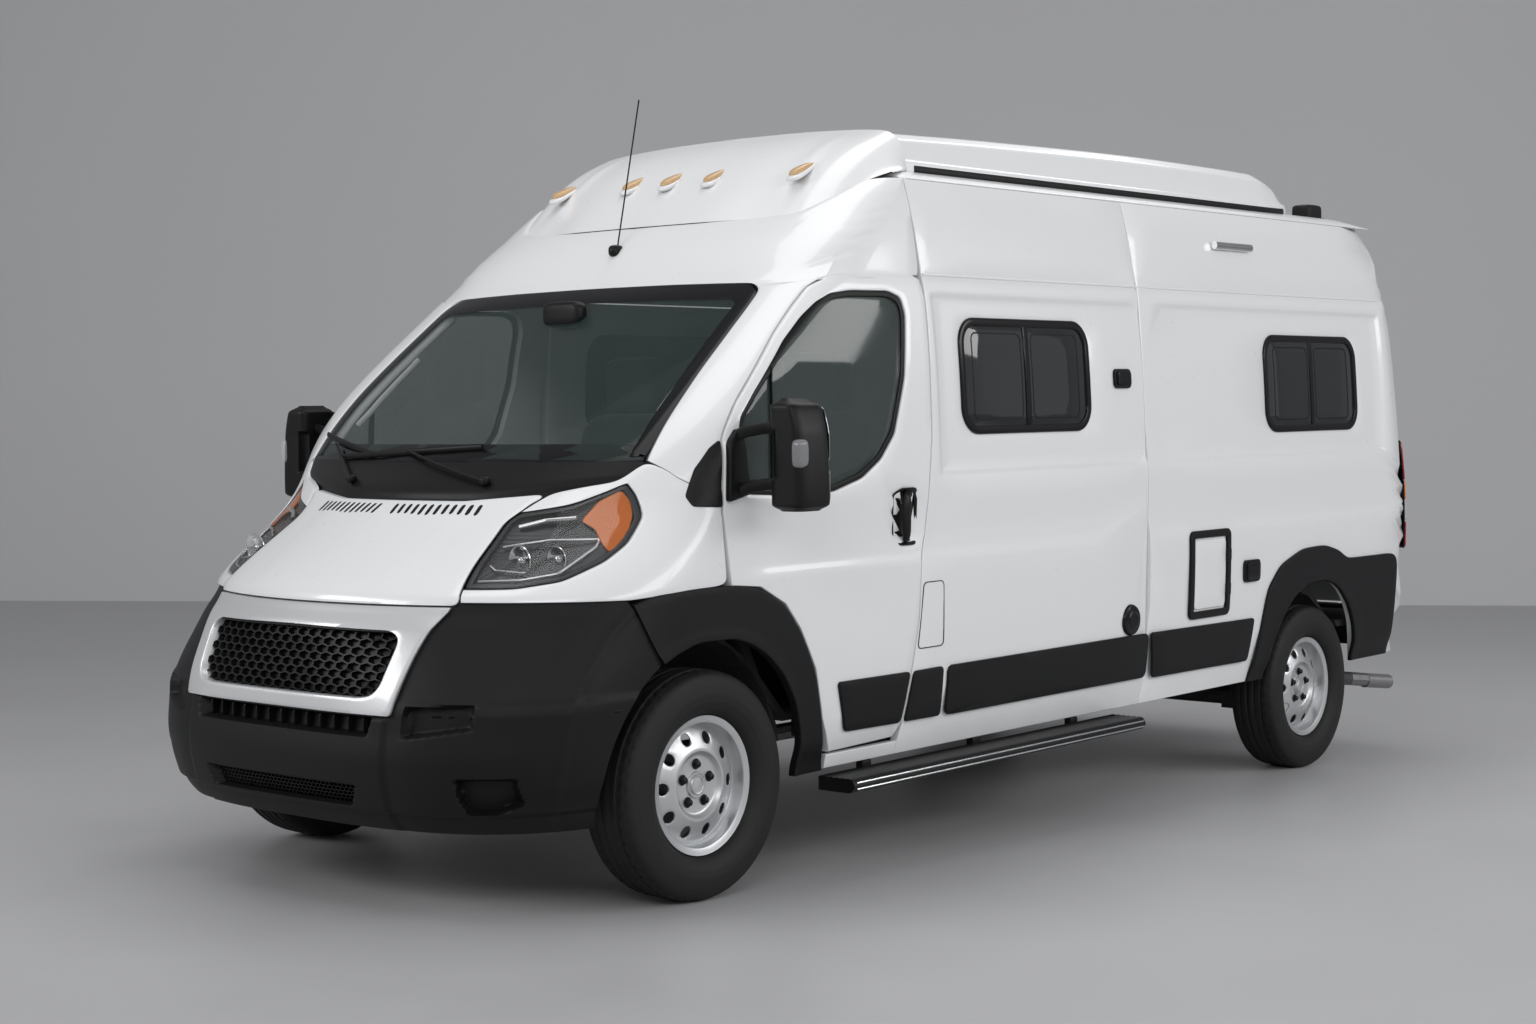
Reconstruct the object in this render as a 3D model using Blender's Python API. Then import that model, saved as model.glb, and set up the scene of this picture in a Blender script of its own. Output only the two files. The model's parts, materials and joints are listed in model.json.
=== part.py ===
"""Pop-top camper van, modelled as an assembly of separate body, chassis and cabin pieces.

Frame: metres, +X forward, +Y to the vehicle's left, +Z up, origin on the ground under the middle of
the overall length. The body sits slightly nose-down on its wheels, so body pieces are drawn in a level
body frame whose x runs from the front axle, and hang from one empty turned by the rake. Wheels, axles
and knuckles are drawn level, in the frame itself.
"""
import math

import bmesh
import bpy
import numpy as np
from mathutils import Matrix, Vector

# Driving sizes of the chassis
WHEELBASE = 4.035
FRONT_AXLE_X = 2.0787
RAKE = math.radians(1.4655)
AXLE_HEIGHT = 0.365
BODY_AXLE_Z = 0.365
FRONT_TRACK_Y = 0.905
REAR_TRACK_Y = 0.895
TYRE_WIDTH = 0.225
RIM_RADIUS = 0.2032
RIM_FLANGE_RADIUS = 0.2207
BEAD_Y = 0.0735
WHEEL_STEPS = 24
KINGPIN_INSET = 0.145
KINGPIN_Y = FRONT_TRACK_Y - KINGPIN_INSET
HUB_FACE_Y = 0.030

# Clearances
TOUCH = 0.0003
SHUT_GAP = 0.0055
PANEL = 0.045
DOOR_THICKNESS = 0.060
GLASS = 0.006

# Body levels and stations, x from the front axle
SILL_BOTTOM_Z = 0.335
FLOOR_Z = 0.500
FLOOR_THICKNESS = 0.030
BELT_Z = 1.295
RECESS_TOP_Z = 1.948
GUTTER_Z = 2.008
CANT_Z = 2.280
HEADER_Z = 2.205
PILLAR_X = -1.205
MID_SEAM_X = -2.637
RECESS_FRONT_X = -1.235
RECESS_REAR_X = -4.775
RECESS_DEPTH = 0.010
REAR_CORNER_RADIUS = 0.13
REAR_DOOR_EDGE_Y = 0.800
REAR_DOOR_BOTTOM_Z = 0.560
REAR_DOOR_TOP_Z = 2.170

# Side section of the body: height and half width, from the sill up to the roof's edge
WALL_TOP_Z = 2.350
SIDE_SECTION = [(0.25, 0.93), (0.30, 0.955), (0.36, 0.965), (0.44, 0.990), (0.63, 1.012), (0.80, 1.022),
                (0.965, 1.025), (1.08, 1.023), (1.29, 1.018), (1.50, 1.012), (1.69, 1.003), (1.95, 0.975),
                (2.01, 0.962), (2.06, 0.953), (2.27, 0.912), (2.35, 0.888)]
ROOF_SECTION = [(0.888, 2.350), (0.850, 2.368), (0.800, 2.385), (0.700, 2.405), (0.400, 2.440),
                (0.0, 2.450)]
# Centre line of the front: height and nose x
NOSE_LINE = [(0.25, 0.80), (0.27, 0.82), (0.335, 0.875), (0.42, 0.896), (0.50, 0.905), (0.60, 0.89),
             (0.70, 0.875), (0.80, 0.85), (0.884, 0.825), (0.955, 0.776), (0.985, 0.765), (1.01, 0.74),
             (1.242, 0.42), (1.292, 0.36), (1.97, -0.53), (2.0, -0.57), (2.122, -0.668), (2.205, -0.765),
             (2.30, -0.90), (2.35, -0.985)]
# Where the plan curve of the front meets the straight side, and how square that curve is
SHOULDER_LINE = [(0.955, 0.10), (1.02, 0.08), (1.292, -0.10), (1.374, -0.107), (1.966, -0.763),
                 (2.0, -0.80), (2.205, -1.05), (2.30, -1.15), (2.35, -1.20)]
SQUARENESS = [(0.65, 3.0), (0.955, 2.0), (1.29, 1.75), (1.374, 1.75), (1.966, 3.0), (2.205, 2.4)]
REAR_LINE = [(0.30, -5.03), (0.40, -5.045), (1.07, -5.045), (1.35, -5.02), (1.64, -4.98), (2.02, -4.95),
             (2.36, -4.88)]

# Colours: name, linear colour, roughness, metallic
FINISHES = {
    "white_paint": ((0.80, 0.81, 0.82), 0.25, 0.0),
    "silver_paint": ((0.62, 0.63, 0.65), 0.35, 0.4),
    "dark_plastic": ((0.035, 0.037, 0.040), 0.6, 0.0),
    "black_plastic": ((0.012, 0.012, 0.013), 0.45, 0.0),
    "glass": ((0.30, 0.36, 0.35), 0.05, 0.0),
    "tinted_glass": ((0.015, 0.016, 0.017), 0.05, 0.0),
    "lamp": ((0.70, 0.70, 0.72), 0.1, 0.0),
    "red_lamp": ((0.55, 0.03, 0.03), 0.1, 0.0),
    "tyre_rubber": ((0.02, 0.02, 0.02), 0.8, 0.0),
    "wheel_silver": ((0.60, 0.61, 0.63), 0.4, 0.7),
    "chassis_steel": ((0.05, 0.05, 0.055), 0.6, 0.5),
    "cast_metal": ((0.25, 0.25, 0.26), 0.6, 0.6),
    "seat_cloth": ((0.04, 0.04, 0.045), 0.9, 0.0),
    "dash_plastic": ((0.06, 0.065, 0.07), 0.7, 0.0),
}


def table(rows, value):
    """Straight-line reading of a short list of (input, output) pairs."""
    keys, results = zip(*rows)
    return float(np.interp(value, keys, results))


def half_width(z):
    return table(SIDE_SECTION, z)


def roof_height(y):
    return table(sorted(ROOF_SECTION), abs(y))


def nose(z):
    return table(NOSE_LINE, z)


def shoulder(z):
    return table(SHOULDER_LINE, z)


def rear(z):
    return table(REAR_LINE, z)


def front_point(turn, z, depth=0.0, end_x=None):
    """Point of the body skin at height z; turn runs 0 at the centre line to 1 at the side, to 2 at end_x."""
    width = half_width(z) - depth
    start = shoulder(z)
    reach = nose(z) - depth - start
    power = 2.0 / table(SQUARENESS, z)
    side = 1.0 if turn >= 0 else -1.0
    amount = abs(turn)
    if amount <= 1.0:
        angle = amount * math.pi / 2
        x = start + reach * max(math.cos(angle), 0.0) ** power
        y = width * math.sin(angle) ** power
    else:
        x = start + (amount - 1.0) * (end_x - start)
        y = width
    return (x, side * y, z)


class Solid:
    """One closed mesh: points and faces."""

    def __init__(self, points, faces):
        self.points = [tuple(float(c) for c in p) for p in points]
        self.faces = [tuple(face) for face in faces]

    def mirrored(self):
        """The same solid on the other side of the centre plane."""
        return Solid([(x, -y, z) for x, y, z in self.points], [face[::-1] for face in self.faces])

    def moved(self, offset):
        ox, oy, oz = offset
        return Solid([(x + ox, y + oy, z + oz) for x, y, z in self.points], self.faces)

    def side(self, sign):
        return self if sign > 0 else self.mirrored()


def grid_shell(outer, inner):
    """Closed shell between two grids of points of one shape, joined round their four edges."""
    rows, columns = len(outer), len(outer[0])
    points = [p for row in outer for p in row] + [p for row in inner for p in row]
    shift = rows * columns
    faces = []
    for r in range(rows - 1):
        for c in range(columns - 1):
            a, b = r * columns + c, r * columns + c + 1
            d, e = a + columns, b + columns
            faces.append((a, b, e, d))
            faces.append((a + shift, d + shift, e + shift, b + shift))
    edge = [(0, c) for c in range(columns)] + [(r, columns - 1) for r in range(1, rows)]
    edge += [(rows - 1, c) for c in range(columns - 2, -1, -1)] + [(r, 0) for r in range(rows - 2, 0, -1)]
    loop = [r * columns + c for r, c in edge]
    for i, a in enumerate(loop):
        b = loop[(i + 1) % len(loop)]
        faces.append((a, a + shift, b + shift, b))
    return Solid(points, faces)


def prism(outline, axis, low, high):
    """Outline extruded along an axis: (x, z) for Y, (y, z) for X and (x, y) for Z."""
    def point(a, b, t):
        return {"X": (t, a, b), "Y": (a, t, b), "Z": (a, b, t)}[axis]
    count = len(outline)
    points = [point(a, b, low) for a, b in outline] + [point(a, b, high) for a, b in outline]
    faces = [tuple(range(count)), tuple(range(2 * count - 1, count - 1, -1))]
    faces += [(i, i + count, (i + 1) % count + count, (i + 1) % count) for i in range(count)]
    return Solid(points, faces)


def box(x0, x1, y0, y1, z0, z1):
    return prism([(x0, y0), (x1, y0), (x1, y1), (x0, y1)], "Z", z0, z1)


def loft(rings):
    """Closed rings of equal count, bridged in order, with flat caps."""
    count = len(rings[0])
    points = [p for ring in rings for p in ring]
    faces = [tuple(range(count)), tuple(range(len(points) - 1, len(points) - count - 1, -1))]
    for k in range(len(rings) - 1):
        base = k * count
        for i in range(count):
            j = (i + 1) % count
            faces.append((base + i, base + i + count, base + j + count, base + j))
    return Solid(points, faces)


def turned(profile, centre, axis, steps):
    """Closed profile of (radius, along) turned round an axis through a centre."""
    count = len(profile)
    points = []
    for s in range(steps):
        angle = 2 * math.pi * s / steps
        for radius, along in profile:
            u, v = radius * math.cos(angle), radius * math.sin(angle)
            local = {"X": (along, u, v), "Y": (u, along, v), "Z": (u, v, along)}[axis]
            points.append(tuple(local[i] + centre[i] for i in range(3)))
    faces = []
    for s in range(steps):
        base, after = s * count, ((s + 1) % steps) * count
        for i in range(count):
            j = (i + 1) % count
            faces.append((base + i, base + j, after + j, after + i))
    return Solid(points, faces)


def rod(start, end, radius, sides=10):
    """Round bar between two points."""
    return tube([start, end], radius, sides)


def tube(path, radius, sides=10):
    """Round bar along a path of points, with mitred bends and flat ends."""
    spots = [Vector(p) for p in path]
    rings = []
    up = Vector((0, 0, 1))
    if abs((spots[-1] - spots[0]).normalized().z) > 0.9:
        up = Vector((1, 0, 0))
    for k, spot in enumerate(spots):
        before = (spot - spots[k - 1]).normalized() if k > 0 else None
        after = (spots[k + 1] - spot).normalized() if k < len(spots) - 1 else None
        along = ((before or after) + (after or before)).normalized()
        across = along.cross(up).normalized()
        lift = across.cross(along).normalized()
        stretch = 1.0 / max(0.5, along.dot(before or after))
        ring = []
        for i in range(sides):
            angle = 2 * math.pi * i / sides
            ring.append(tuple(spot + radius * (across * math.cos(angle) * stretch
                                               + lift * math.sin(angle))))
        rings.append(ring)
    return loft(rings)


def rounded(points, radius, steps=4):
    """Outline with each corner rounded by an arc; radius may be one value or one for each corner."""
    count = len(points)
    radii = radius if isinstance(radius, (list, tuple)) else [radius] * count
    result = []
    for i, (px, py) in enumerate(points):
        here = Vector((px, py))
        back = Vector(points[i - 1]) - here
        ahead = Vector(points[(i + 1) % count]) - here
        half = back.angle(ahead) / 2
        reach = min(radii[i] / math.tan(half), back.length * 0.49, ahead.length * 0.49)
        if radii[i] <= 0 or reach < 1e-5:
            result.append((px, py))
            continue
        bend = reach * math.tan(half)
        centre = here + (back.normalized() + ahead.normalized()).normalized() * (bend / math.sin(half))
        first = here + back.normalized() * reach - centre
        last = here + ahead.normalized() * reach - centre
        sweep = first.angle_signed(last)
        for k in range(steps + 1):
            a = -sweep * k / steps
            c, s = math.cos(a), math.sin(a)
            spot = centre + Vector((first.x * c - first.y * s, first.x * s + first.y * c))
            result.append((spot.x, spot.y))
    return result


def circle(cx, cy, radius, steps, start=0.0, end=360.0):
    """Points round a circle, or along an arc of it when start and end are given in degrees."""
    full = abs(end - start) >= 360.0
    count = steps if full else steps + 1
    angles = [math.radians(start + (end - start) * k / steps) for k in range(count)]
    return [(cx + radius * math.cos(a), cy + radius * math.sin(a)) for a in angles]


def finish(name):
    """Principled material of a named finish, made once."""
    material = bpy.data.materials.get(name)
    if material is None:
        colour, roughness, metallic = FINISHES[name]
        material = bpy.data.materials.new(name)
        material.use_nodes = True
        shader = material.node_tree.nodes["Principled BSDF"]
        shader.inputs["Base Color"].default_value = (*colour, 1.0)
        shader.inputs["Roughness"].default_value = roughness
        shader.inputs["Metallic"].default_value = metallic
    return material


def bend_of(face):
    """How far a four-cornered face's last corner lies off the plane of the others."""
    a, b, c, d = (v.co for v in face.verts)
    normal = (b - a).cross(c - a)
    return abs((d - a).dot(normal.normalized())) if normal.length > 0 else 0.0


def mesh_object(name, solid, parent, origin):
    """Object with its mesh closed, faces outward, placed with its origin at a point of its parent."""
    mesh = bpy.data.meshes.new(name)
    mesh.from_pydata([tuple(np.subtract(p, origin)) for p in solid.points], [], solid.faces)
    work = bmesh.new()
    work.from_mesh(mesh)
    bmesh.ops.remove_doubles(work, verts=work.verts, dist=1e-6)
    bmesh.ops.recalc_face_normals(work, faces=work.faces)
    bent = [f for f in work.faces if len(f.verts) == 4 and bend_of(f) > 1e-6]
    bmesh.ops.triangulate(work, faces=bent)
    work.to_mesh(mesh)
    work.free()
    piece = bpy.data.objects.new(name, mesh)
    bpy.context.scene.collection.objects.link(piece)
    piece.parent = parent
    return piece


def empty(name, parent, location):
    pivot = bpy.data.objects.new(name, None)
    bpy.context.scene.collection.objects.link(pivot)
    pivot.parent = parent
    pivot.location = location
    return pivot


def apply_tool(target, operation, tool, index, parent, origin):
    """Boolean of a target with a solid, or with a (solid, bound) pair whose solid is first bounded."""
    solid, bound = tool if isinstance(tool, tuple) else (tool, None)
    helper = mesh_object(f"{target.name}_{operation.lower()}_{index}", solid, parent, origin)
    helper.hide_render = True
    helper.display_type = "WIRE"
    if bound is not None:
        apply_tool(helper, "INTERSECT", bound, index, parent, origin)
    modifier = target.modifiers.new(f"{operation.title()} {index}", "BOOLEAN")
    modifier.operation = operation
    modifier.object = helper


def piece(name, solid, material, pivot=None, add=(), cut=(), keep=(), smooth=None):
    """Named piece; solids in add are united with it, those in keep bound it, those in cut leave it."""
    parent, origin = (pivot or (BODY, (0.0, 0.0, 0.0)))
    made = mesh_object(name, solid, parent, origin)
    made.data.materials.append(finish(material))
    steps = [("UNION", s) for s in add] + [("INTERSECT", s) for s in keep]
    steps += [("DIFFERENCE", s) for s in cut]
    for index, (operation, tool) in enumerate(steps):
        apply_tool(made, operation, tool, index, parent, origin)
    if smooth is not None:
        made.data.shade_smooth()
        made.data.set_sharp_from_angle(angle=math.radians(smooth))
    return made


for old in list(bpy.data.objects):
    bpy.data.objects.remove(old, do_unlink=True)

BODY = empty("body_frame", None, (FRONT_AXLE_X, 0.0, AXLE_HEIGHT - BODY_AXLE_Z))
BODY.rotation_euler = (0.0, RAKE, 0.0)
GROUND = empty("ground_frame", None, (0.0, 0.0, 0.0))
LEVEL = (GROUND, (0.0, 0.0, 0.0))


def hinge(name, location):
    """Pivot empty of a body piece, on its joint's axis."""
    return (empty(f"{name}_axis", BODY, location), location)


def level_pivot(name, location):
    """Pivot empty of a chassis piece, in the level frame."""
    return (empty(f"{name}_axis", GROUND, location), location)


# Outlines that neighbours share, in side view (x, z)
DOOR_OUTLINE = [(-0.107, 0.985), (-0.085, 1.230), (-0.101, 1.447), (-0.125, 1.487), (-0.187, 1.566),
                (-0.277, 1.653), (-0.418, 1.784), (-0.521, 1.869), (-0.622, 1.948), (-0.708, 1.988),
                (-0.864, 2.002),
                (-1.150, 2.006), (-1.190, 1.990), (-1.204, 1.927), (-1.192, 1.431), (-1.144, 1.102),
                (-1.112, 1.013), (-1.097, 0.814), (-1.065, 0.638), (-1.027, 0.450), (-0.990, 0.400),
                (-0.640, 0.387), (-0.579, 0.508), (-0.530, 0.681), (-0.447, 0.821), (-0.371, 0.908),
                (-0.247, 0.972)]
DOOR_WINDOW = [(-0.165, 1.445), (-0.180, 1.520), (-0.253, 1.599), (-0.428, 1.766), (-0.531, 1.847),
               (-0.609, 1.897), (-0.678, 1.926), (-0.79, 1.940), (-1.0, 1.944), (-1.069, 1.923),
               (-1.086, 1.865), (-1.055, 1.646), (-0.984, 1.451), (-0.903, 1.366), (-0.795, 1.305), (-0.635, 1.265),
               (-0.400, 1.262), (-0.185, 1.275)]
FLARE_FRONT_OUTER = [(0.292, 0.966), (0.218, 0.981), (0.083, 0.989), (-0.127, 0.990), (-0.247, 0.972),
                     (-0.371, 0.908), (-0.447, 0.821), (-0.53, 0.681), (-0.579, 0.508), (-0.622, 0.331)]
# Wheel openings (x, z, radius) follow the tyre, which reaches from the axle to the ground
FRONT_ARCH = (-0.03, 0.38, 0.5 * AXLE_HEIGHT + 0.2675)
REAR_ARCH = (-4.06, 0.32, AXLE_HEIGHT + 0.060)
FRONT_HOUSE = (0.0, 0.36, 0.5 * AXLE_HEIGHT + 0.2875)
REAR_HOUSE = (-4.043, 0.262, AXLE_HEIGHT + 0.055)
REAR_FLARE_OUTER = [(-3.515, 0.32), (-3.56, 0.55), (-3.61, 0.735), (-3.719, 0.831), (-3.918, 0.891),
                    (-4.124, 0.896), (-4.252, 0.867), (-4.35, 0.822)]


def arch_arc(arch, grow, start, end, steps=14):
    """Arc round a wheel arch, opened by grow."""
    x, z, radius = arch
    return circle(x, z, radius + grow, steps, start, end)


def bumper_seam():
    """Joint of the bumper and the front flare in side view, from the wing down to the arch."""
    x, z, radius = FRONT_ARCH
    return [(0.292, 0.943), circle(x, z, radius + 0.010, 1, 59, 60)[0]]


def front_shell(levels, turns, thickness, end_x=None, lift=0.0):
    """Shell of the front's skin between heights, symmetric about the centre plane."""
    columns = [-t for t in reversed(turns) if t > 0] + list(turns)
    outer = [[front_point(t, z, lift, end_x) for t in columns] for z in levels]
    inner = [[front_point(t, z, lift + thickness, end_x) for t in columns] for z in levels]
    return grid_shell(outer, inner)


def side_skin(x, z, depth=0.0):
    """Half width of the side wall, with its pressed recess and the two long creases."""
    width = half_width(z)
    inside_x = min(max((RECESS_FRONT_X - x) / 0.02, 0.0), 1.0) * min(max((x - RECESS_REAR_X) / 0.02, 0.0), 1.0)
    inside_z = min(max((z - BELT_Z) / 0.02, 0.0), 1.0) * min(max((RECESS_TOP_Z - z) / 0.02, 0.0), 1.0)
    return width - RECESS_DEPTH * inside_x * inside_z - depth


WALL_LEVELS = [SILL_BOTTOM_Z, 0.44, 0.63, 0.80, 0.965, 1.08, BELT_Z, BELT_Z + 0.02, 1.50, 1.69,
               RECESS_TOP_Z - 0.02, RECESS_TOP_Z, GUTTER_Z, 2.06, CANT_Z, 2.35]
DOOR_LEVELS = [0.36, 0.44, 0.63, 0.80, 0.965, 1.08, 1.29, 1.40, 1.50, 1.60, 1.69, 1.80, 1.95, 2.01]


def skin_y(x, z, depth=0.0):
    """Half width of the cab's skin at a station: straight behind the shoulder, curving in ahead of it."""
    start = shoulder(z)
    if x <= start:
        return half_width(z) - depth
    power = table(SQUARENESS, z)
    share = min((x - start) / (nose(z) - start), 0.98)
    return (half_width(z) - depth) * (1.0 - share ** power) ** (1.0 / power)


def wall_column(x, levels, depth):
    return [(x, side_skin(x, z, depth), z) for z in levels]


def rear_corner_column(step, levels, depth):
    """Column of points round the rear corner; step 0 at the side to 1 at the rear face."""
    column = []
    for z in levels:
        width = half_width(z)
        face = rear(z)
        bend = min(REAR_CORNER_RADIUS, width - REAR_DOOR_EDGE_Y - 0.012)
        radius = bend - depth
        centre_x = face + bend
        centre_y = width - bend
        angle = step * math.pi / 2
        column.append((centre_x - radius * math.sin(angle), centre_y + radius * math.cos(angle), z))
    return column


def wall_solid():
    """Side wall from the sill under the door, round the rear corner to the rear doorway."""
    stations = [-0.630, RECESS_FRONT_X, RECESS_FRONT_X - 0.02, -3.0, RECESS_REAR_X + 0.02,
                RECESS_REAR_X, -4.85]
    outer = [wall_column(x, WALL_LEVELS, 0.0) for x in stations]
    inner = [wall_column(x, WALL_LEVELS, PANEL) for x in stations]
    for step in (0.25, 0.5, 0.75, 1.0):
        outer.append(rear_corner_column(step, WALL_LEVELS, 0.0))
        inner.append(rear_corner_column(step, WALL_LEVELS, PANEL))
    edge_out = [(rear(z), REAR_DOOR_EDGE_Y + SHUT_GAP, z) for z in WALL_LEVELS]
    edge_in = [(rear(z) + PANEL, REAR_DOOR_EDGE_Y + SHUT_GAP, z) for z in WALL_LEVELS]
    outer.append(edge_out)
    inner.append(edge_in)
    return grid_shell(outer, inner)


def window_outline(front_x, rear_x, low_z, high_z, grow=0.0, radius=0.10):
    corners = [(front_x + grow, low_z - grow), (front_x + grow, high_z + grow),
               (rear_x - grow, high_z + grow), (rear_x - grow, low_z - grow)]
    return rounded(corners, radius)


CAMPER_WINDOWS = {
    "camper_window_front_left": (1, -1.390, -2.240, 1.441, 1.862),
    "camper_window_rear_left": (1, -3.630, -4.500, 1.408, 1.833),
    "camper_window_door_right": (-1, -1.450, -2.300, 1.441, 1.862),
    "camper_window_rear_right": (-1, -3.630, -4.500, 1.408, 1.833),
}
WINDOW_FRAME = 0.032
WINDOW_PROUD = 0.008


def side_cut(outline, sign, low=0.5, high=1.3):
    return prism(outline, "Y", low, high).side(sign)


def offset(outline, amount):
    """Outline moved outward along its corners' bisectors, or inward when the amount is negative."""
    count = len(outline)
    area = sum(outline[i][0] * outline[(i + 1) % count][1] - outline[(i + 1) % count][0] * outline[i][1]
               for i in range(count))
    turn = 1.0 if area > 0 else -1.0
    result = []
    for i in range(count):
        a, b, c = Vector(outline[i - 1]), Vector(outline[i]), Vector(outline[(i + 1) % count])
        first = (b - a).normalized()
        second = (c - b).normalized()
        n1 = Vector((first.y, -first.x)) * turn
        n2 = Vector((second.y, -second.x)) * turn
        mean = (n1 + n2).normalized()
        result.append(tuple(b + mean * (amount / max(0.4, mean.dot(n1)))))
    return result


DOOR_REAR_EDGE = [(-1.204, 1.927), (-1.192, 1.431), (-1.144, 1.102), (-1.112, 1.013), (-1.097, 0.814),
                  (-1.065, 0.638), (-1.027, 0.450), (-0.990, 0.400), (-0.640, 0.387)]
AHEAD_OF_WALL = [(PILLAR_X - SHUT_GAP, 2.5)] + [(x - SHUT_GAP, z - SHUT_GAP) for x, z in DOOR_REAR_EDGE]
AHEAD_OF_WALL += [(-0.500, 0.382), (-0.500, 2.5)]


REAR_HINGE_LEVELS = (0.680, 1.460)
REAR_HINGE_Y = REAR_DOOR_EDGE_Y
REAR_HINGE_X = rear(1.07) - 0.020


def hinge_leaf(z, half):
    """Barrel and arm of a rear door hinge: the wall's leaf below the level (half -1), the door's above."""
    low, high = (z - 0.030, z - TOUCH / 2) if half < 0 else (z + TOUCH / 2, z + 0.030)
    barrel = rod((REAR_HINGE_X, REAR_HINGE_Y, low), (REAR_HINGE_X, REAR_HINGE_Y, high), 0.009, 12)
    side = 1 if half < 0 else -1
    arm = box(REAR_HINGE_X - 0.006, rear(z) + 0.012, *sorted((REAR_HINGE_Y, REAR_HINGE_Y + side * 0.032)),
              low + 0.001, high - 0.001)
    return [barrel, arm]


def build_side_walls():
    """Side walls with their windows and wheel arches; the right one is open for the sliding door."""
    arch = prism(circle(REAR_ARCH[0], REAR_ARCH[1], REAR_ARCH[2] + 0.02, 24), "Y", 0.6, 1.2)
    for sign, name in ((1, "side_wall_left"), (-1, "side_wall_right")):
        cuts = [arch.side(sign), side_cut(AHEAD_OF_WALL, sign)]
        for side, front_x, rear_x, low_z, high_z in CAMPER_WINDOWS.values():
            if side == sign and not (sign < 0 and front_x > -2.5):
                cuts.append(side_cut(window_outline(front_x, rear_x, low_z, high_z, -0.004), sign))
        if sign < 0:
            cuts.append(side_cut(offset(SLIDING_OUTLINE, SHUT_GAP), sign))
        made = piece(name, wall_solid().side(sign), "white_paint", cut=cuts)
        heights = (1.45, 1.69, 1.90)
        step = DOOR_THICKNESS + TOUCH
        flange = grid_shell(*[[[(x, side_skin(x, z, deep), z) for z in heights] for x in (-1.175, -1.230)]
                              for deep in (step, step + 0.008)])
        web = grid_shell(*[[[(x, side_skin(x, z, deep), z) for z in heights] for x in (-1.214, -1.230)]
                           for deep in (PANEL - 0.015, step + 0.008)])
        extras = [flange, web] + [lug for z in REAR_HINGE_LEVELS for lug in hinge_leaf(z, -1)]
        for index, extra in enumerate(extras):
            apply_tool(made, "UNION", extra.side(sign), 20 + index, BODY, (0.0, 0.0, 0.0))


SLIDING_OUTLINE = rounded([(-1.250, 0.385), (-1.250, 1.985), (-2.600, 1.985), (-2.600, 0.385)], 0.05, 3)


def build_sliding_door():
    levels = [0.36, 0.44, 0.63, 0.80, 0.965, 1.08, BELT_Z, BELT_Z + 0.02, 1.50, 1.69, RECESS_TOP_Z - 0.02,
              RECESS_TOP_Z, 2.05]
    stations = [-1.230, -1.2550, -1.95, -2.66]
    solid = grid_shell([wall_column(x, levels, 0.0) for x in stations],
                       [wall_column(x, levels, PANEL) for x in stations]).side(-1)
    _, front_x, rear_x, low_z, high_z = CAMPER_WINDOWS["camper_window_door_right"]
    window = side_cut(window_outline(front_x, rear_x, low_z, high_z, -0.004), -1)
    piece("sliding_door_right", solid, "white_paint", keep=[side_cut(SLIDING_OUTLINE, -1)], cut=[window])


def build_camper_windows():
    """Framed windows set in the walls: a flange on the skin and a pane block in the cut-out."""
    for name, (sign, front_x, rear_x, low_z, high_z) in CAMPER_WINDOWS.items():
        flange = side_cut(window_outline(front_x, rear_x, low_z, high_z), sign)
        block = side_cut(window_outline(front_x, rear_x, low_z, high_z, -0.006), sign)
        levels = [low_z - 0.01, 1.50, 1.69, high_z + 0.01]
        stations = (front_x + 0.01, rear_x - 0.01)

        def layer(deep, proud):
            return grid_shell([[(x, side_skin(-2.0, z, -proud), z) for z in levels] for x in stations],
                              [[(x, side_skin(-2.0, z, deep), z) for z in levels] for x in stations])
        plug = layer(0.030, 0.004).side(sign)
        made = piece(name, layer(-TOUCH, WINDOW_PROUD).side(sign), "tinted_glass", keep=[flange])
        apply_tool(made, "UNION", (plug, block), 1, BODY, (0.0, 0.0, 0.0))


def build_roof():
    """Steel roof with its long opening, and the header over the rear doors."""
    stations = [PILLAR_X - SHUT_GAP, -1.30, -1.6, -3.0, -4.70, -4.80, rear(2.35) + 0.002]
    fall = [0.5, 0.0, 0.0, 0.0, 0.0, 0.25, 0.85]
    half = [y for y, _ in ROOF_SECTION]
    ys = [-y for y in half] + half[-2::-1]
    edge = WALL_TOP_Z + TOUCH
    outer = [[(x, y, roof_height(y) + TOUCH + 0.004 - f * (roof_height(y) - edge)) for y in ys]
             for x, f in zip(stations, fall)]
    inner = [[(px, py * 0.985, max(pz - 0.034, edge)) for px, py, pz in row] for row in outer]
    hole = prism(rounded([(-1.62, -0.60), (-1.62, 0.60), (-3.95, 0.60), (-3.95, -0.60)], 0.08, 4),
                 "Z", 2.2, 2.6)
    piece("roof_shell", grid_shell(outer, inner), "white_paint", cut=[hole])
    header_levels = [REAR_DOOR_TOP_Z + SHUT_GAP, 2.26, WALL_TOP_Z]
    ys = (-REAR_DOOR_EDGE_Y, 0.0, REAR_DOOR_EDGE_Y)
    outer = [[(rear(z), y, z) for y in ys] for z in header_levels]
    inner = [[(rear(z) + PANEL, y, z) for y in ys] for z in header_levels]
    piece("rear_header", grid_shell(outer, inner), "white_paint")


CAP_EDGE = [(0.0, -0.765, 2.206), (0.30, -0.775, 2.206), (0.50, -0.822, 2.208), (0.65, -0.862, 2.216),
            (0.700, -0.885, 2.226), (0.762, -0.975, 2.278), (0.815, -1.105, 2.342), (0.862, -1.178, 2.372)]
CAP_REAR_X = -1.345
CAP_REAR = [(0.0, 2.575), (0.30, 2.571), (0.50, 2.563), (0.62, 2.555), (0.70, 2.545), (0.752, 2.520),
            (0.786, 2.460), (0.802, 2.402)]


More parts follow.
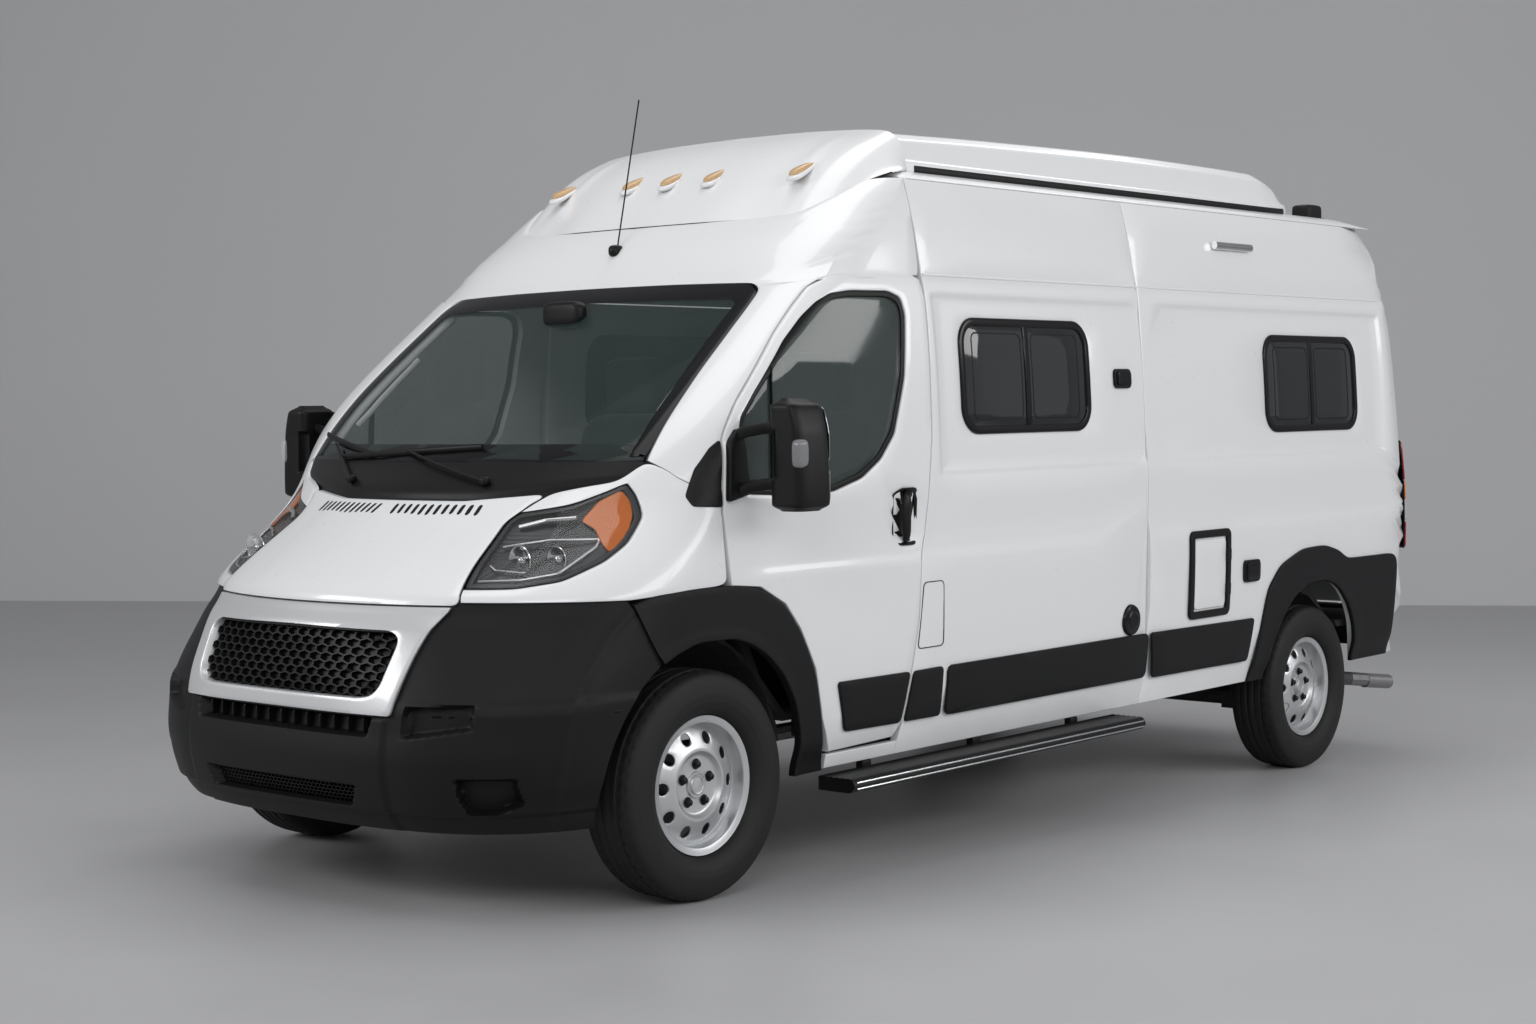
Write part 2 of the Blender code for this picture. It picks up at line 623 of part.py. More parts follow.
def cap_point(place, blend):
    """Point of the cap: place counts along its edge from the centre line, blend runs from edge to rear."""
    edge_y, edge_x, edge_z = CAP_EDGE[place]
    rear_y, rear_z = CAP_REAR[place]
    rise = 0.055 * math.sin(math.pi * blend) * (1 - (place / (len(CAP_EDGE) - 1)) ** 3)
    return (edge_x * (1 - blend) + CAP_REAR_X * blend, edge_y * (1 - blend) + rear_y * blend,
            edge_z * (1 - blend) + rear_z * blend + rise)


def cap_lining(point, blend):
    """Point inside the cap's skin, kept above the header's cut ahead of the pillar and the roof behind it."""
    x, y, z = point
    y *= 0.994
    rest = roof_height(y) + 0.0048 if x < PILLAR_X + 0.01 else table([(b, c) for b, _, c in CAP_EDGE], y)
    start = min(1.0, 4 * blend)
    return (x - 0.020 * (1 - blend), y, min(max(z - 0.022 * start, rest), z - 0.003 * start))


def build_roof_cap():
    """Moulded cap over the cab: a rising dome from the header to the front of the pop-top."""
    outer, inner = [], []
    for blend in (0.0, 0.2, 0.45, 0.7, 0.88, 1.0):
        half = [cap_point(k, blend) for k in range(len(CAP_EDGE))]
        lining = [cap_lining(point, blend) for point in half]
        outer.append([(x, -y, z) for x, y, z in half[:0:-1]] + half)
        inner.append([(x, -y, z) for x, y, z in lining[:0:-1]] + lining)
    piece("roof_cap", grid_shell(outer, inner), "white_paint")


POP_FRONT_X = -1.352
POP_REAR_X = -4.290
POP_SIDE_Y = 0.792


def build_pop_top():
    """Lifting roof: a shallow lid with a crease along its side and a rounded tail."""
    stations = [(POP_FRONT_X, 0.130, 1.0), (-2.0, 0.150, 1.0), (-3.2, 0.170, 1.0), (-4.00, 0.165, 1.0),
                (-4.16, 0.130, 0.985), (-4.25, 0.075, 0.965), (POP_REAR_X, 0.030, 0.95)]
    outer, inner = [], []
    for x, rise, narrow in stations:
        side = POP_SIDE_Y * narrow
        foot = roof_height(side) + 0.0046
        shape = [(side, foot), (side, foot + min(0.035, rise)), (side - 0.012, foot + min(0.045, rise + 0.005)),
                 (side - 0.035, foot + rise * 0.82 + 0.01), (side - 0.085, foot + rise + 0.015),
                 (0.40, max(foot + rise + 0.035, roof_height(0.40) + 0.030)),
                 (0.0, max(foot + rise + 0.045, roof_height(0.0) + 0.032))]
        lining = [(side - 0.045, roof_height(side - 0.045) + 0.006),
                  (side - 0.046, roof_height(side - 0.046) + 0.008),
                  (side - 0.048, roof_height(side - 0.048) + 0.010)]
        lining += [(y - 0.03 if y > 0.1 else 0.0, max(z - 0.022, roof_height(max(y - 0.03, 0.0)) + 0.008))
                   for y, z in shape[3:]]
        ring = [(x, -y, z) for y, z in shape] + [(x, y, z) for y, z in shape[-2::-1]]
        under = [(x, -y, z) for y, z in lining] + [(x, y, z) for y, z in lining[-2::-1]]
        outer.append(ring)
        inner.append(under)
    pivot = hinge("pop_top", POP_HINGE)
    piece("pop_top", grid_shell(outer, inner), "white_paint", pivot=pivot)


POP_HINGE = (-4.300, 0.0, 2.458)


PILLAR_SEAM = [(0.78, 1.400), (0.836, 1.387), (0.899, 1.358), (0.943, 1.325), (1.010, 1.250), (1.10, 1.20)]


def build_front_frame():
    """Windscreen pillars, header and cant rails in one pressing, cut for the glass and the doors."""
    levels = [1.26, 1.32, 1.374, 1.50, 1.65, 1.80, 1.95, 1.985, 2.05, 2.12, 2.205, 2.26, 2.30, WALL_TOP_Z]
    turns = [0.0, 0.2, 0.4, 0.55, 0.68, 0.8, 0.9, 1.0, 1.5, 2.0]
    shell = front_shell(levels, turns, PANEL, PILLAR_X)
    door = prism(offset(DOOR_OUTLINE, SHUT_GAP), "Y", 0.80, 1.2)
    glass = prism(WINDSCREEN_OPENING, "X", -0.75, 0.6)
    below = prism(offset(PILLAR_SEAM + [(1.10, 1.10), (0.30, 1.10), (0.30, 1.340)], TOUCH), "X", -0.75, 0.6)
    cuts = [glass]
    for sign in (1, -1):
        cuts += [door.side(sign), below.side(sign), box(-1.35, -1.12, 0.80, 1.20, 1.20, 1.94).side(sign)]
    cap = [(y + 0.004, z - TOUCH) for y, _, z in CAP_EDGE]
    cuts.append(prism([(-y, z) for y, z in cap[:0:-1]] + cap + [(0.90, 2.50), (-0.90, 2.50)], "X", -1.3, 0.0))
    piece("front_frame", shell, "white_paint", cut=cuts)


WINDSCREEN_HALF = [(0.0, 1.978), (0.42, 1.975), (0.72, 1.968), (0.785, 1.935), (0.825, 1.62), (0.83, 1.385),
                   (0.778, 1.324), (0.601, 1.293), (0.560, 1.272), (0.0, 1.200)]
WINDSCREEN_OPENING = WINDSCREEN_HALF + [(-y, z) for y, z in WINDSCREEN_HALF[-2:0:-1]]
COWL_TOP_Z = 1.385


def build_windscreen():
    levels = [COWL_TOP_Z, 1.50, 1.65, 1.80, 1.95, 1.985]
    turns = [0.0, 0.2, 0.4, 0.55, 0.68, 0.8]
    shell = front_shell(levels, turns, 0.008, lift=0.004)
    inside = prism(offset(WINDSCREEN_OPENING, -0.0008), "X", -0.75, 0.6)
    piece("windscreen", shell, "glass", keep=[inside])


HOOD_REAR_HALF = [(0.0, 1.262), (0.30, 1.262), (0.585, 1.285)]
HOOD_SIDE = [(0.592, 1.284), (0.550, 1.258), (0.513, 1.200), (0.549, 1.077), (0.574, 1.008), (0.591, 0.972)]
HOOD_FRONT = [(0.585, 0.962), (0.0, 0.962)]
HOOD_CORNER = [(0.562, 1.2831), (0.576, 1.2741)]
HOOD_HALF = HOOD_REAR_HALF[:2] + HOOD_CORNER + HOOD_SIDE[1:] + HOOD_FRONT
HOOD_OUTLINE = HOOD_HALF + [(-y, z) for y, z in HOOD_HALF[-2:0:-1]]
HOOD_OPENING_HALF = HOOD_REAR_HALF + HOOD_SIDE + HOOD_FRONT
HOOD_OPENING = HOOD_OPENING_HALF + [(-y, z) for y, z in HOOD_OPENING_HALF[-2:0:-1]]
HOOD_HINGE = (0.255, 0.0, 1.300)
HOOD_THICKNESS = 0.028
WING_FOOT_Z = 0.9705


def build_hood():
    levels = [0.960, 0.985, 1.01, 1.06, 1.12, 1.18, 1.242, 1.290]
    turns = [0.0, 0.12, 0.25, 0.38, 0.5, 0.62]
    shell = front_shell(levels, turns, HOOD_THICKNESS)
    inside = prism(HOOD_OUTLINE, "X", 0.1, 1.0)
    piece("hood", shell, "white_paint", pivot=hinge("hood", HOOD_HINGE), keep=[inside])


def hood_edge_z(y):
    """Height of the hood's rear edge across the car."""
    return table(HOOD_REAR_HALF, abs(y))


def build_cowl():
    """Black panel under the windscreen that carries the wipers and dips under the hood's rear edge."""
    steps = [(-0.012, 0.036), (0.0, 0.036), (0.014, 0.026), (0.040, 0.006), (0.075, 0.006), (None, 0.006)]
    turns = [-0.8, -0.68, -0.55, -0.4, -0.2, 0.0, 0.2, 0.4, 0.55, 0.68, 0.8]
    outer, inner = [], []
    for rise, depth in steps:
        heights = [COWL_TOP_Z - TOUCH if rise is None else hood_edge_z(front_point(t, 1.28)[1]) + rise
                   for t in turns]
        outer.append([front_point(t, z, depth) for t, z in zip(turns, heights)])
        inner.append([front_point(t, z, depth + 0.014) for t, z in zip(turns, heights)])
    inside = prism(offset(WINDSCREEN_OPENING, -0.0008), "X", -0.5, 0.7)
    piece("cowl", grid_shell(outer, inner), "black_plastic", keep=[inside])


# Headlamp in front view (y, z): its inner edge runs a shut gap outside the hood's side
LAMP_OUTLINE = [(0.582, 1.008), (0.557, 1.077), (0.521, 1.200), (0.538, 1.229), (0.678, 1.252),
                (0.756, 1.291), (0.805, 1.318), (0.845, 1.282), (0.893, 1.217), (0.906, 1.137),
                (0.888, 1.084), (0.827, 1.030), (0.724, 1.010)]


def build_headlamps():
    levels = [1.0, 1.04, 1.09, 1.15, 1.21, 1.25, 1.30, 1.33]
    turns = [0.42, 0.5, 0.58, 0.66, 0.74, 0.82, 0.9, 0.96]
    for sign, name in ((1, "headlamp_left"), (-1, "headlamp_right")):
        outer = [[front_point(t, z) for t in turns] for z in levels]
        inner = [[front_point(t, z, 0.055) for t in turns] for z in levels]
        inside = prism(offset(LAMP_OUTLINE, -0.001), "X", -0.2, 1.0)
        piece(name, grid_shell(outer, inner).side(sign), "lamp", keep=[inside.side(sign)])


def build_wings():
    """Front wings: from the bumper up to the bonnet's side and the pillar, cut for lamp, arch and door."""
    levels = [0.80, 0.90, 0.985, 1.06, 1.14, 1.20, 1.242, 1.292, 1.34, 1.395]
    turns = [0.42, 0.5, 0.58, 0.66, 0.74, 0.82, 0.9, 1.0, 2.0]
    glass = prism(offset(WINDSCREEN_OPENING, 0.002), "X", -0.75, 0.6)
    pillar = prism(PILLAR_SEAM + [(1.10, 1.50), (0.78, 1.50)], "X", -0.75, 0.6)
    lamp = prism([(0.50, 1.008), (0.50, 1.229)] + LAMP_OUTLINE[3:], "X", -0.1, 1.0)
    hood = prism(offset(HOOD_OPENING, SHUT_GAP), "X", -0.1, 1.0)
    door = prism(offset(DOOR_OUTLINE, SHUT_GAP), "Y", 0.80, 1.2)
    below = [(1.0, 0.55), (1.0, WING_FOOT_Z), (0.292, WING_FOOT_Z)] + FLARE_FRONT_OUTER[:5] + [(-0.25, 0.55)]
    flare = prism(offset(below, 0.0), "Y", 0.3, 1.2)
    for sign, name in ((1, "front_wing_left"), (-1, "front_wing_right")):
        outer = [[front_point(t, z, 0.0, -0.17) for t in turns] for z in levels]
        inner = [[front_point(t, z, 0.032, -0.17) for t in turns] for z in levels]
        piece(name, grid_shell(outer, inner).side(sign), "white_paint",
              cut=[hood, lamp.side(sign), door.side(sign), flare.side(sign), glass, pillar.side(sign)])


SURROUND_HALF = [(0.0, 0.957), (0.575, 0.957), (0.548, 0.889), (0.531, 0.809), (0.520, 0.728),
                 (0.505, 0.641), (0.0, 0.641)]
SURROUND_OUTLINE = SURROUND_HALF + [(-y, z) for y, z in SURROUND_HALF[-2:0:-1]]
GRILLE_HALF = [(0.0, 0.893), (0.420, 0.888), (0.458, 0.870), (0.462, 0.846), (0.446, 0.728),
               (0.420, 0.698), (0.372, 0.690), (0.0, 0.690)]
GRILLE_OUTLINE = GRILLE_HALF + [(-y, z) for y, z in GRILLE_HALF[-2:0:-1]]


def build_bumper():
    """Front bumper from the centre to the arch lips, with its slot, lamp recesses and lower mouth."""
    levels = [0.27, 0.335, 0.42, 0.50, 0.60, 0.70, 0.80, 0.884, WING_FOOT_Z - TOUCH]
    turns = [0.0, 0.15, 0.3, 0.42, 0.52, 0.62, 0.72, 0.82, 0.92, 1.0]
    shell = front_shell(levels, turns, 0.040)
    notch = SURROUND_HALF[2:-1]
    notch = [(0.600, 1.05), (0.600, 0.957), (0.575, 0.957)] + notch
    notch = notch + [(-y, z) for y, z in notch[::-1]]
    above = prism(offset(notch, 0.001), "X", 0.2, 1.2)
    seam = [(0.2924, 0.975)] + [(x + TOUCH, z) for x, z in bumper_seam()]
    lip = arch_arc(FRONT_ARCH, 0.0, 60, -12, 10)
    behind = seam + lip + [(0.40, 0.20), (-0.5, 0.20), (-0.5, 1.1), (0.292, 1.1)]
    arch = prism(behind, "Y", -1.2, 1.2)
    slot = prism(rounded([(-0.430, 0.634), (0.430, 0.634), (0.414, 0.577), (-0.414, 0.577)], 0.012, 2),
                 "X", 0.6, 1.1)
    mouth = prism(rounded([(-0.366, 0.424), (0.366, 0.424), (0.340, 0.362), (-0.340, 0.362)], 0.012, 2),
                  "X", 0.6, 1.1)
    upper = [(0.545, 0.580), (0.570, 0.672), (0.767, 0.684), (0.759, 0.604), (0.600, 0.574)]
    lower = [(0.729, 0.452), (0.857, 0.462), (0.844, 0.382), (0.787, 0.347), (0.707, 0.347)]
    cuts = [above, arch, slot, mouth]
    for sign in (1, -1):
        cuts.append(prism(upper, "X", 0.60, 1.1).side(sign))
        cuts.append(prism(lower, "X", 0.55, 1.1).side(sign))
    piece("front_bumper", shell, "dark_plastic", cut=cuts)


def build_grille():
    """Painted surround and the dark mesh panel inside it."""
    levels = [0.63, 0.70, 0.80, 0.884, 0.956]
    turns = [0.0, 0.15, 0.3, 0.45, 0.55]
    shell = front_shell(levels, turns, 0.040, lift=-0.004)
    surround = piece("grille_surround", shell, "silver_paint", keep=[prism(SURROUND_OUTLINE, "X", 0.2, 1.2)],
          cut=[prism(GRILLE_OUTLINE, "X", 0.2, 1.2)])
    lip = front_shell([0.93, 0.96, 0.985], [0.0, 0.12, 0.25], 0.012, lift=HOOD_THICKNESS + TOUCH)
    apply_tool(surround, "UNION", lip, 1, BODY, (0.0, 0.0, 0.0))
    panel = front_shell([0.68, 0.75, 0.82, 0.90], [0.0, 0.15, 0.3, 0.42], 0.012, lift=0.020)
    piece("grille", panel, "black_plastic", keep=[prism(offset(GRILLE_OUTLINE, -0.0004), "X", 0.2, 1.2)])


def build_front_flares():
    """Wheel arch mouldings of the front wings, from the bumper seam to the sill."""
    levels = [0.331, 0.44, 0.55, 0.63, 0.72, 0.80, 0.88, 0.965, 0.992]
    turns = [0.83, 0.92, 1.0, 1.35, 1.7, 2.0]
    inner_arc = arch_arc(FRONT_ARCH, 0.0, 62, 186, 16)
    heel = (FRONT_ARCH[0] - FRONT_ARCH[2] + 0.005, 0.331)
    outline = bumper_seam() + inner_arc + [heel] + FLARE_FRONT_OUTER[::-1]
    region = prism(offset(outline, -0.0006), "Y", 0.8, 1.2)
    for sign, name in ((1, "front_flare_left"), (-1, "front_flare_right")):
        outer = [[front_point(t, z, -0.004, -0.64) for t in turns] for z in levels]
        inner = [[front_point(t, z, 0.030, -0.64) for t in turns] for z in levels]
        piece(name, grid_shell(outer, inner).side(sign), "dark_plastic", keep=[region.side(sign)])


def build_rear_flares():
    """Rear arch mouldings with the corner trim behind them, planted on the side wall."""
    levels = [0.336, 0.44, 0.55, 0.63, 0.72, 0.80, 0.897]
    front_edge = [(-3.515, 0.336)] + REAR_FLARE_OUTER[1:] + [(-4.860, 0.820), (-4.860, 0.336)]
    arch_cut = prism(circle(REAR_ARCH[0], REAR_ARCH[1], REAR_ARCH[2], 24), "Y", 0.6, 1.3)
    for sign, name in ((1, "rear_flare_left"), (-1, "rear_flare_right")):
        stations = [-3.5, -3.9, -4.3, -4.7, -4.87]
        outer = [[(x, half_width(z) + 0.014, z) for z in levels] for x in stations]
        inner = [[(x, half_width(z) + TOUCH, z) for z in levels] for x in stations]
        piece(name, grid_shell(outer, inner).side(sign), "dark_plastic",
              keep=[prism(front_edge, "Y", 0.9, 1.2).side(sign)], cut=[arch_cut.side(sign)])


FRONT_DOOR_HINGE = (-0.137, 1.012, 1.0)


def build_front_doors():
    """Front doors: thick shells cut to the door line, with the window cut out and the glass in it."""
    stations = [-0.05, -0.12, -0.2, -0.3, -0.45, -0.62, -0.8, -1.22]
    for sign, name in ((1, "left"), (-1, "right")):
        outer = [[(x, skin_y(x, z), z) for z in DOOR_LEVELS] for x in stations]
        inner = [[(x, skin_y(x, z, DOOR_THICKNESS), z) for z in DOOR_LEVELS] for x in stations]
        shell = grid_shell(outer, inner).side(sign)
        x, y, z = FRONT_DOOR_HINGE
        pivot = hinge(f"front_door_{name}", (x, sign * y, z))
        window = side_cut(DOOR_WINDOW, sign)
        flare = side_cut(offset([(-0.10, 0.30), (-0.10, 0.985)] + FLARE_FRONT_OUTER[3:], 0.006), sign)
        piece(f"front_door_{name}", shell, "white_paint", pivot=pivot,
              keep=[side_cut(DOOR_OUTLINE, sign)], cut=[window, flare])
        heights = (1.25, 1.40, 1.50, 1.60, 1.69, 1.80, 1.96)
        panes = (-0.12, -0.2, -0.3, -0.45, -0.62, -0.8, -1.1)
        pane_out = [[(px, skin_y(px, z, 0.012), z) for z in heights] for px in panes]
        pane_in = [[(px, skin_y(px, z, 0.012 + GLASS), z) for z in heights] for px in panes]
        piece(f"front_door_glass_{name}", grid_shell(pane_out, pane_in).side(sign), "glass", pivot=pivot,
              keep=[side_cut(offset(DOOR_WINDOW, -TOUCH), sign)])
        build_mirror(sign, name, pivot)


def build_mirror(sign, name, pivot):
    """Door mirror: a tall rounded head on two arms from a foot on the door."""
    rings = []
    for z, shrink, outer_y in ((1.224, 0.026, 1.290), (1.236, 0.008, 1.294), (1.270, 0.0, 1.295),
                               (1.460, 0.0, 1.284), (1.530, 0.002, 1.268), (1.565, 0.012, 1.252),
                               (1.577, 0.030, 1.248)):
        corners = [(-0.298 + shrink, 1.152 + shrink), (-0.140 - shrink, 1.152 + shrink),
                   (-0.140 - shrink, outer_y - shrink), (-0.298 + shrink, outer_y - shrink)]
        rings.append([(x, y, z) for x, y in rounded(corners, 0.034, 3)])
    head = loft(rings)
    arms = []
    for z in (1.489, 1.311):
        root = skin_y(-0.150, z - 0.03) + 0.018
        arms.append(tube([(-0.150, root, z - 0.03), (-0.170, 1.060, z - 0.01), (-0.205, 1.175, z)],
                         0.020, 8))
    stations, heights = (-0.05, -0.12, -0.20, -0.30), (1.08, 1.29, 1.40, 1.50, 1.60)
    foot = grid_shell([[(x, skin_y(x, z, -0.020), z) for z in heights] for x in stations],
                      [[(x, skin_y(x, z, -2 * TOUCH), z) for z in heights] for x in stations])
    sail = prism([(-0.105, 1.270), (-0.130, 1.465), (-0.155, 1.490), (-0.200, 1.270)], "Y", 0.9, 1.2)
    made = piece(f"mirror_{name}", foot.side(sign), "black_plastic", pivot=pivot, keep=[sail.side(sign)])
    for index, part in enumerate(arms + [head]):
        apply_tool(made, "UNION", part.side(sign), index + 1, *pivot)


def build_rear_doors():
    """Rear doors: tall panels with their windows cut, hinged at the outer edges."""
    levels = [REAR_DOOR_BOTTOM_Z, 0.80, 1.07, 1.35, 1.64, 2.02, REAR_DOOR_TOP_Z]
    for sign, name in ((1, "left"), (-1, "right")):
        ys = [0.004, 0.4, REAR_DOOR_EDGE_Y - 0.0005]
        outer = [[(rear(z), y, z) for y in ys] for z in levels]
        inner = [[(rear(z) + 0.050, max(y, 0.014), z) for y in ys] for z in levels]
        pivot = hinge(f"rear_door_{name}", (REAR_HINGE_X, sign * REAR_HINGE_Y, 1.0))
        window = rounded([(0.110, 1.400), (0.110, 1.900), (0.690, 1.900), (0.690, 1.400)], 0.07, 4)
        made = piece(f"rear_door_{name}", grid_shell(outer, inner).side(sign), "white_paint", pivot=pivot,
                     cut=[prism(window, "X", -5.2, -4.7).side(sign)])
        for index, leaf in enumerate(leaf for z in REAR_HINGE_LEVELS for leaf in hinge_leaf(z, 1)):
            apply_tool(made, "UNION", leaf.side(sign), 20 + index, *pivot)
        pane = []
        for depth in (0.010, 0.016):
            pane.append([[(rear(z) + depth, y, z) for y in (0.08, 0.72)] for z in (1.36, 1.64, 1.94)])
        piece(f"rear_door_glass_{name}", grid_shell(pane[0], pane[1]).side(sign), "tinted_glass",
              pivot=pivot, keep=[prism(offset(window, -TOUCH), "X", -5.2, -4.7).side(sign)])


def build_tail_lamps():
    for sign, name in ((1, "tail_lamp_left"), (-1, "tail_lamp_right")):
        levels = [0.830, 0.965, 1.07, 1.08, BELT_Z, 1.35]
        rings_out = [rear_corner_column(s, levels, -0.012) for s in (0.25, 0.5, 0.75, 1.0)]
        rings_in = [rear_corner_column(s, levels, -0.0008) for s in (0.25, 0.5, 0.75, 1.0)]
        piece(name, grid_shell(rings_out, rings_in).side(sign), "red_lamp")


def build_rear_bumper():
    face = rear(0.50) - TOUCH
    bar = prism(rounded([(face, -0.860), (face - 0.040, -0.840), (face - 0.040, 0.840), (face, 0.860)],
                        [0.0, 0.02, 0.02, 0.0], 3), "Z", 0.345, 0.545)
    piece("rear_bumper", bar, "dark_plastic")


TOE_BOARD_REAR = [(-0.235, 1.225), (-0.295, 0.860), (-0.39, 0.665), (-0.515, 0.5295), (-0.60, 0.5295)]


def wheel_house(house, wall, inner_y, outer_y, steps):
    """Ring over a wheel, as wide as from its inner to its outer side."""
    x, z, radius = house
    section = [(radius, inner_y), (radius + wall, inner_y), (radius + wall, outer_y), (radius, outer_y)]
    return turned(section, (x, 0.0, z), "Y", steps)


def build_floor():
    """Floor, toe board, sills and wheel houses."""
    floor = box(-4.935, -0.58, -0.905, 0.905, FLOOR_Z, FLOOR_Z + FLOOR_THICKNESS)
    wide = half_width(FLOOR_Z) - PANEL - TOUCH
    toe = [(-0.60, 0.505), (-0.50, 0.505), (-0.36, 0.640), (-0.26, 0.850), (-0.20, 1.220)] + TOE_BOARD_REAR
    adds = [prism(toe, "Y", -0.895, 0.895),
            box(-4.840, -1.26, -wide, wide, FLOOR_Z + 0.0005, FLOOR_Z + FLOOR_THICKNESS - 0.0005)]
    for sign in (1, -1):
        adds.append(box(-4.00, -0.60, 0.850, 0.900, 0.345, 0.520).side(sign))
        adds.append(wheel_house(FRONT_HOUSE, 0.025, 0.530, 0.890, 22).side(sign))
    cuts = [prism(arch_arc(FRONT_HOUSE, 0.010, 0, 360, 24), "Y", 0.50, 1.2),
            prism(arch_arc(FRONT_HOUSE, 0.010, 0, 360, 24), "Y", 0.50, 1.2).mirrored(),
            box(-0.62, 0.62, -1.2, 1.2, -0.30, 0.44)]
    for sign in (1, -1):
        cuts.append(prism(arch_arc(REAR_HOUSE, 0.010, 0, 360, 22), "Y", 0.66, 1.2).side(sign))
    for sign in (1, -1):
        adds.append(wheel_house(REAR_HOUSE, 0.030, 0.645, 0.898, 20).side(sign))
    cuts.append(box(-4.60, -3.50, -1.2, 1.2, -0.30, 0.345))
    piece("floor_pan", floor, "chassis_steel", add=adds, cut=cuts)


def tyre_profile():
    """Section of the tyre: bead inside the rim's flange, bulged sidewall, shoulder and a tread groove."""
    half = TYRE_WIDTH / 2
    outer = AXLE_HEIGHT
    side = [(RIM_RADIUS + TOUCH, BEAD_Y), (RIM_FLANGE_RADIUS + 0.0015, BEAD_Y), (0.238, 0.097),
            (0.290, half), (0.338, half * 0.92), (0.358, half * 0.78), (outer, half * 0.58)]
    groove = [(outer, half * 0.22), (outer - 0.009, half * 0.16)]
    top = side + groove
    return top + [(r, -a) for r, a in reversed(top)]


def rim_profile(out):
    """Section of the pressed steel wheel: flanged barrel and a dished centre; out is the outer side."""
    flange = BEAD_Y + TOUCH
    return [(a, b * out) for a, b in [
        (RIM_FLANGE_RADIUS, flange + 0.0015), (RIM_RADIUS, flange), (RIM_RADIUS, -flange),
        (RIM_FLANGE_RADIUS, -flange - 0.0015), (RIM_FLANGE_RADIUS, -flange - 0.006),
        (RIM_RADIUS - 0.006, -flange - 0.003), (RIM_RADIUS - 0.010, 0.020),
        (0.110, 0.048), (0.088, 0.030), (0.030, 0.030), (0.030, 0.046), (0.080, 0.046), (0.108, 0.064),
        (0.165, 0.056), (RIM_RADIUS - 0.010, 0.040), (RIM_RADIUS - 0.006, flange + 0.003),
        (RIM_FLANGE_RADIUS, flange + 0.006)]]


def build_wheels():
    places = {"front_left": (FRONT_AXLE_X, FRONT_TRACK_Y), "front_right": (FRONT_AXLE_X, -FRONT_TRACK_Y),
              "rear_left": (FRONT_AXLE_X - WHEELBASE, REAR_TRACK_Y),
              "rear_right": (FRONT_AXLE_X - WHEELBASE, -REAR_TRACK_Y)}
    for name, (x, y) in places.items():
        centre = (x, y, AXLE_HEIGHT)
        pivot = level_pivot(f"wheel_{name}", centre)
        sign = 1 if y > 0 else -1
        tyre = turned(tyre_profile(), centre, "Y", WHEEL_STEPS)
        piece(f"tyre_{name}", tyre, "tyre_rubber", pivot=pivot, smooth=35)
        rim = turned(rim_profile(sign), centre, "Y", WHEEL_STEPS)
        holes = []
        for k in range(10):
            angle = 2 * math.pi * (k + 0.5) / 10
            hx, hz = x + 0.140 * math.cos(angle), AXLE_HEIGHT + 0.140 * math.sin(angle)
            low, high = sorted((y, y + sign * 0.12))
            holes.append(prism(circle(hx, hz, 0.015, 6), "Y", low, high))
        merged = Solid([p for h in holes for p in h.points],
                       [tuple(i + 12 * k for i in face) for k, h in enumerate(holes) for face in h.faces])
        piece(f"rim_{name}", rim, "wheel_silver", pivot=pivot, cut=[merged], smooth=35)


def floor_under(x):
    """Height of the floor's underside in the level frame, a touch below it, at a level station."""
    along = (x - FRONT_AXLE_X + FLOOR_Z * math.sin(-RAKE)) / math.cos(RAKE)
    return AXLE_HEIGHT - BODY_AXLE_Z - along * math.sin(RAKE) + (FLOOR_Z - TOUCH) * math.cos(RAKE)


def post(x0, x1, y0, y1, z):
    """Upright from a height up to the floor's underside."""
    side = [(x0, z), (x1, z), (x1, floor_under(x1)), (x0, floor_under(x0))]
    return prism(side, "Y", y0, y1)


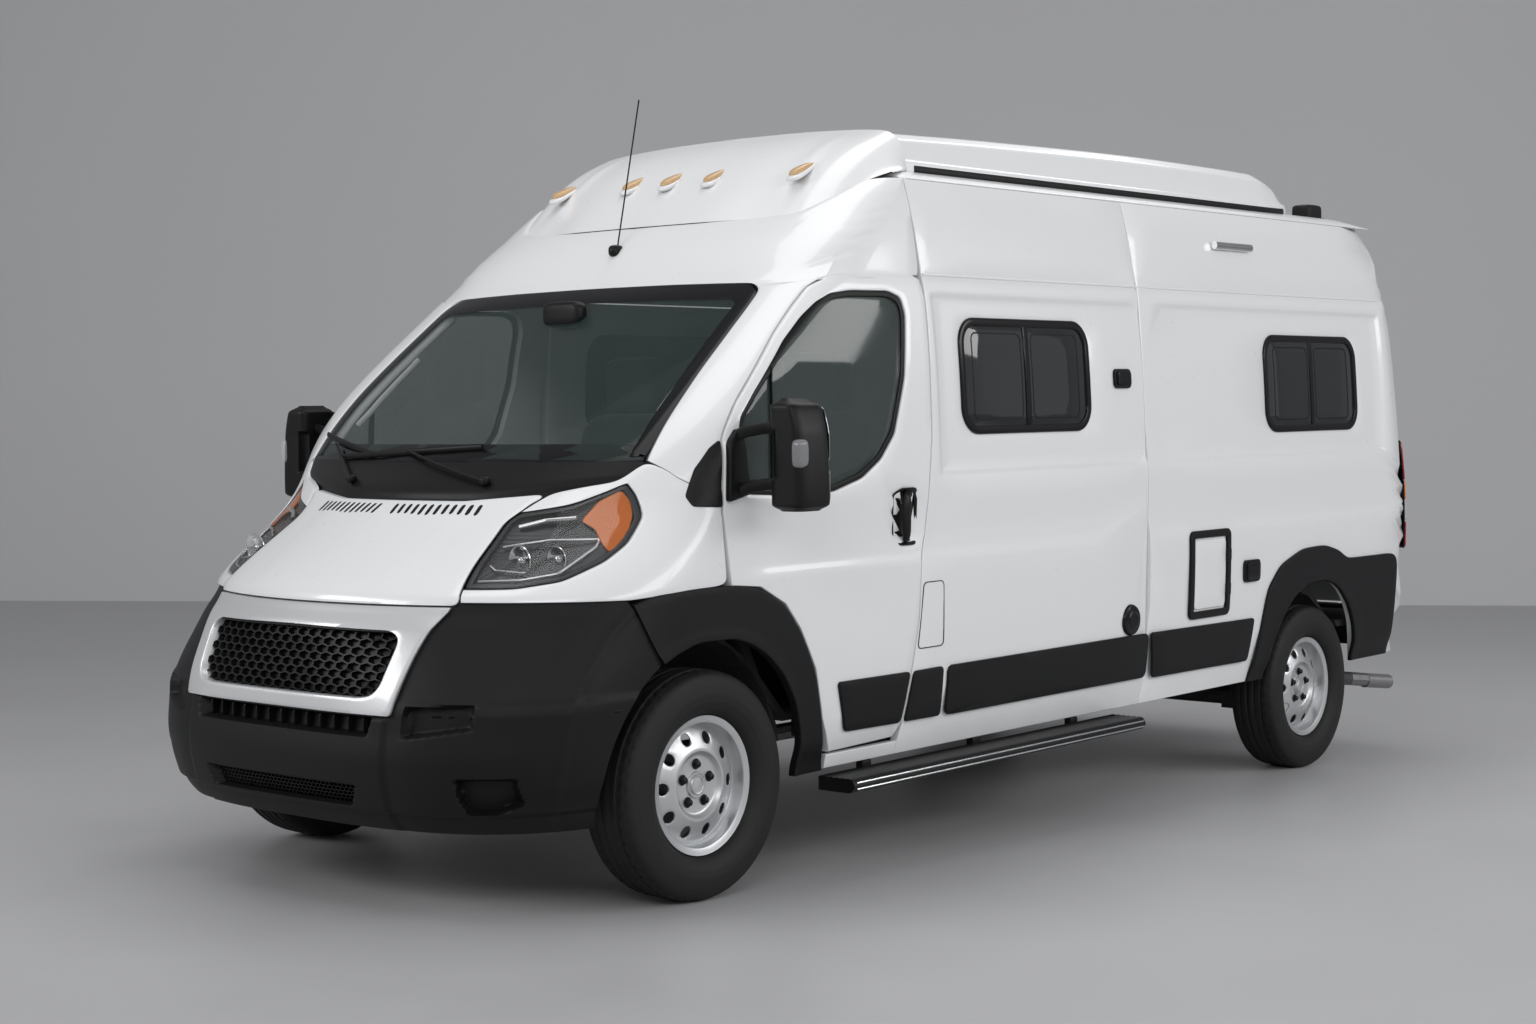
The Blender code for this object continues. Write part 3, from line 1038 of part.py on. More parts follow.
def build_chassis():
    """Front subframe with its arms, steering knuckles, and the rear beam axle on leaf springs."""
    fx = FRONT_AXLE_X
    arm_z = AXLE_HEIGHT - 0.090
    cross = box(fx - 0.25, fx + 0.18, -0.36, 0.36, arm_z - 0.040, arm_z + 0.015)
    adds = []
    for sign in (1, -1):
        outer = KINGPIN_Y - 0.060
        adds.append(prism([(fx - 0.22, 0.34), (fx + 0.14, 0.34), (fx + 0.045, outer), (fx - 0.055, outer)],
                          "Z", arm_z - 0.030, arm_z).side(sign))
        adds.append(box(fx - 0.78, fx + 0.62, 0.400, 0.470, arm_z - 0.013, arm_z + 0.067).side(sign))
        adds.append(post(fx - 0.78, fx - 0.66, 0.405, 0.465, arm_z + 0.025).side(sign))
    adds.append(box(fx + 0.56, fx + 0.66, -0.50, 0.50, arm_z - 0.013, arm_z + 0.067))
    piece("front_subframe", cross, "chassis_steel", pivot=LEVEL, add=adds)
    for sign, name in ((1, "left"), (-1, "right")):
        centre = (fx, sign * KINGPIN_Y, AXLE_HEIGHT)
        pivot = level_pivot(f"knuckle_{name}", centre)
        face = FRONT_TRACK_Y + HUB_FACE_Y - TOUCH
        upright = box(fx - 0.045, fx + 0.045, KINGPIN_Y - 0.025, KINGPIN_Y + 0.025, arm_z + TOUCH,
                      AXLE_HEIGHT + 0.195)
        lower = box(fx - 0.035, fx + 0.035, KINGPIN_Y - 0.120, KINGPIN_Y + 0.030, arm_z + TOUCH,
                    arm_z + 0.025)
        axle = rod((fx, KINGPIN_Y, AXLE_HEIGHT), (fx, face, AXLE_HEIGHT), 0.060, 16)
        plate = rod((fx, FRONT_TRACK_Y - 0.115, AXLE_HEIGHT), (fx, FRONT_TRACK_Y - 0.090, AXLE_HEIGHT),
                    0.140, 18)
        piece(f"knuckle_{name}", upright.side(sign), "cast_metal", pivot=pivot,
              add=[p.side(sign) for p in (axle, plate, lower)])
    build_rear_axle(fx - WHEELBASE)


def build_rear_axle(rx):
    """Beam with hubs, leaf springs and the hangers that hold them to the floor."""
    beam_z = AXLE_HEIGHT - 0.065
    beam = rod((rx, -REAR_TRACK_Y + 0.23, beam_z), (rx, REAR_TRACK_Y - 0.23, beam_z), 0.045, 12)
    spring_y = (REAR_TRACK_Y - 0.335, REAR_TRACK_Y - 0.275)
    adds = []
    for sign in (1, -1):
        face = REAR_TRACK_Y + HUB_FACE_Y - TOUCH
        adds.append(rod((rx, spring_y[0] + 0.04, AXLE_HEIGHT), (rx, face, AXLE_HEIGHT), 0.055, 16).side(sign))
        adds.append(box(rx - 0.06, rx + 0.06, spring_y[0] + 0.025, spring_y[1] + 0.045, beam_z - 0.055,
                        AXLE_HEIGHT + 0.068).side(sign))
        adds.append(rod((rx, REAR_TRACK_Y - 0.120, AXLE_HEIGHT), (rx, REAR_TRACK_Y - 0.090, AXLE_HEIGHT),
                        0.140, 16).side(sign))
        reach = 0.72
        low = [(rx + along, beam_z + rise) for along, rise in
               ((reach, 0.120), (0.40, 0.045), (0.0, 0.018), (-0.40, 0.045), (-reach, 0.120))]
        high = [(x, z + 0.027) for x, z in low[::-1]]
        adds.append(prism(low + high, "Y", *spring_y).side(sign))
        for x in (rx + reach, rx - reach):
            adds.append(post(x - 0.030, x + 0.030, spring_y[0] + 0.006, spring_y[1] - 0.006,
                             beam_z + 0.125).side(sign))
    piece("rear_axle", beam, "chassis_steel", pivot=LEVEL, add=adds)


def build_underside():
    """Exhaust, and the engine as one plain block."""
    route = [(-0.1605, 0.300, 0.400), (-0.25, 0.300, 0.400), (-0.50, 0.300, 0.340),
             (-2.60, 0.300, 0.330), (-3.40, 0.420, 0.330), (-4.30, 0.450, 0.310), (-4.56, 0.500, 0.225),
             (-4.68, 0.620, 0.222), (-4.76, 0.840, 0.215), (-5.02, 0.900, 0.180)]
    silencer = rod((-1.60, 0.300, 0.345), (-2.30, 0.300, 0.345), 0.090, 12)
    piece("exhaust", tube(route, 0.032, 8), "cast_metal", add=[silencer])
    piece("engine_block", box(-0.16, 0.46, -0.42, 0.42, 0.3545, 0.920), "cast_metal")


def build_running_boards():
    for sign, name in ((1, "running_board_left"), (-1, "running_board_right")):
        board = prism(rounded([(0.945, 0.262), (1.085, 0.262), (1.105, 0.285), (1.090, 0.312),
                               (0.945, 0.312)], 0.008, 2), "X", -2.47, -0.62)
        adds = [box(x, x + 0.05, 0.925, 0.960, 0.300, SILL_BOTTOM_Z - TOUCH) for x in (-2.20, -1.55, -0.90)]
        piece(name, board.side(sign), "black_plastic", add=[a.side(sign) for a in adds])


def build_cabin():
    """Seats, dashboard and steering wheel."""
    for sign, name in ((1, "seat_left"), (-1, "seat_right")):
        y = sign * 0.46
        base = prism(rounded([(-0.62, 0.5305), (-0.60, 0.86), (-0.66, 0.99), (-1.10, 0.95), (-1.08, 0.5305)],
                             [0, 0.04, 0.05, 0.03, 0], 3), "Y", y - 0.245, y + 0.245)
        back = prism(rounded([(-1.02, 0.93), (-1.16, 1.52), (-1.27, 1.54), (-1.25, 1.20), (-1.18, 0.90)],
                             [0.0, 0.05, 0.05, 0.05, 0.0], 3), "Y", y - 0.235, y + 0.235)
        head = prism(rounded([(-1.185, 1.50), (-1.180, 1.75), (-1.285, 1.76), (-1.29, 1.50)], 0.04, 3),
                     "Y", y - 0.13, y + 0.13)
        piece(name, base, "seat_cloth", add=[back, head])
    centre = Vector((-0.730, 0.460, 1.190))
    lean = math.radians(35)
    normal = Vector((-math.cos(lean), 0.0, math.sin(lean)))
    dash = rounded([(-0.20, 1.235), (-0.08, 1.300), (-0.30, 1.345), (-0.52, 1.300), (-0.60, 1.180),
                    (-0.55, 0.98), (-0.42, 0.90), (-0.305, 0.90)], 0.03, 3)
    piece("dashboard", prism(dash, "Y", -0.900, 0.900), "dash_plastic",
          add=[rod(tuple(centre - normal * 0.30), tuple(centre - normal * (0.125 + TOUCH)), 0.036, 12)],
          cut=[prism(offset(TOE_BOARD_REAR[:4] + [(0.20, 0.50), (0.20, 1.225)], TOUCH), "Y", -1.0, 1.0)])
    build_steering_wheel(centre, normal)


def build_steering_wheel(centre, normal):
    """Rim, hub and three spokes round the column's axis."""
    side = Vector((0, 1, 0))
    up = normal.cross(side).normalized()
    ring = []
    for s in range(20):
        angle = 2 * math.pi * s / 20
        out = side * math.cos(angle) + up * math.sin(angle)
        spot = centre + out * 0.185
        ring.append([tuple(spot + out * 0.014 * math.cos(a) + normal * 0.014 * math.sin(a))
                     for a in [2 * math.pi * k / 6 for k in range(6)]])
    points = [p for r in ring for p in r]
    faces = []
    for s in range(20):
        for k in range(6):
            a, b = s * 6 + k, s * 6 + (k + 1) % 6
            c, d = ((s + 1) % 20) * 6 + (k + 1) % 6, ((s + 1) % 20) * 6 + k
            faces.append((a, b, c, d))
    rim = Solid(points, faces)
    hub = rod(tuple(centre - normal * 0.125), tuple(centre + normal * 0.006), 0.055, 16)
    spokes = []
    for degrees in (0, 180, 270):
        a = math.radians(degrees)
        out = side * math.cos(a) + up * math.sin(a)
        spokes.append(rod(tuple(centre + out * 0.03), tuple(centre + out * 0.183), 0.010, 8))
    pivot = hinge("steering_wheel", tuple(centre))
    piece("steering_wheel", rim, "black_plastic", pivot=pivot, add=[hub] + spokes)


build_side_walls()
build_sliding_door()
build_camper_windows()
build_roof()
build_roof_cap()
build_pop_top()
build_front_frame()
build_windscreen()
build_hood()
build_cowl()
build_headlamps()
build_wings()
build_bumper()
build_grille()
build_front_flares()
build_rear_flares()
build_front_doors()
build_rear_doors()
build_tail_lamps()
build_rear_bumper()
build_floor()
build_wheels()
build_chassis()
build_underside()
build_running_boards()
build_cabin()
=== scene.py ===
"""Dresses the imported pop-top camper van: camera, studio, finishes for every CAD node and the finer pieces.

World frame: metres, +X forward, +Y to the vehicle's left, +Z up. The body is drawn in its own frame, whose
x runs from the front axle and which sits at a small rake, so BodyFrame turns body points into world points.
"""
import json
import logging
import math
from dataclasses import dataclass, field
from enum import Enum
from typing import Any, Callable, Iterable, Sequence

import bmesh
import bpy
import numpy as np
from mathutils import Matrix, Vector

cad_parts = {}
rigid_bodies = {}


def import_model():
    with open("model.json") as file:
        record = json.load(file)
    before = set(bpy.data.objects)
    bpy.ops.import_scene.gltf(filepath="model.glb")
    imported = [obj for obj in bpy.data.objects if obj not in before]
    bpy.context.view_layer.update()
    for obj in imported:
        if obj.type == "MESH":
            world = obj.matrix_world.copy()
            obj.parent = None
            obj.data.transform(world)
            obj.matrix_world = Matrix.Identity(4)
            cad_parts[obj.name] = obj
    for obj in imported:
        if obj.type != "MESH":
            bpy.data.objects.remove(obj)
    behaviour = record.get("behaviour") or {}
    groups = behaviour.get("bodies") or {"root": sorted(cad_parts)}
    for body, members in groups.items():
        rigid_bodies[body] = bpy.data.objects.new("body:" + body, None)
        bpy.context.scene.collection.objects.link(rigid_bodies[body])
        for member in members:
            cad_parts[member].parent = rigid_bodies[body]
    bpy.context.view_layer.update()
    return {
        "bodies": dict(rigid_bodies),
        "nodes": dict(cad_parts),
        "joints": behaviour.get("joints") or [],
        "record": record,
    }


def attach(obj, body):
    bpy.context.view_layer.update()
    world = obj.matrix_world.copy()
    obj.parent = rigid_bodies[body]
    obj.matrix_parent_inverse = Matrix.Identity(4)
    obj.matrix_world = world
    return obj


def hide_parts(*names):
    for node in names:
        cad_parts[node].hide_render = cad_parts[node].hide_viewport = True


LOG = logging.getLogger("camper")
Array = np.ndarray
FRONT_AXLE_X = 2.0787
WHEELBASE = 4.035
RAKE = math.radians(1.4655)
AXLE_Z = 0.365
FRONT_TRACK_Y = 0.905
REAR_TRACK_Y = 0.895


def join(*axes: Any) -> Array:
    """One array of points from its coordinates, broadcast together."""
    return np.stack(np.broadcast_arrays(*axes), axis=-1)


def circle(steps: int) -> Array:
    """Evenly spaced angles of a whole turn."""
    return np.linspace(0.0, 2 * math.pi, steps, endpoint=False)


class BodyFrame:
    """Turns points of the raked body frame into world points."""

    cosine = math.cos(RAKE)
    sine = math.sin(RAKE)

    @classmethod
    def world(cls, points: Array) -> Array:
        """World points of body points: turned nose-down about the front axle's foot, then moved forward.

        Args:
            points: array whose last axis is x, y, z in the body frame.

        Returns:
            Array of the same shape in the world frame.
        """
        points = np.asarray(points, float)
        x, y, z = points[..., 0], points[..., 1], points[..., 2]
        return join(FRONT_AXLE_X + x * cls.cosine + z * cls.sine, y, -x * cls.sine + z * cls.cosine)


class Signal:
    """A shader socket with arithmetic: operators on it add Math nodes."""

    def __init__(self, tree: "Shader", socket: Any) -> None:
        """Keeps the tree and the output socket."""
        self.tree = tree
        self.socket = socket

    def _math(self, operation: str, *values: Any) -> "Signal":
        """One Math node of an operation on values or signals."""
        return self.tree.node("ShaderNodeMath", {"operation": operation}, dict(enumerate(values)))

    def __add__(self, other: Any) -> "Signal":
        """Sum."""
        return self._math("ADD", self, other)

    __radd__ = __add__

    def __sub__(self, other: Any) -> "Signal":
        """Difference."""
        return self._math("SUBTRACT", self, other)

    def __rsub__(self, other: Any) -> "Signal":
        """Difference from a number."""
        return self._math("SUBTRACT", other, self)

    def __mul__(self, other: Any) -> "Signal":
        """Product."""
        return self._math("MULTIPLY", self, other)

    __rmul__ = __mul__

    def __truediv__(self, other: Any) -> "Signal":
        """Quotient."""
        return self._math("DIVIDE", self, other)

    def least(self, other: Any) -> "Signal":
        """Smaller of two."""
        return self._math("MINIMUM", self, other)

    def most(self, other: Any) -> "Signal":
        """Greater of two."""
        return self._math("MAXIMUM", self, other)

    def wave(self) -> "Signal":
        """Sine."""
        return self._math("SINE", self)

    def bounded(self) -> "Signal":
        """Held between 0 and 1."""
        return self.most(0.0).least(1.0)

    def ramp(self, low: float, high: float) -> "Signal":
        """0 below low, 1 above high, straight between."""
        return ((self - low) / (high - low)).bounded()


class Shader:
    """A material's node tree with one method that makes any node."""

    def __init__(self, name: str) -> None:
        """Starts a material of this name with an empty Principled shader.

        Args:
            name: the material's name.
        """
        self.material = bpy.data.materials.new(name)
        self.material.use_nodes = True
        self.tree = self.material.node_tree
        self.principled = self.tree.nodes["Principled BSDF"]
        self.here = Signal(self, self.tree.nodes.new("ShaderNodeTexCoord").outputs["Object"])

    def node(self, kind: str, settings: dict[str, Any], values: dict[Any, Any], output: int = 0) -> Signal:
        """Makes one node, sets it and fills or links its sockets.

        Args:
            kind: the node's type.
            settings: its properties.
            values: socket name or number to a plain value or a Signal.
            output: the output that the result carries.

        Returns:
            Signal of the chosen output.
        """
        made = self.tree.nodes.new(kind)
        for key, value in settings.items():
            setattr(made, key, value)
        for key, value in values.items():
            socket = made.inputs[key]
            if isinstance(value, Signal):
                self.tree.links.new(value.socket, socket)
            else:
                socket.default_value = value
        return Signal(self, made.outputs[output])

    def spot(self, axis: str) -> Signal:
        """One coordinate, x, y or z, of the point in object space."""
        return self.node("ShaderNodeSeparateXYZ", {}, {0: self.here}, "xyz".index(axis))

    def noise(self, scale: float, detail: float = 3.0, roughness: float = 0.5) -> Signal:
        """Grey noise on object space."""
        return self.node("ShaderNodeTexNoise", {},
                         {"Vector": self.here, "Scale": scale, "Detail": detail, "Roughness": roughness})

    def cells(self, scale: float) -> Signal:
        """Distance to the nearest cell point on object space."""
        return self.node("ShaderNodeTexVoronoi", {}, {"Vector": self.here, "Scale": scale})

    def blend(self, amount: Any, first: Sequence[float], second: Sequence[float]) -> Signal:
        """Colour between two, by an amount."""
        return self.node("ShaderNodeMix", {"data_type": "RGBA"},
                         {0: amount, 6: (*first, 1.0), 7: (*second, 1.0)}, 2)

    def bump(self, height: Signal, strength: float, distance: float) -> None:
        """Feeds a height through a Bump node to Normal."""
        made = self.node("ShaderNodeBump", {},
                         {"Height": height, "Strength": strength, "Distance": distance})
        self.tree.links.new(made.socket, self.principled.inputs["Normal"])

    def feed(self, **values: Any) -> None:
        """Sets or links the Principled sockets; underscores stand for spaces."""
        for key, value in values.items():
            socket = self.principled.inputs[key.replace("_", " ")]
            if isinstance(value, Signal):
                self.tree.links.new(value.socket, socket)
            elif isinstance(value, (tuple, list)):
                socket.default_value = (*value, 1.0)[:4]
            else:
                socket.default_value = value


@dataclass(frozen=True)
class Paint:
    """Gloss body paint with a clear coat, faint ripple and a film of dust toward the sill."""

    name: str
    colour: tuple[float, float, float]
    metallic: float = 0.0
    roughness: float = 0.28

    def make(self) -> bpy.types.Material:
        """Builds the material.

        Returns:
            The new material.
        """
        s = Shader(self.name)
        dust = (1.0 - s.spot("z").ramp(0.25, 0.95)) * s.noise(7.0, 5.0).ramp(0.35, 0.75)
        dull = tuple(c * 0.9 for c in self.colour)
        mottle = s.noise(1.4, 2.0)
        s.feed(Base_Color=s.blend(dust * 0.45 + mottle * 0.06, self.colour, dull), Metallic=self.metallic,
               Roughness=s.noise(60.0, 2.0) * 0.05 + dust * 0.14 + (self.roughness - 0.02), Coat_Weight=0.6,
               Coat_Roughness=0.06)
        s.bump(s.noise(220.0, 1.0), 0.015, 0.002)
        return s.material


@dataclass(frozen=True)
class Moulding:
    """Grained plastic: fine leather-like cells, slow colour drift and paler scuffs."""

    name: str
    colour: tuple[float, float, float]
    roughness: float = 0.55
    grain: float = 900.0
    depth: float = 0.25

    def make(self) -> bpy.types.Material:
        """Builds the material.

        Returns:
            The new material.
        """
        s = Shader(self.name)
        drift = s.noise(3.0, 4.0)
        pale = tuple(min(1.0, c * 1.3 + 0.003) for c in self.colour)
        scuff = s.noise(24.0, 6.0, 0.65).ramp(0.58, 0.8)
        s.feed(Base_Color=s.blend(drift * 0.45 + scuff * 0.25, self.colour, pale),
               Roughness=drift * 0.1 + scuff * 0.06 + (self.roughness - 0.06), Specular_IOR_Level=0.2)
        s.bump(s.cells(self.grain), self.depth, 0.0006)
        return s.material


@dataclass(frozen=True)
class Glass:
    """Thin vehicle glass: tinted, see-through by its alpha, glossy with faint dust."""

    name: str
    colour: tuple[float, float, float]
    alpha: float

    def make(self) -> bpy.types.Material:
        """Builds the material.

        Returns:
            The new material.
        """
        s = Shader(self.name)
        film = s.noise(5.0, 4.0)
        s.feed(Base_Color=s.blend(film * 0.3, self.colour, tuple(c * 1.2 + 0.01 for c in self.colour)),
               Roughness=film * 0.04 + 0.02, Alpha=film * 0.05 + self.alpha, Coat_Weight=0.3,
               Coat_Roughness=0.02)
        return s.material


@dataclass(frozen=True)
class Metal:
    """Painted or bare metal with brushed drift and light pitting."""

    name: str
    colour: tuple[float, float, float]
    metallic: float
    roughness: float
    grime: float = 0.2

    def make(self) -> bpy.types.Material:
        """Builds the material.

        Returns:
            The new material.
        """
        s = Shader(self.name)
        drift = s.noise(12.0, 5.0, 0.6)
        dirt = s.noise(4.0, 6.0, 0.7).ramp(0.45, 0.75) * self.grime
        dark = tuple(c * 0.45 for c in self.colour)
        s.feed(Base_Color=s.blend(dirt, self.colour, dark), Metallic=self.metallic,
               Roughness=drift * 0.12 + dirt * 0.4 + (self.roughness - 0.06))
        s.bump(s.noise(260.0, 3.0), 0.08, 0.001)
        return s.material


@dataclass(frozen=True)
class Rubber:
    """Tyre rubber: near black, dusty on the tread, fine mould texture."""

    name: str = "tyre_rubber_look"

    def make(self) -> bpy.types.Material:
        """Builds the material.

        Returns:
            The new material.
        """
        s = Shader(self.name)
        dust = s.noise(9.0, 6.0, 0.65).ramp(0.4, 0.8)
        s.feed(Base_Color=s.blend(dust * 0.5, (0.008, 0.008, 0.0085), (0.02, 0.019, 0.018)),
               Roughness=dust * 0.12 + 0.62, Specular_IOR_Level=0.35)
        s.bump(s.noise(420.0, 3.0), 0.12, 0.001)
        return s.material


@dataclass(frozen=True)
class Cloth:
    """Woven seat cloth on object space: crossed threads with a soft sheen."""

    name: str
    colour: tuple[float, float, float]
    pitch: float = 1400.0

    def make(self) -> bpy.types.Material:
        """Builds the material.

        Returns:
            The new material.
        """
        s = Shader(self.name)
        weave = ((s.spot("y") * self.pitch).wave() * (s.spot("z") * self.pitch).wave()) * 0.5 + 0.5
        drift = s.noise(16.0, 4.0)
        pale = tuple(c * 1.7 + 0.004 for c in self.colour)
        s.feed(Base_Color=s.blend(weave * 0.5 + drift * 0.3, self.colour, pale), Roughness=0.9,
               Sheen_Weight=0.25)
        s.bump(weave + drift * 0.6, 0.35, 0.0008)
        return s.material


class Look(Enum):
    """Every finish on the van."""

    WHITE = Paint("white_paint_look", (0.8, 0.81, 0.82))
    SILVER = Paint("silver_paint_look", (0.6, 0.61, 0.62), 0.35, 0.34)
    DARK = Moulding("dark_plastic_look", (0.006, 0.0062, 0.0068), 0.5)
    BLACK = Moulding("black_plastic_look", (0.006, 0.006, 0.0065), 0.4, 1200.0, 0.12)
    SCREEN = Glass("screen_glass_look", (0.07, 0.11, 0.1), 0.16)
    DOOR_GLASS = Glass("door_glass_look", (0.05, 0.07, 0.065), 0.55)
    TINTED = Glass("tinted_glass_look", (0.012, 0.013, 0.014), 0.95)
    LENS = Glass("lamp_lens_look", (0.75, 0.76, 0.78), 0.25)
    RED_LENS = Glass("red_lens_look", (0.45, 0.012, 0.012), 0.92)
    TYRE = Rubber()
    WHEEL = Metal("wheel_silver_look", (0.56, 0.57, 0.58), 0.75, 0.36, 0.1)
    CHASSIS = Metal("chassis_steel_look", (0.045, 0.046, 0.05), 0.4, 0.55, 0.5)
    CAST = Metal("cast_metal_look", (0.24, 0.24, 0.25), 0.8, 0.52, 0.5)
    SEAT = Cloth("seat_cloth_look", (0.03, 0.03, 0.033))
    DASH = Moulding("dash_plastic_look", (0.035, 0.037, 0.04), 0.62, 700.0, 0.3)
    BORDER = Moulding("black_border_look", (0.006, 0.006, 0.007), 0.12, 1600.0, 0.02)
    GLOSS = Moulding("gloss_black_look", (0.008, 0.008, 0.009), 0.16, 1400.0, 0.03)
    TRIM = Moulding("grey_trim_look", (0.5, 0.51, 0.51), 0.6, 900.0, 0.15)
    AMBER = Glass("amber_lens_look", (0.72, 0.17, 0.008), 0.94)
    MARKER = Glass("marker_lens_look", (0.62, 0.4, 0.2), 0.85)
    CHROME = Metal("bright_metal_look", (0.72, 0.73, 0.74), 1.0, 0.16, 0.05)
    MIRROR = Metal("mirror_face_look", (0.55, 0.57, 0.59), 1.0, 0.05, 0.02)
    BOLT = Metal("bolt_look", (0.3, 0.3, 0.31), 0.9, 0.38, 0.3)
    CLEAR = Glass("clear_lens_look", (0.1, 0.1, 0.1), 0.1)
    LAMP_GREY = Metal("lamp_housing_look", (0.055, 0.057, 0.06), 0.6, 0.25, 0.05)

    def material(self) -> bpy.types.Material:
        """The finish's material, made once."""
        return bpy.data.materials.get(self.value.name) or self.value.make()


SLOT_LOOKS = {"white_paint": Look.WHITE, "silver_paint": Look.SILVER, "dark_plastic": Look.DARK,
              "black_plastic": Look.BLACK, "glass": Look.SCREEN, "tinted_glass": Look.TINTED,
              "lamp": Look.LENS, "red_lamp": Look.RED_LENS, "tyre_rubber": Look.TYRE,
              "wheel_silver": Look.WHEEL, "chassis_steel": Look.CHASSIS, "cast_metal": Look.CAST,
              "seat_cloth": Look.SEAT, "dash_plastic": Look.DASH}


class Table:
    """Smooth reading of (input, output) rows: cubic pieces whose slopes are held so that none overshoots."""

    def __init__(self, rows: Sequence[tuple[float, float]]) -> None:
        """Works out the slope at each row from its two neighbouring secants.

        Args:
            rows: pairs of (input, output) in rising order of input.
        """
        self.keys, self.values = (np.array(column, float) for column in zip(*rows))
        gaps = np.diff(self.keys)
        secants = np.diff(self.values) / gaps
        slopes = np.concatenate([secants[:1], np.zeros(len(secants) - 1), secants[-1:]])
        before, after = secants[:-1], secants[1:]
        same = before * after > 0
        weight_a, weight_b = 2 * gaps[1:] + gaps[:-1], gaps[1:] + 2 * gaps[:-1]
        with np.errstate(divide="ignore", invalid="ignore"):
            mean = (weight_a + weight_b) / (weight_a / before + weight_b / after)
        slopes[1:-1] = np.where(same, mean, 0.0)
        self.slopes = slopes

    def __call__(self, value: Array | float) -> Array:
        """Output at a value, held at the first and last row outside them.

        Args:
            value: inputs to read at.

        Returns:
            The outputs.
        """
        value = np.clip(np.asarray(value, float), self.keys[0], self.keys[-1])
        i = np.clip(np.searchsorted(self.keys, value, side="right") - 1, 0, len(self.keys) - 2)
        gap = self.keys[i + 1] - self.keys[i]
        t = (value - self.keys[i]) / gap
        return ((2 * t ** 3 - 3 * t ** 2 + 1) * self.values[i] + (t ** 3 - 2 * t ** 2 + t) * gap
                * self.slopes[i] + (3 * t ** 2 - 2 * t ** 3) * self.values[i + 1] + (t ** 3 - t ** 2) * gap
                * self.slopes[i + 1])


def step(value: Array, low: float, high: float) -> Array:
    """Soft step: 0 below low, 1 above high, and 3t^2 - 2t^3 between; low may be the greater."""
    t = np.clip((np.asarray(value, float) - low) / (high - low), 0.0, 1.0)
    return t * t * (3 - 2 * t)


def band(value: Array, low: float, high: float, soft: float) -> Array:
    """1 between low and high, falling softly to 0 outside them."""
    return step(value, low - soft, low) * step(value, high + soft, high)


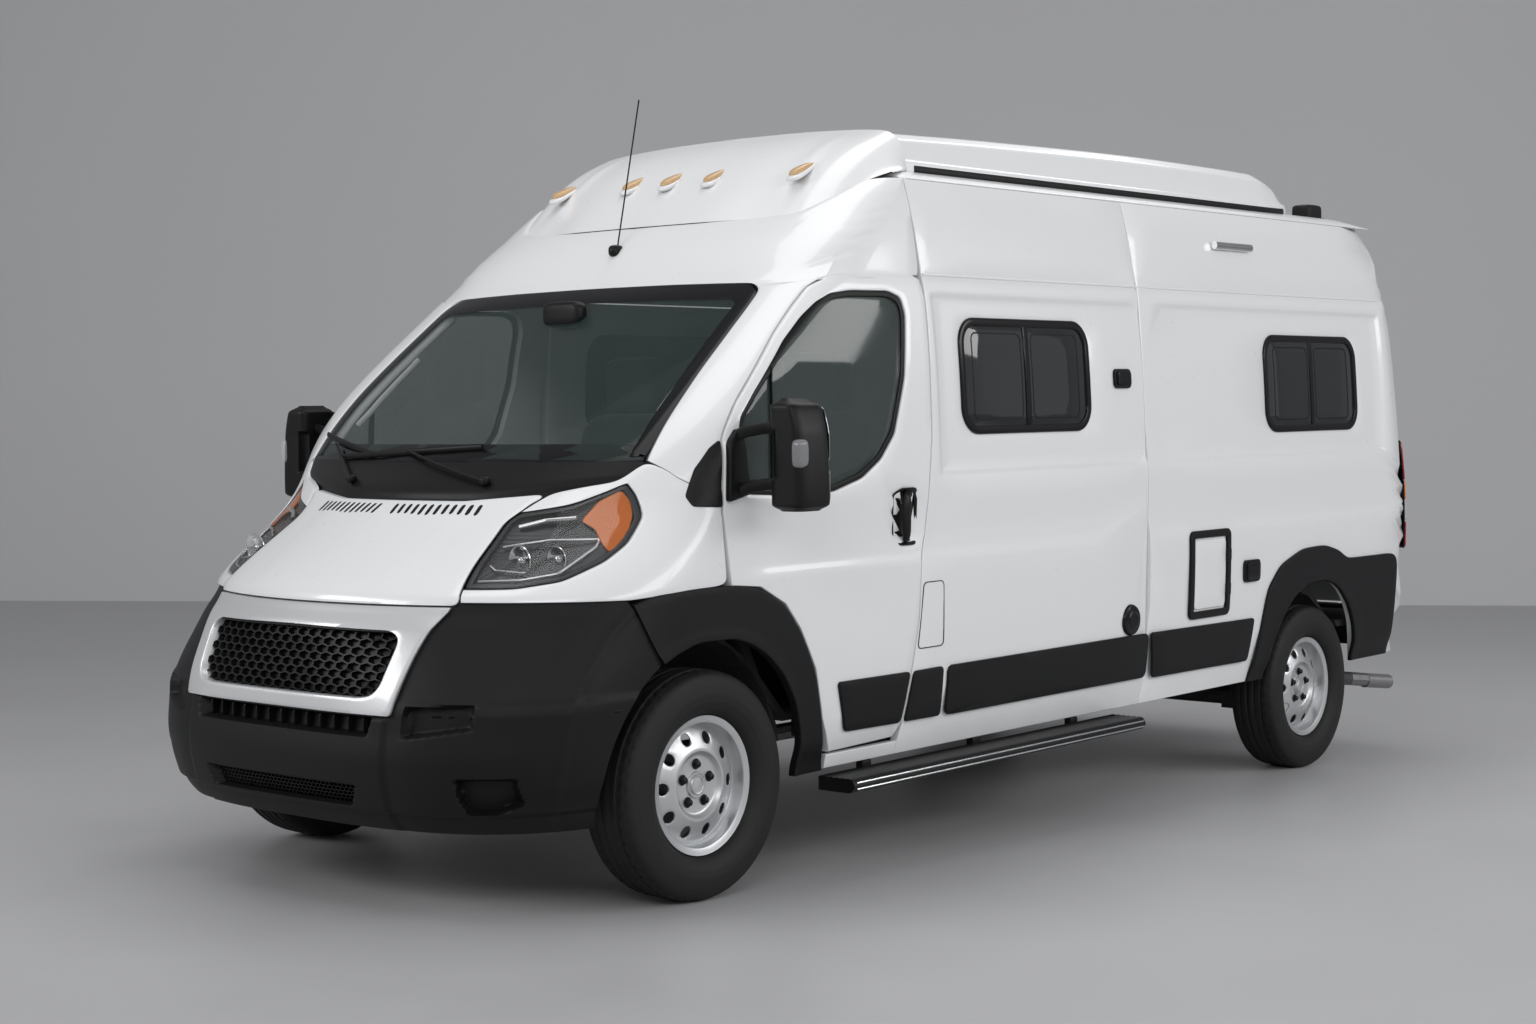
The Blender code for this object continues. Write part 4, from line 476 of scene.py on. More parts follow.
class Skin:
    """The body's outer surface in the body frame, as functions of whole arrays.

    Across the front, a point at height z and turn t lies on the plan curve |X|^p + |Y|^p = 1, scaled from
    the shoulder to the nose and to the half width; past turn 1 it runs straight back along the side.
    """

    width = Table([(0.25, 0.93), (0.3, 0.955), (0.36, 0.965), (0.44, 0.99), (0.63, 1.012), (0.8, 1.022),
                   (0.965, 1.025), (1.08, 1.023), (1.29, 1.018), (1.5, 1.012), (1.69, 1.003), (1.95, 0.975),
                   (2.01, 0.962), (2.06, 0.953), (2.27, 0.912), (2.35, 0.888)])
    nose = Table([(0.25, 0.8), (0.27, 0.82), (0.335, 0.875), (0.42, 0.896), (0.5, 0.905), (0.6, 0.89),
                  (0.7, 0.875), (0.8, 0.85), (0.884, 0.825), (0.955, 0.776), (0.985, 0.765), (1.01, 0.74),
                  (1.242, 0.42), (1.292, 0.36), (1.97, -0.53), (2.0, -0.57), (2.122, -0.668),
                  (2.205, -0.765), (2.3, -0.9), (2.35, -0.985)])
    shoulder = Table([(0.955, 0.1), (1.02, 0.08), (1.292, -0.1), (1.374, -0.107), (1.966, -0.763),
                      (2.0, -0.8), (2.205, -1.05), (2.3, -1.15), (2.35, -1.2)])
    squareness = Table([(0.65, 3.0), (0.955, 2.0), (1.29, 1.75), (1.374, 1.75), (1.966, 3.0), (2.205, 2.4)])
    tail = Table([(0.3, -5.03), (0.4, -5.045), (1.07, -5.045), (1.35, -5.02), (1.64, -4.98), (2.02, -4.95),
                  (2.36, -4.88)])
    roof = Table([(0.0, 2.45), (0.4, 2.44), (0.7, 2.405), (0.8, 2.385), (0.85, 2.368), (0.888, 2.35)])
    end_x = -1.205
    corner_radius = 0.13
    rear_door_y = 0.8

    @classmethod
    def front(cls, place: Array, depth: Array | float = 0.0) -> Array:
        """Points of the front at (turn, z) places, moved inward by a depth.

        Args:
            place: surface places, (turn, z) or two coordinates, on the last axis.
            depth: depth inward from the skin.

        Returns:
            Points in the body frame.
        """
        turn, z = place[..., 0], place[..., 1]
        start, width = cls.shoulder(z), cls.width(z) - depth
        reach = cls.nose(z) - depth - start
        power = 2.0 / cls.squareness(z)
        amount = np.abs(turn)
        angle = np.minimum(amount, 1.0) * math.pi / 2
        x = np.where(amount <= 1.0, start + reach * np.maximum(np.cos(angle), 0.0) ** power,
                     start + (amount - 1.0) * (cls.end_x - start))
        return join(x, np.sign(turn) * width * np.sin(angle) ** power, z)

    @classmethod
    def turn_at_y(cls, y: Array, z: Array) -> Array:
        """Turn of the front's point at half width y: the plan curve solved for its angle."""
        share = np.clip(np.abs(y) / cls.width(z), 0.0, 1.0)
        return np.sign(y) * np.arcsin(share ** (cls.squareness(z) / 2)) * 2 / math.pi

    @classmethod
    def turn_at_x(cls, x: Array, z: Array) -> Array:
        """Turn of the left side's point at station x, ahead of the shoulder or behind it.

        Args:
            x: x in the body frame.
            z: height in the body frame.

        Returns:
            The turns.
        """
        start = cls.shoulder(z)
        share = np.clip((x - start) / (cls.nose(z) - start), 0.0, 1.0)
        ahead = np.arccos(share ** (cls.squareness(z) / 2)) * 2 / math.pi
        return np.where(x >= start, ahead, 1.0 + (x - start) / (cls.end_x - start))

    @classmethod
    def side(cls, place: Array, depth: Array | float = 0.0) -> Array:
        """Points of the left side at (x, z) places: straight behind the shoulder, on the plan curve ahead.

        Args:
            place: surface places, (turn, z) or two coordinates, on the last axis.
            depth: depth inward from the skin.

        Returns:
            Points in the body frame.
        """
        x, z = place[..., 0], place[..., 1]
        start, power = cls.shoulder(z), cls.squareness(z)
        share = np.clip((x - start) / (cls.nose(z) - start), 0.0, 0.98)
        y = (cls.width(z) - depth) * (1.0 - share ** power) ** (1.0 / power)
        return join(x, y, z)

    @classmethod
    def flank(cls, place: Array, depth: Array | float = 0.0) -> Array:
        """Points of the left wall at (run, z): run is x, then length on round the rear corner.

        Args:
            place: surface places, (turn, z) or two coordinates, on the last axis.
            depth: depth inward from the skin.

        Returns:
            Points in the body frame.
        """
        run, z = place[..., 0], place[..., 1]
        width = cls.width(z)
        bend = np.minimum(cls.corner_radius, width - cls.rear_door_y - 0.012)
        begin = cls.tail(z) + bend
        past = np.maximum(begin - run, 0.0)
        angle = np.clip(past / bend, 0.0, math.pi / 2)
        rest = np.maximum(past - bend * math.pi / 2, 0.0)
        radius = bend - depth
        x = np.where(past > 0, begin - radius * np.sin(angle), run)
        y = width - bend + radius * np.cos(angle) - rest
        return join(x, y - Relief.wall(run, z), z)

    @classmethod
    def corner_run(cls, z: Array, y: float) -> Array:
        """Run of the rear face's point at half width y.

        Args:
            z: height in the body frame.
            y: distance from the middle plane.

        Returns:
            The runs.
        """
        width = cls.width(z)
        bend = np.minimum(cls.corner_radius, width - cls.rear_door_y - 0.012)
        return cls.tail(z) + bend - bend * math.pi / 2 - (width - bend - y)


class Relief:
    """Pressed forms of the sheet metal: depth inward at whole arrays of places."""

    recess = (-1.235, -4.775, 1.295, 1.948)
    recess_depth = 0.012
    gutter_z = 2.008
    waist_z = (1.0, 1.05)

    @classmethod
    def wall(cls, run: Array, z: Array) -> Array:
        """The long window recess, the gutter groove and the lower waist step of a side wall.

        Args:
            run: distance along the wall.
            z: height in the body frame.

        Returns:
            Depths of the pressing.
        """
        front, rear, low, high = cls.recess
        panel = step(run, front, front - 0.03) * step(run, rear, rear + 0.03)
        panel = panel * step(z, low, low + 0.025) * step(z, high, high - 0.025)
        gutter = np.exp(-((z - cls.gutter_z) / 0.006) ** 2) * 0.004 * step(run, -0.95, -0.97)
        waist = step(z, *cls.waist_z) * step(z, 1.3, 1.1) * 0.008 * step(run, -4.85, -4.75)
        return panel * cls.recess_depth + gutter + waist

    @classmethod
    def door(cls, x: Array, z: Array) -> Array:
        """The front door's waist step and the scoop behind its handle.

        Args:
            x: x in the body frame.
            z: height in the body frame.

        Returns:
            Depths of the pressing.
        """
        waist = step(z, *cls.waist_z) * step(z, 1.26, 1.12) * 0.007 * step(x, -0.12, -0.3)
        scoop = band(x, -1.105, -0.985, 0.03) * band(z, 1.09, 1.235, 0.03) * 0.022
        return waist + scoop


Faces = list[tuple[int, ...]]
Part = tuple[Array, Faces]
Surface = Callable[[Array, Array], Array]
SIDES = ((1, "left"), (-1, "right"))


def weave(rows: int, columns: int, wrap_rows: bool, wrap_columns: bool) -> Faces:
    """Four-cornered faces of a grid of points, closed round its rows or columns where asked.

    Args:
        rows: number of rows.
        columns: number of columns.
        wrap_rows: whether the last row joins the first.
        wrap_columns: whether the last column joins the first.

    Returns:
        Faces as tuples of point numbers.
    """
    r = np.arange(rows if wrap_rows else rows - 1)[:, None]
    c = np.arange(columns if wrap_columns else columns - 1)[None, :]
    after_r, after_c = (r + 1) % rows, (c + 1) % columns
    quads = join(r * columns + c, r * columns + after_c, after_r * columns + after_c, after_r * columns + c)
    return [tuple(q) for q in quads.reshape(-1, 4).tolist()]


def grid(points: Array, wrap_rows: bool = False, wrap_columns: bool = False, caps: bool = False) -> Part:
    """Part from a (rows, columns, 3) array of points; caps closes the first and last row by a face.

    Args:
        points: points of (row, column).
        wrap_rows: whether the last row joins the first.
        wrap_columns: whether the last column joins the first.
        caps: whether both open ends are closed by a face.

    Returns:
        Points and faces.
    """
    rows, columns = points.shape[:2]
    faces = weave(rows, columns, wrap_rows, wrap_columns)
    if caps:
        faces += [tuple(range(columns)), tuple(range((rows - 1) * columns, rows * columns))]
    return points.reshape(-1, 3), faces


def repeated(points: Array, faces: Faces) -> Part:
    """Part of many like blocks of points, (blocks, rows, columns, 3), with the same faces on each.

    Args:
        points: points of (block, row, column).
        faces: faces of one block.

    Returns:
        Points and faces.
    """
    size = points.shape[1] * points.shape[2]
    shifts = size * np.arange(len(points))[:, None, None]
    return points.reshape(-1, 3), [tuple(f) for f in (np.array(faces)[None] + shifts).reshape(-1,
            4).tolist()]


def sampled(points: Sequence[Sequence[float]], count: int, closed: bool = False) -> Array:
    """Points evenly spaced along a line of straight pieces.

    Args:
        points: the points, in order.
        count: number of points.
        closed: whether it runs round to its start.

    Returns:
        Evenly spaced points.
    """
    line = np.asarray(list(points) + ([points[0]] if closed else []), float)
    lengths = np.concatenate([[0.0], np.cumsum(np.linalg.norm(np.diff(line, axis=0), axis=1))])
    stops = np.linspace(0.0, lengths[-1], count + 1)[:-1] if closed else np.linspace(0.0, lengths[-1],
            count)
    return np.stack([np.interp(stops, lengths, line[:, i]) for i in range(line.shape[1])], axis=-1)


def softened(points: Sequence[Sequence[float]], count: int, reach: float) -> Array:
    """Closed line sampled evenly, its corners rounded by averaging each point over a reach along it.

    Args:
        points: the points, in order.
        count: number of points.
        reach: how far the corners are rounded.

    Returns:
        The softened line.
    """
    line = sampled(points, count, True)
    length = np.linalg.norm(np.diff(np.vstack([line, line[:1]]), axis=0), axis=1).sum()
    half = max(1, int(round(reach / length * count / 2)))
    kernel = np.ones(2 * half + 1) / (2 * half + 1)
    padded = np.vstack([line[-half:], line, line[:half]])
    return np.stack([np.convolve(padded[:, i], kernel, "valid") for i in range(2)], axis=-1)


def grown(points: Sequence[Sequence[float]], amount: float) -> Array:
    """Closed line moved outward along its corners' bisectors.

    Args:
        points: the closed line.
        amount: how far outward it moves.

    Returns:
        The moved line.
    """
    line = np.asarray(points, float)
    back, ahead = line - np.roll(line, 1, 0), np.roll(line, -1, 0) - line
    area = np.sum(line[:, 0] * np.roll(line[:, 1], -1) - np.roll(line[:, 0], -1) * line[:, 1])
    sides = []
    for edge in (back, ahead):
        edge = edge / np.maximum(np.linalg.norm(edge, axis=1, keepdims=True), 1e-9)
        sides.append(join(edge[:, 1], -edge[:, 0]) * math.copysign(1.0, area))
    mean = sides[0] + sides[1]
    mean = mean / np.maximum(np.linalg.norm(mean, axis=1, keepdims=True), 1e-9)
    return line + mean * (amount / np.maximum(np.sum(mean * sides[0], axis=1, keepdims=True), 0.5))


def rays(outer: Array, inner: Array | None, centre: Sequence[float], between: Sequence[Array] = (),
         count: int = 12) -> tuple[Array, Array, list[Array]]:
    """Matches closed lines along rays from a centre, through every corner of each and evenly between.

    Args:
        outer: the outer line.
        inner: the hole's line, or None for a panel without one, whose inner line is the centre.
        centre: a point inside every line.
        between: lines from the outer one inward, each held inside the line before it.
        count: number of even rays.

    Returns:
        Outer, inner and between points on the same rays.
    """
    hub = np.asarray(centre, float)

    def polar(line: Array) -> tuple[Array, Array]:
        """Angle, rising from -pi, and distance from the centre of a line's points.

        Args:
            line: the closed line.

        Returns:
            Angles and radii, sorted by angle.
        """
        arms = np.asarray(line, float) - hub
        angle = np.arctan2(arms[:, 1], arms[:, 0])
        order = np.argsort(angle)
        return angle[order], np.linalg.norm(arms, axis=1)[order]

    def reach(line: Array, angles: Array) -> Array:
        """Distances at which rays at these angles meet the line, straight between its corners.

        Args:
            line: the closed line.
            angles: where to read the line's radius.

        Returns:
            The radii.
        """
        angle, size = polar(line)
        angle = np.concatenate([[angle[-1] - 2 * math.pi], angle, [angle[0] + 2 * math.pi]])
        size = np.concatenate([size[-1:], size, size[:1]])
        i = np.clip(np.searchsorted(angle, angles, side="right") - 1, 0, len(angle) - 2)
        p = join(np.cos(angle[i]), np.sin(angle[i])) * size[i, None]
        edge = join(np.cos(angle[i + 1]), np.sin(angle[i + 1])) * size[i + 1, None] - p
        down = np.cos(angles) * edge[:, 1] - np.sin(angles) * edge[:, 0]
        return (p[:, 0] * edge[:, 1] - p[:, 1] * edge[:, 0]) / np.where(np.abs(down) < 1e-12, 1e-12, down)

    angles = np.linspace(-math.pi, math.pi, count, endpoint=False)
    for line in (outer, *(() if inner is None else (inner,)), *between):
        angles = np.union1d(angles, polar(line)[0])
    angles = angles[np.concatenate([[True], np.diff(angles) > 1e-5])]
    ray = join(np.cos(angles), np.sin(angles))
    far = reach(outer, angles)
    near = np.zeros_like(far) if inner is None else reach(inner, angles)
    middles, limit = [], far
    for line in between:
        limit = np.minimum(reach(line, angles), limit - 0.012 * (far - near))
        middles.append(hub + ray * limit[:, None])
    return hub + ray * far[:, None], hub + ray * near[:, None], middles


class Edge(Enum):
    """How a shell's matched lines close: round a hole, to a middle, or open with two flat ends."""

    RING = "ring"
    FILL = "fill"
    OPEN = "open"


def shell(outer: Array, inner: Array, surface: Surface, thickness: float, kind: Edge, radius: float,
          steps: int = 3, between: Sequence[Array] = ()) -> Part:
    """Closed sheet between two matched lines of places, its free edges rounded to a quarter circle.

    A section runs from the outer line through the lines between to the inner one on the surface, and back at
    the thickness. Near a free edge, at distance r(1 - cos a) from it, the sheet lies r(1 - sin a) deep.

    Args:
        outer: places of the outer line.
        inner: places of the inner line, matched to the outer one.
        surface: gives points from places and depths.
        thickness: depth of the inside.
        kind: whether the inner line is a hole, a middle, or the strip's other side.
        radius: radius of the edges.
        steps: rows in each stretch.
        between: matched lines that rows run along, so that a crease there is crisp.

    Returns:
        Points and faces.
    """
    lines = np.stack([outer, *between, inner])
    ends = surface(lines, 0.0)
    gaps = np.maximum(np.linalg.norm(np.diff(ends, axis=0), axis=-1), 1e-6)
    knots = np.concatenate([np.zeros((1, gaps.shape[1])), np.cumsum(gaps, axis=0)])
    span = knots[-1]
    knots = knots / span
    angles = np.radians([0.0, 30.0, 60.0])
    near = np.minimum(radius * (1 - np.cos(angles))[:, None] / span, 0.45)
    sink = radius * (1 - np.sin(angles))
    knots_in = knots.copy()
    knots_in[0] = np.minimum(radius / span, 0.45)
    if kind is not Edge.FILL:
        knots_in[-1] = 1 - knots_in[0]
    knots_in = np.clip(knots_in, knots_in[0], knots_in[-1])
    share = [np.zeros((1, len(span))), near]
    depth = [[thickness], sink]
    for low, high in zip(knots_in[:-1], knots_in[1:]):
        share.append(low + (high - low) * np.linspace(0.0, 1.0, steps)[:, None])
        depth.append(np.zeros(steps))
    if kind is not Edge.FILL:
        share.append(1 - near[::-1])
        depth.append(sink[::-1])
    share.append(np.broadcast_to(np.linspace(1.0, 0.0, 8)[:-1, None], (7, len(span))))
    depth.append(np.full(7, thickness))
    shares, depths = np.concatenate(share), np.concatenate(depth)
    places = np.broadcast_to(lines[0], (*shares.shape, 2)).copy()
    for k in range(len(lines) - 1):
        part = np.clip((shares - knots[k]) / (knots[k + 1] - knots[k]), 0.0, 1.0)[..., None]
        places += (lines[k + 1] - lines[k]) * part
    points = surface(places, depths[:, None])
    rows, columns = points.shape[:2]
    faces = weave(rows, columns, True, kind is not Edge.OPEN)
    if kind is Edge.OPEN:
        faces += [tuple(range(0, rows * columns, columns)),
                  tuple(range(columns - 1, rows * columns, columns))]
    return points.reshape(-1, 3), faces


def same(points: Array) -> Array:
    """The places as they are."""
    return points


def panel(outer: Array, hole: Array | None, centre: Sequence[float], surface: Surface, thickness: float,
          radius: float, steps: int = 3, places: Callable[[Array], Array] = same,
          between: Sequence[Array] = (), count: int = 12) -> Part:
    """Closed sheet inside a line, round a hole where one is given.

    Args:
        outer: the outer line.
        hole: the hole's line, or None.
        centre: a point inside every line.
        surface: gives points from places and depths.
        thickness: depth of the inside.
        radius: radius of the edges.
        steps: rows in each stretch.
        places: turns points of the lines into the surface's places.
        between: lines that rows run along, from the outer one inward.
        count: number of even rays.

    Returns:
        Points and faces.
    """
    kind = Edge.FILL if hole is None else Edge.RING
    outer, inner, middles = rays(outer, hole, centre, between, count)
    return shell(places(outer), places(inner), surface, thickness, kind, radius, steps, middles)


def lifted(surface: Surface, lift: float) -> Surface:
    """A surface moved outward."""
    return lambda place, depth: surface(place, depth - lift)


def flipped(part: Part) -> Part:
    """The same part on the other side of the middle plane."""
    points, faces = part
    return points * (1.0, -1.0, 1.0), [face[::-1] for face in faces]


def on_side(part: Part, sign: int) -> Part:
    """The part on the left for 1, on the right for -1."""
    return part if sign > 0 else flipped(part)


def swept(path: Array, section: Callable[[Array, Array], tuple[Array, Array]], steps: int = 24,
          closed: bool = False, up: Sequence[float] = (0.0, 0.0, 1.0)) -> Part:
    """Closed section carried along a path of points.

    At share s along the path and angle a, the point is path(s) + across * w + lift * h, where (w, h) is the
    section's value at (s, a), and across and lift are square to the path and to each other.

    Args:
        path: points that the section runs along.
        section: gives (w, h) from shares and angles.
        steps: points round the section.
        closed: whether it runs round to its start.
        up: a direction that lift stays close to.

    Returns:
        Points and faces.
    """
    path = np.asarray(path, float)
    along = np.gradient(path, axis=0) if not closed else np.roll(path, -1, 0) - np.roll(path, 1, 0)
    along = along / np.linalg.norm(along, axis=1, keepdims=True)
    across = np.cross(along, np.asarray(up, float))
    across = across / np.maximum(np.linalg.norm(across, axis=1, keepdims=True), 1e-9)
    lift = np.cross(across, along)
    shares = np.linspace(0.0, 1.0, len(path))[:, None]
    angles = circle(steps)[None, :]
    wide, high, _ = np.broadcast_arrays(*section(shares, angles), shares * angles)
    points = path[:, None] + across[:, None] * wide[..., None] + lift[:, None] * high[..., None]
    return grid(points, closed, True, not closed)


def oval(path: Array, wide: float, high: float, steps: int = 12, closed: bool = False,
         up: Sequence[float] = (0.0, 0.0, 1.0)) -> Part:
    """Bar of oval section carried along a path."""
    return swept(path, lambda s, a: (wide * np.cos(a), high * np.sin(a)), steps, closed, up)


def round_bar(path: Sequence[Sequence[float]], radius: float, steps: int, count: int) -> Part:
    """Round bar along a path that is sampled evenly."""
    return oval(sampled(path, count), radius, radius, steps)


def box_form(centre: Sequence[float], half: Sequence[float], power: float = 6.0, rows: int = 24,
             columns: int = 48) -> Part:
    """Rounded box: each axis is half * sign(c)|c|^(2/power) of a unit sphere's cosines and sines.

    Args:
        centre: the middle point.
        half: half sizes along the axes.
        power: squareness; 2 is an ellipsoid.
        rows: points from bottom to top.
        columns: points round it.

    Returns:
        Points and faces.
    """
    v = np.linspace(-math.pi / 2, math.pi / 2, rows)[:, None]
    u = circle(columns)[None, :]

    def bent(value: Array) -> Array:
        """Value raised to 2/power with its sign kept."""
        return np.sign(value) * np.abs(value) ** (2.0 / power)

    ring = bent(np.cos(v))
    points = join(centre[0] + half[0] * ring * bent(np.cos(u)),
                  centre[1] + half[1] * ring * bent(np.sin(u)), centre[2] + half[2] * bent(np.sin(v)))
    return grid(points, False, True)


def revolved(profile: Sequence[tuple[float, float]], centre: Sequence[float], steps: int = 96,
             closed: bool = True, count: int = 0) -> Part:
    """Line of (radius, along y) turned round the y axis through a centre.

    Args:
        profile: points of (radius, along y).
        centre: the middle point.
        steps: points round the axis.
        closed: whether the line is closed.
        count: points that the line is sampled at, or 0 for its own.

    Returns:
        Points and faces.
    """
    line = sampled(profile, count) if count else np.asarray(profile, float)
    angle = circle(steps)[None, :]
    radius, along = line[:, 0, None], line[:, 1, None]
    points = join(centre[0] + radius * np.cos(angle), centre[1] + along, centre[2] + radius * np.sin(angle))
    return grid(points, closed, True)


def linked(name: str, data: Any) -> bpy.types.Object:
    """A new object in the scene.

    Args:
        name: the object's name.
        data: its mesh, light or camera.

    Returns:
        The new object.
    """
    made = bpy.data.objects.new(name, data)
    bpy.context.scene.collection.objects.link(made)
    return made


def make(name: str, parts: Iterable[Part], look: "Look", stands_for: Sequence[str] = (), body: str = "root",
         side: int = 1, sharp: float = 38.0, level: bool = False) -> bpy.types.Object:
    """Makes one piece from parts in the body frame, or in the level frame, and hangs it on its body.

    Args:
        name: the piece's name.
        parts: closed surfaces that make it up, drawn on the left.
        look: its finish.
        stands_for: CAD nodes that it replaces.
        body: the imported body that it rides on.
        side: -1 to put the parts on the right.
        sharp: angle in degrees past which an edge stays sharp.
        level: whether the points are in the level frame already.

    Returns:
        The new object.
    """
    points, faces, count = [], [], 0
    for part_points, part_faces in (on_side(part, side) for part in parts):
        points.append(part_points if level else BodyFrame.world(part_points))
        faces += [tuple(i + count for i in face) for face in part_faces]
        count += len(part_points)
    mesh = bpy.data.meshes.new(name)
    mesh.from_pydata(np.concatenate(points).tolist(), [], faces)
    work = bmesh.new()
    work.from_mesh(mesh)
    bmesh.ops.remove_doubles(work, verts=work.verts, dist=2e-6)
    bmesh.ops.recalc_face_normals(work, faces=work.faces)
    work.to_mesh(mesh)
    work.free()
    mesh.shade_smooth()
    mesh.set_sharp_from_angle(angle=math.radians(sharp))
    mesh.materials.append(look.material())
    piece = linked(name, mesh)
    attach(piece, body)
    if stands_for:
        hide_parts(*stands_for)
    LOG.info("piece %s: %d points", name, len(mesh.vertices))
    return piece


def front_places(points: Sequence[Sequence[float]]) -> Array:
    """(turn, z) places of (y, z) points seen from the front."""
    line = np.asarray(points, float)
    return join(Skin.turn_at_y(line[:, 0], line[:, 1]), line[:, 1])


def side_places(points: Sequence[Sequence[float]]) -> Array:
    """(turn, z) places of (x, z) points seen from the left."""
    line = np.asarray(points, float)
    return join(Skin.turn_at_x(line[:, 0], line[:, 1]), line[:, 1])


def paired(rows: Sequence[tuple[Array, Array]], each: int = 10) -> tuple[Array, Array]:
    """Two matched lines from paired key places, evenly filled between the pairs and softened a little.

    Args:
        rows: pairs of (inner, outer) points.
        each: points in each stretch between pairs.

    Returns:
        The inner and the outer line.
    """
    first = np.array([row[0] for row in rows], float)
    second = np.array([row[1] for row in rows], float)
    keys = np.arange(len(rows))
    stops = np.linspace(0, len(rows) - 1, (len(rows) - 1) * each + 1)
    lines = []
    for line in (first, second):
        filled = np.stack([np.interp(stops, keys, line[:, i]) for i in range(2)], -1)
        for _ in range(each):
            filled[1:-1] = (filled[:-2] + 2 * filled[1:-1] + filled[2:]) / 4
        lines.append(filled)
    return tuple(lines)


def mirrored_line(line: Array) -> Array:
    """A line from a side to the middle, carried on to the other side."""
    return np.vstack([line, (line * (-1.0, 1.0))[-2::-1]])


SHUT_GAP = 0.0055
DOOR_OUTLINE = [(-0.107, 0.985), (-0.085, 1.23), (-0.101, 1.447), (-0.125, 1.487), (-0.187, 1.566),
                (-0.277, 1.653), (-0.418, 1.784), (-0.521, 1.869), (-0.622, 1.948), (-0.708, 1.988),
                (-0.864, 2.002), (-1.15, 2.006), (-1.19, 1.99), (-1.204, 1.927), (-1.192, 1.431),
                (-1.144, 1.102), (-1.112, 1.013), (-1.097, 0.814), (-1.065, 0.638), (-1.027, 0.45),
                (-0.99, 0.4), (-0.64, 0.387), (-0.579, 0.508), (-0.53, 0.681), (-0.447, 0.821),
                (-0.371, 0.908), (-0.247, 0.972)]
DOOR_WINDOW = [(-0.165, 1.445), (-0.18, 1.52), (-0.253, 1.599), (-0.428, 1.766), (-0.531, 1.847),
               (-0.609, 1.897), (-0.678, 1.926), (-0.79, 1.94), (-1.0, 1.944), (-1.069, 1.923),
               (-1.086, 1.865), (-1.055, 1.646), (-0.984, 1.451), (-0.903, 1.366), (-0.795, 1.305),
               (-0.635, 1.265), (-0.4, 1.262), (-0.185, 1.275)]
HOOD_HALF = [(0.0, 1.262), (0.3, 1.262), (0.562, 1.2831), (0.576, 1.2741), (0.55, 1.258), (0.513, 1.2),
             (0.549, 1.077), (0.574, 1.008), (0.591, 0.972), (0.585, 0.962), (0.0, 0.962)]
LAMP_OUTLINE = [(0.582, 1.008), (0.557, 1.077), (0.521, 1.2), (0.538, 1.229), (0.678, 1.252),
                (0.756, 1.291), (0.805, 1.318), (0.845, 1.282), (0.893, 1.217), (0.906, 1.137),
                (0.888, 1.084), (0.827, 1.03), (0.724, 1.01)]
WINDSCREEN_HALF = [(0.0, 1.978), (0.42, 1.975), (0.72, 1.968), (0.785, 1.935), (0.825, 1.62), (0.83, 1.385),
                   (0.778, 1.324), (0.601, 1.293), (0.56, 1.272), (0.0, 1.2)]
SURROUND_HALF = [(0.0, 0.957), (0.575, 0.957), (0.548, 0.889), (0.531, 0.809), (0.52, 0.728),
                 (0.505, 0.641), (0.0, 0.641)]
GRILLE_HALF = [(0.0, 0.893), (0.42, 0.888), (0.458, 0.87), (0.462, 0.846), (0.446, 0.728), (0.42, 0.698),
               (0.372, 0.69), (0.0, 0.69)]
FLARE_TOP = [(0.292, 0.966), (0.218, 0.981), (0.083, 0.989), (-0.127, 0.99), (-0.247, 0.972),
             (-0.371, 0.908), (-0.447, 0.821), (-0.53, 0.681), (-0.579, 0.508), (-0.622, 0.331)]
FRONT_ARCH = (-0.03, 0.38, 0.45)
REAR_ARCH = (-4.06, 0.32, 0.425)
WING_FOOT_Z = 0.9705


def both(half: Sequence[tuple[float, float]]) -> list[tuple[float, float]]:
    """Closed line from its left half, which starts and ends on the middle plane."""
    return list(half) + [(-y, z) for y, z in half[-2:0:-1]]


def arc(circle: tuple[float, float, float], start: float, end: float, count: int,
        grow: float = 0.0) -> Array:
    """(x, z) points along a circle from one angle in degrees to another.

    Args:
        circle: centre and radius of the arch.
        start: first angle in degrees.
        end: last angle in degrees.
        count: number of points.
        grow: added to the radius.

    Returns:
        Points of (x, z).
    """
    x, z, radius = circle
    angle = np.radians(np.linspace(start, end, count))
    return join(x + (radius + grow) * np.cos(angle), z + (radius + grow) * np.sin(angle))


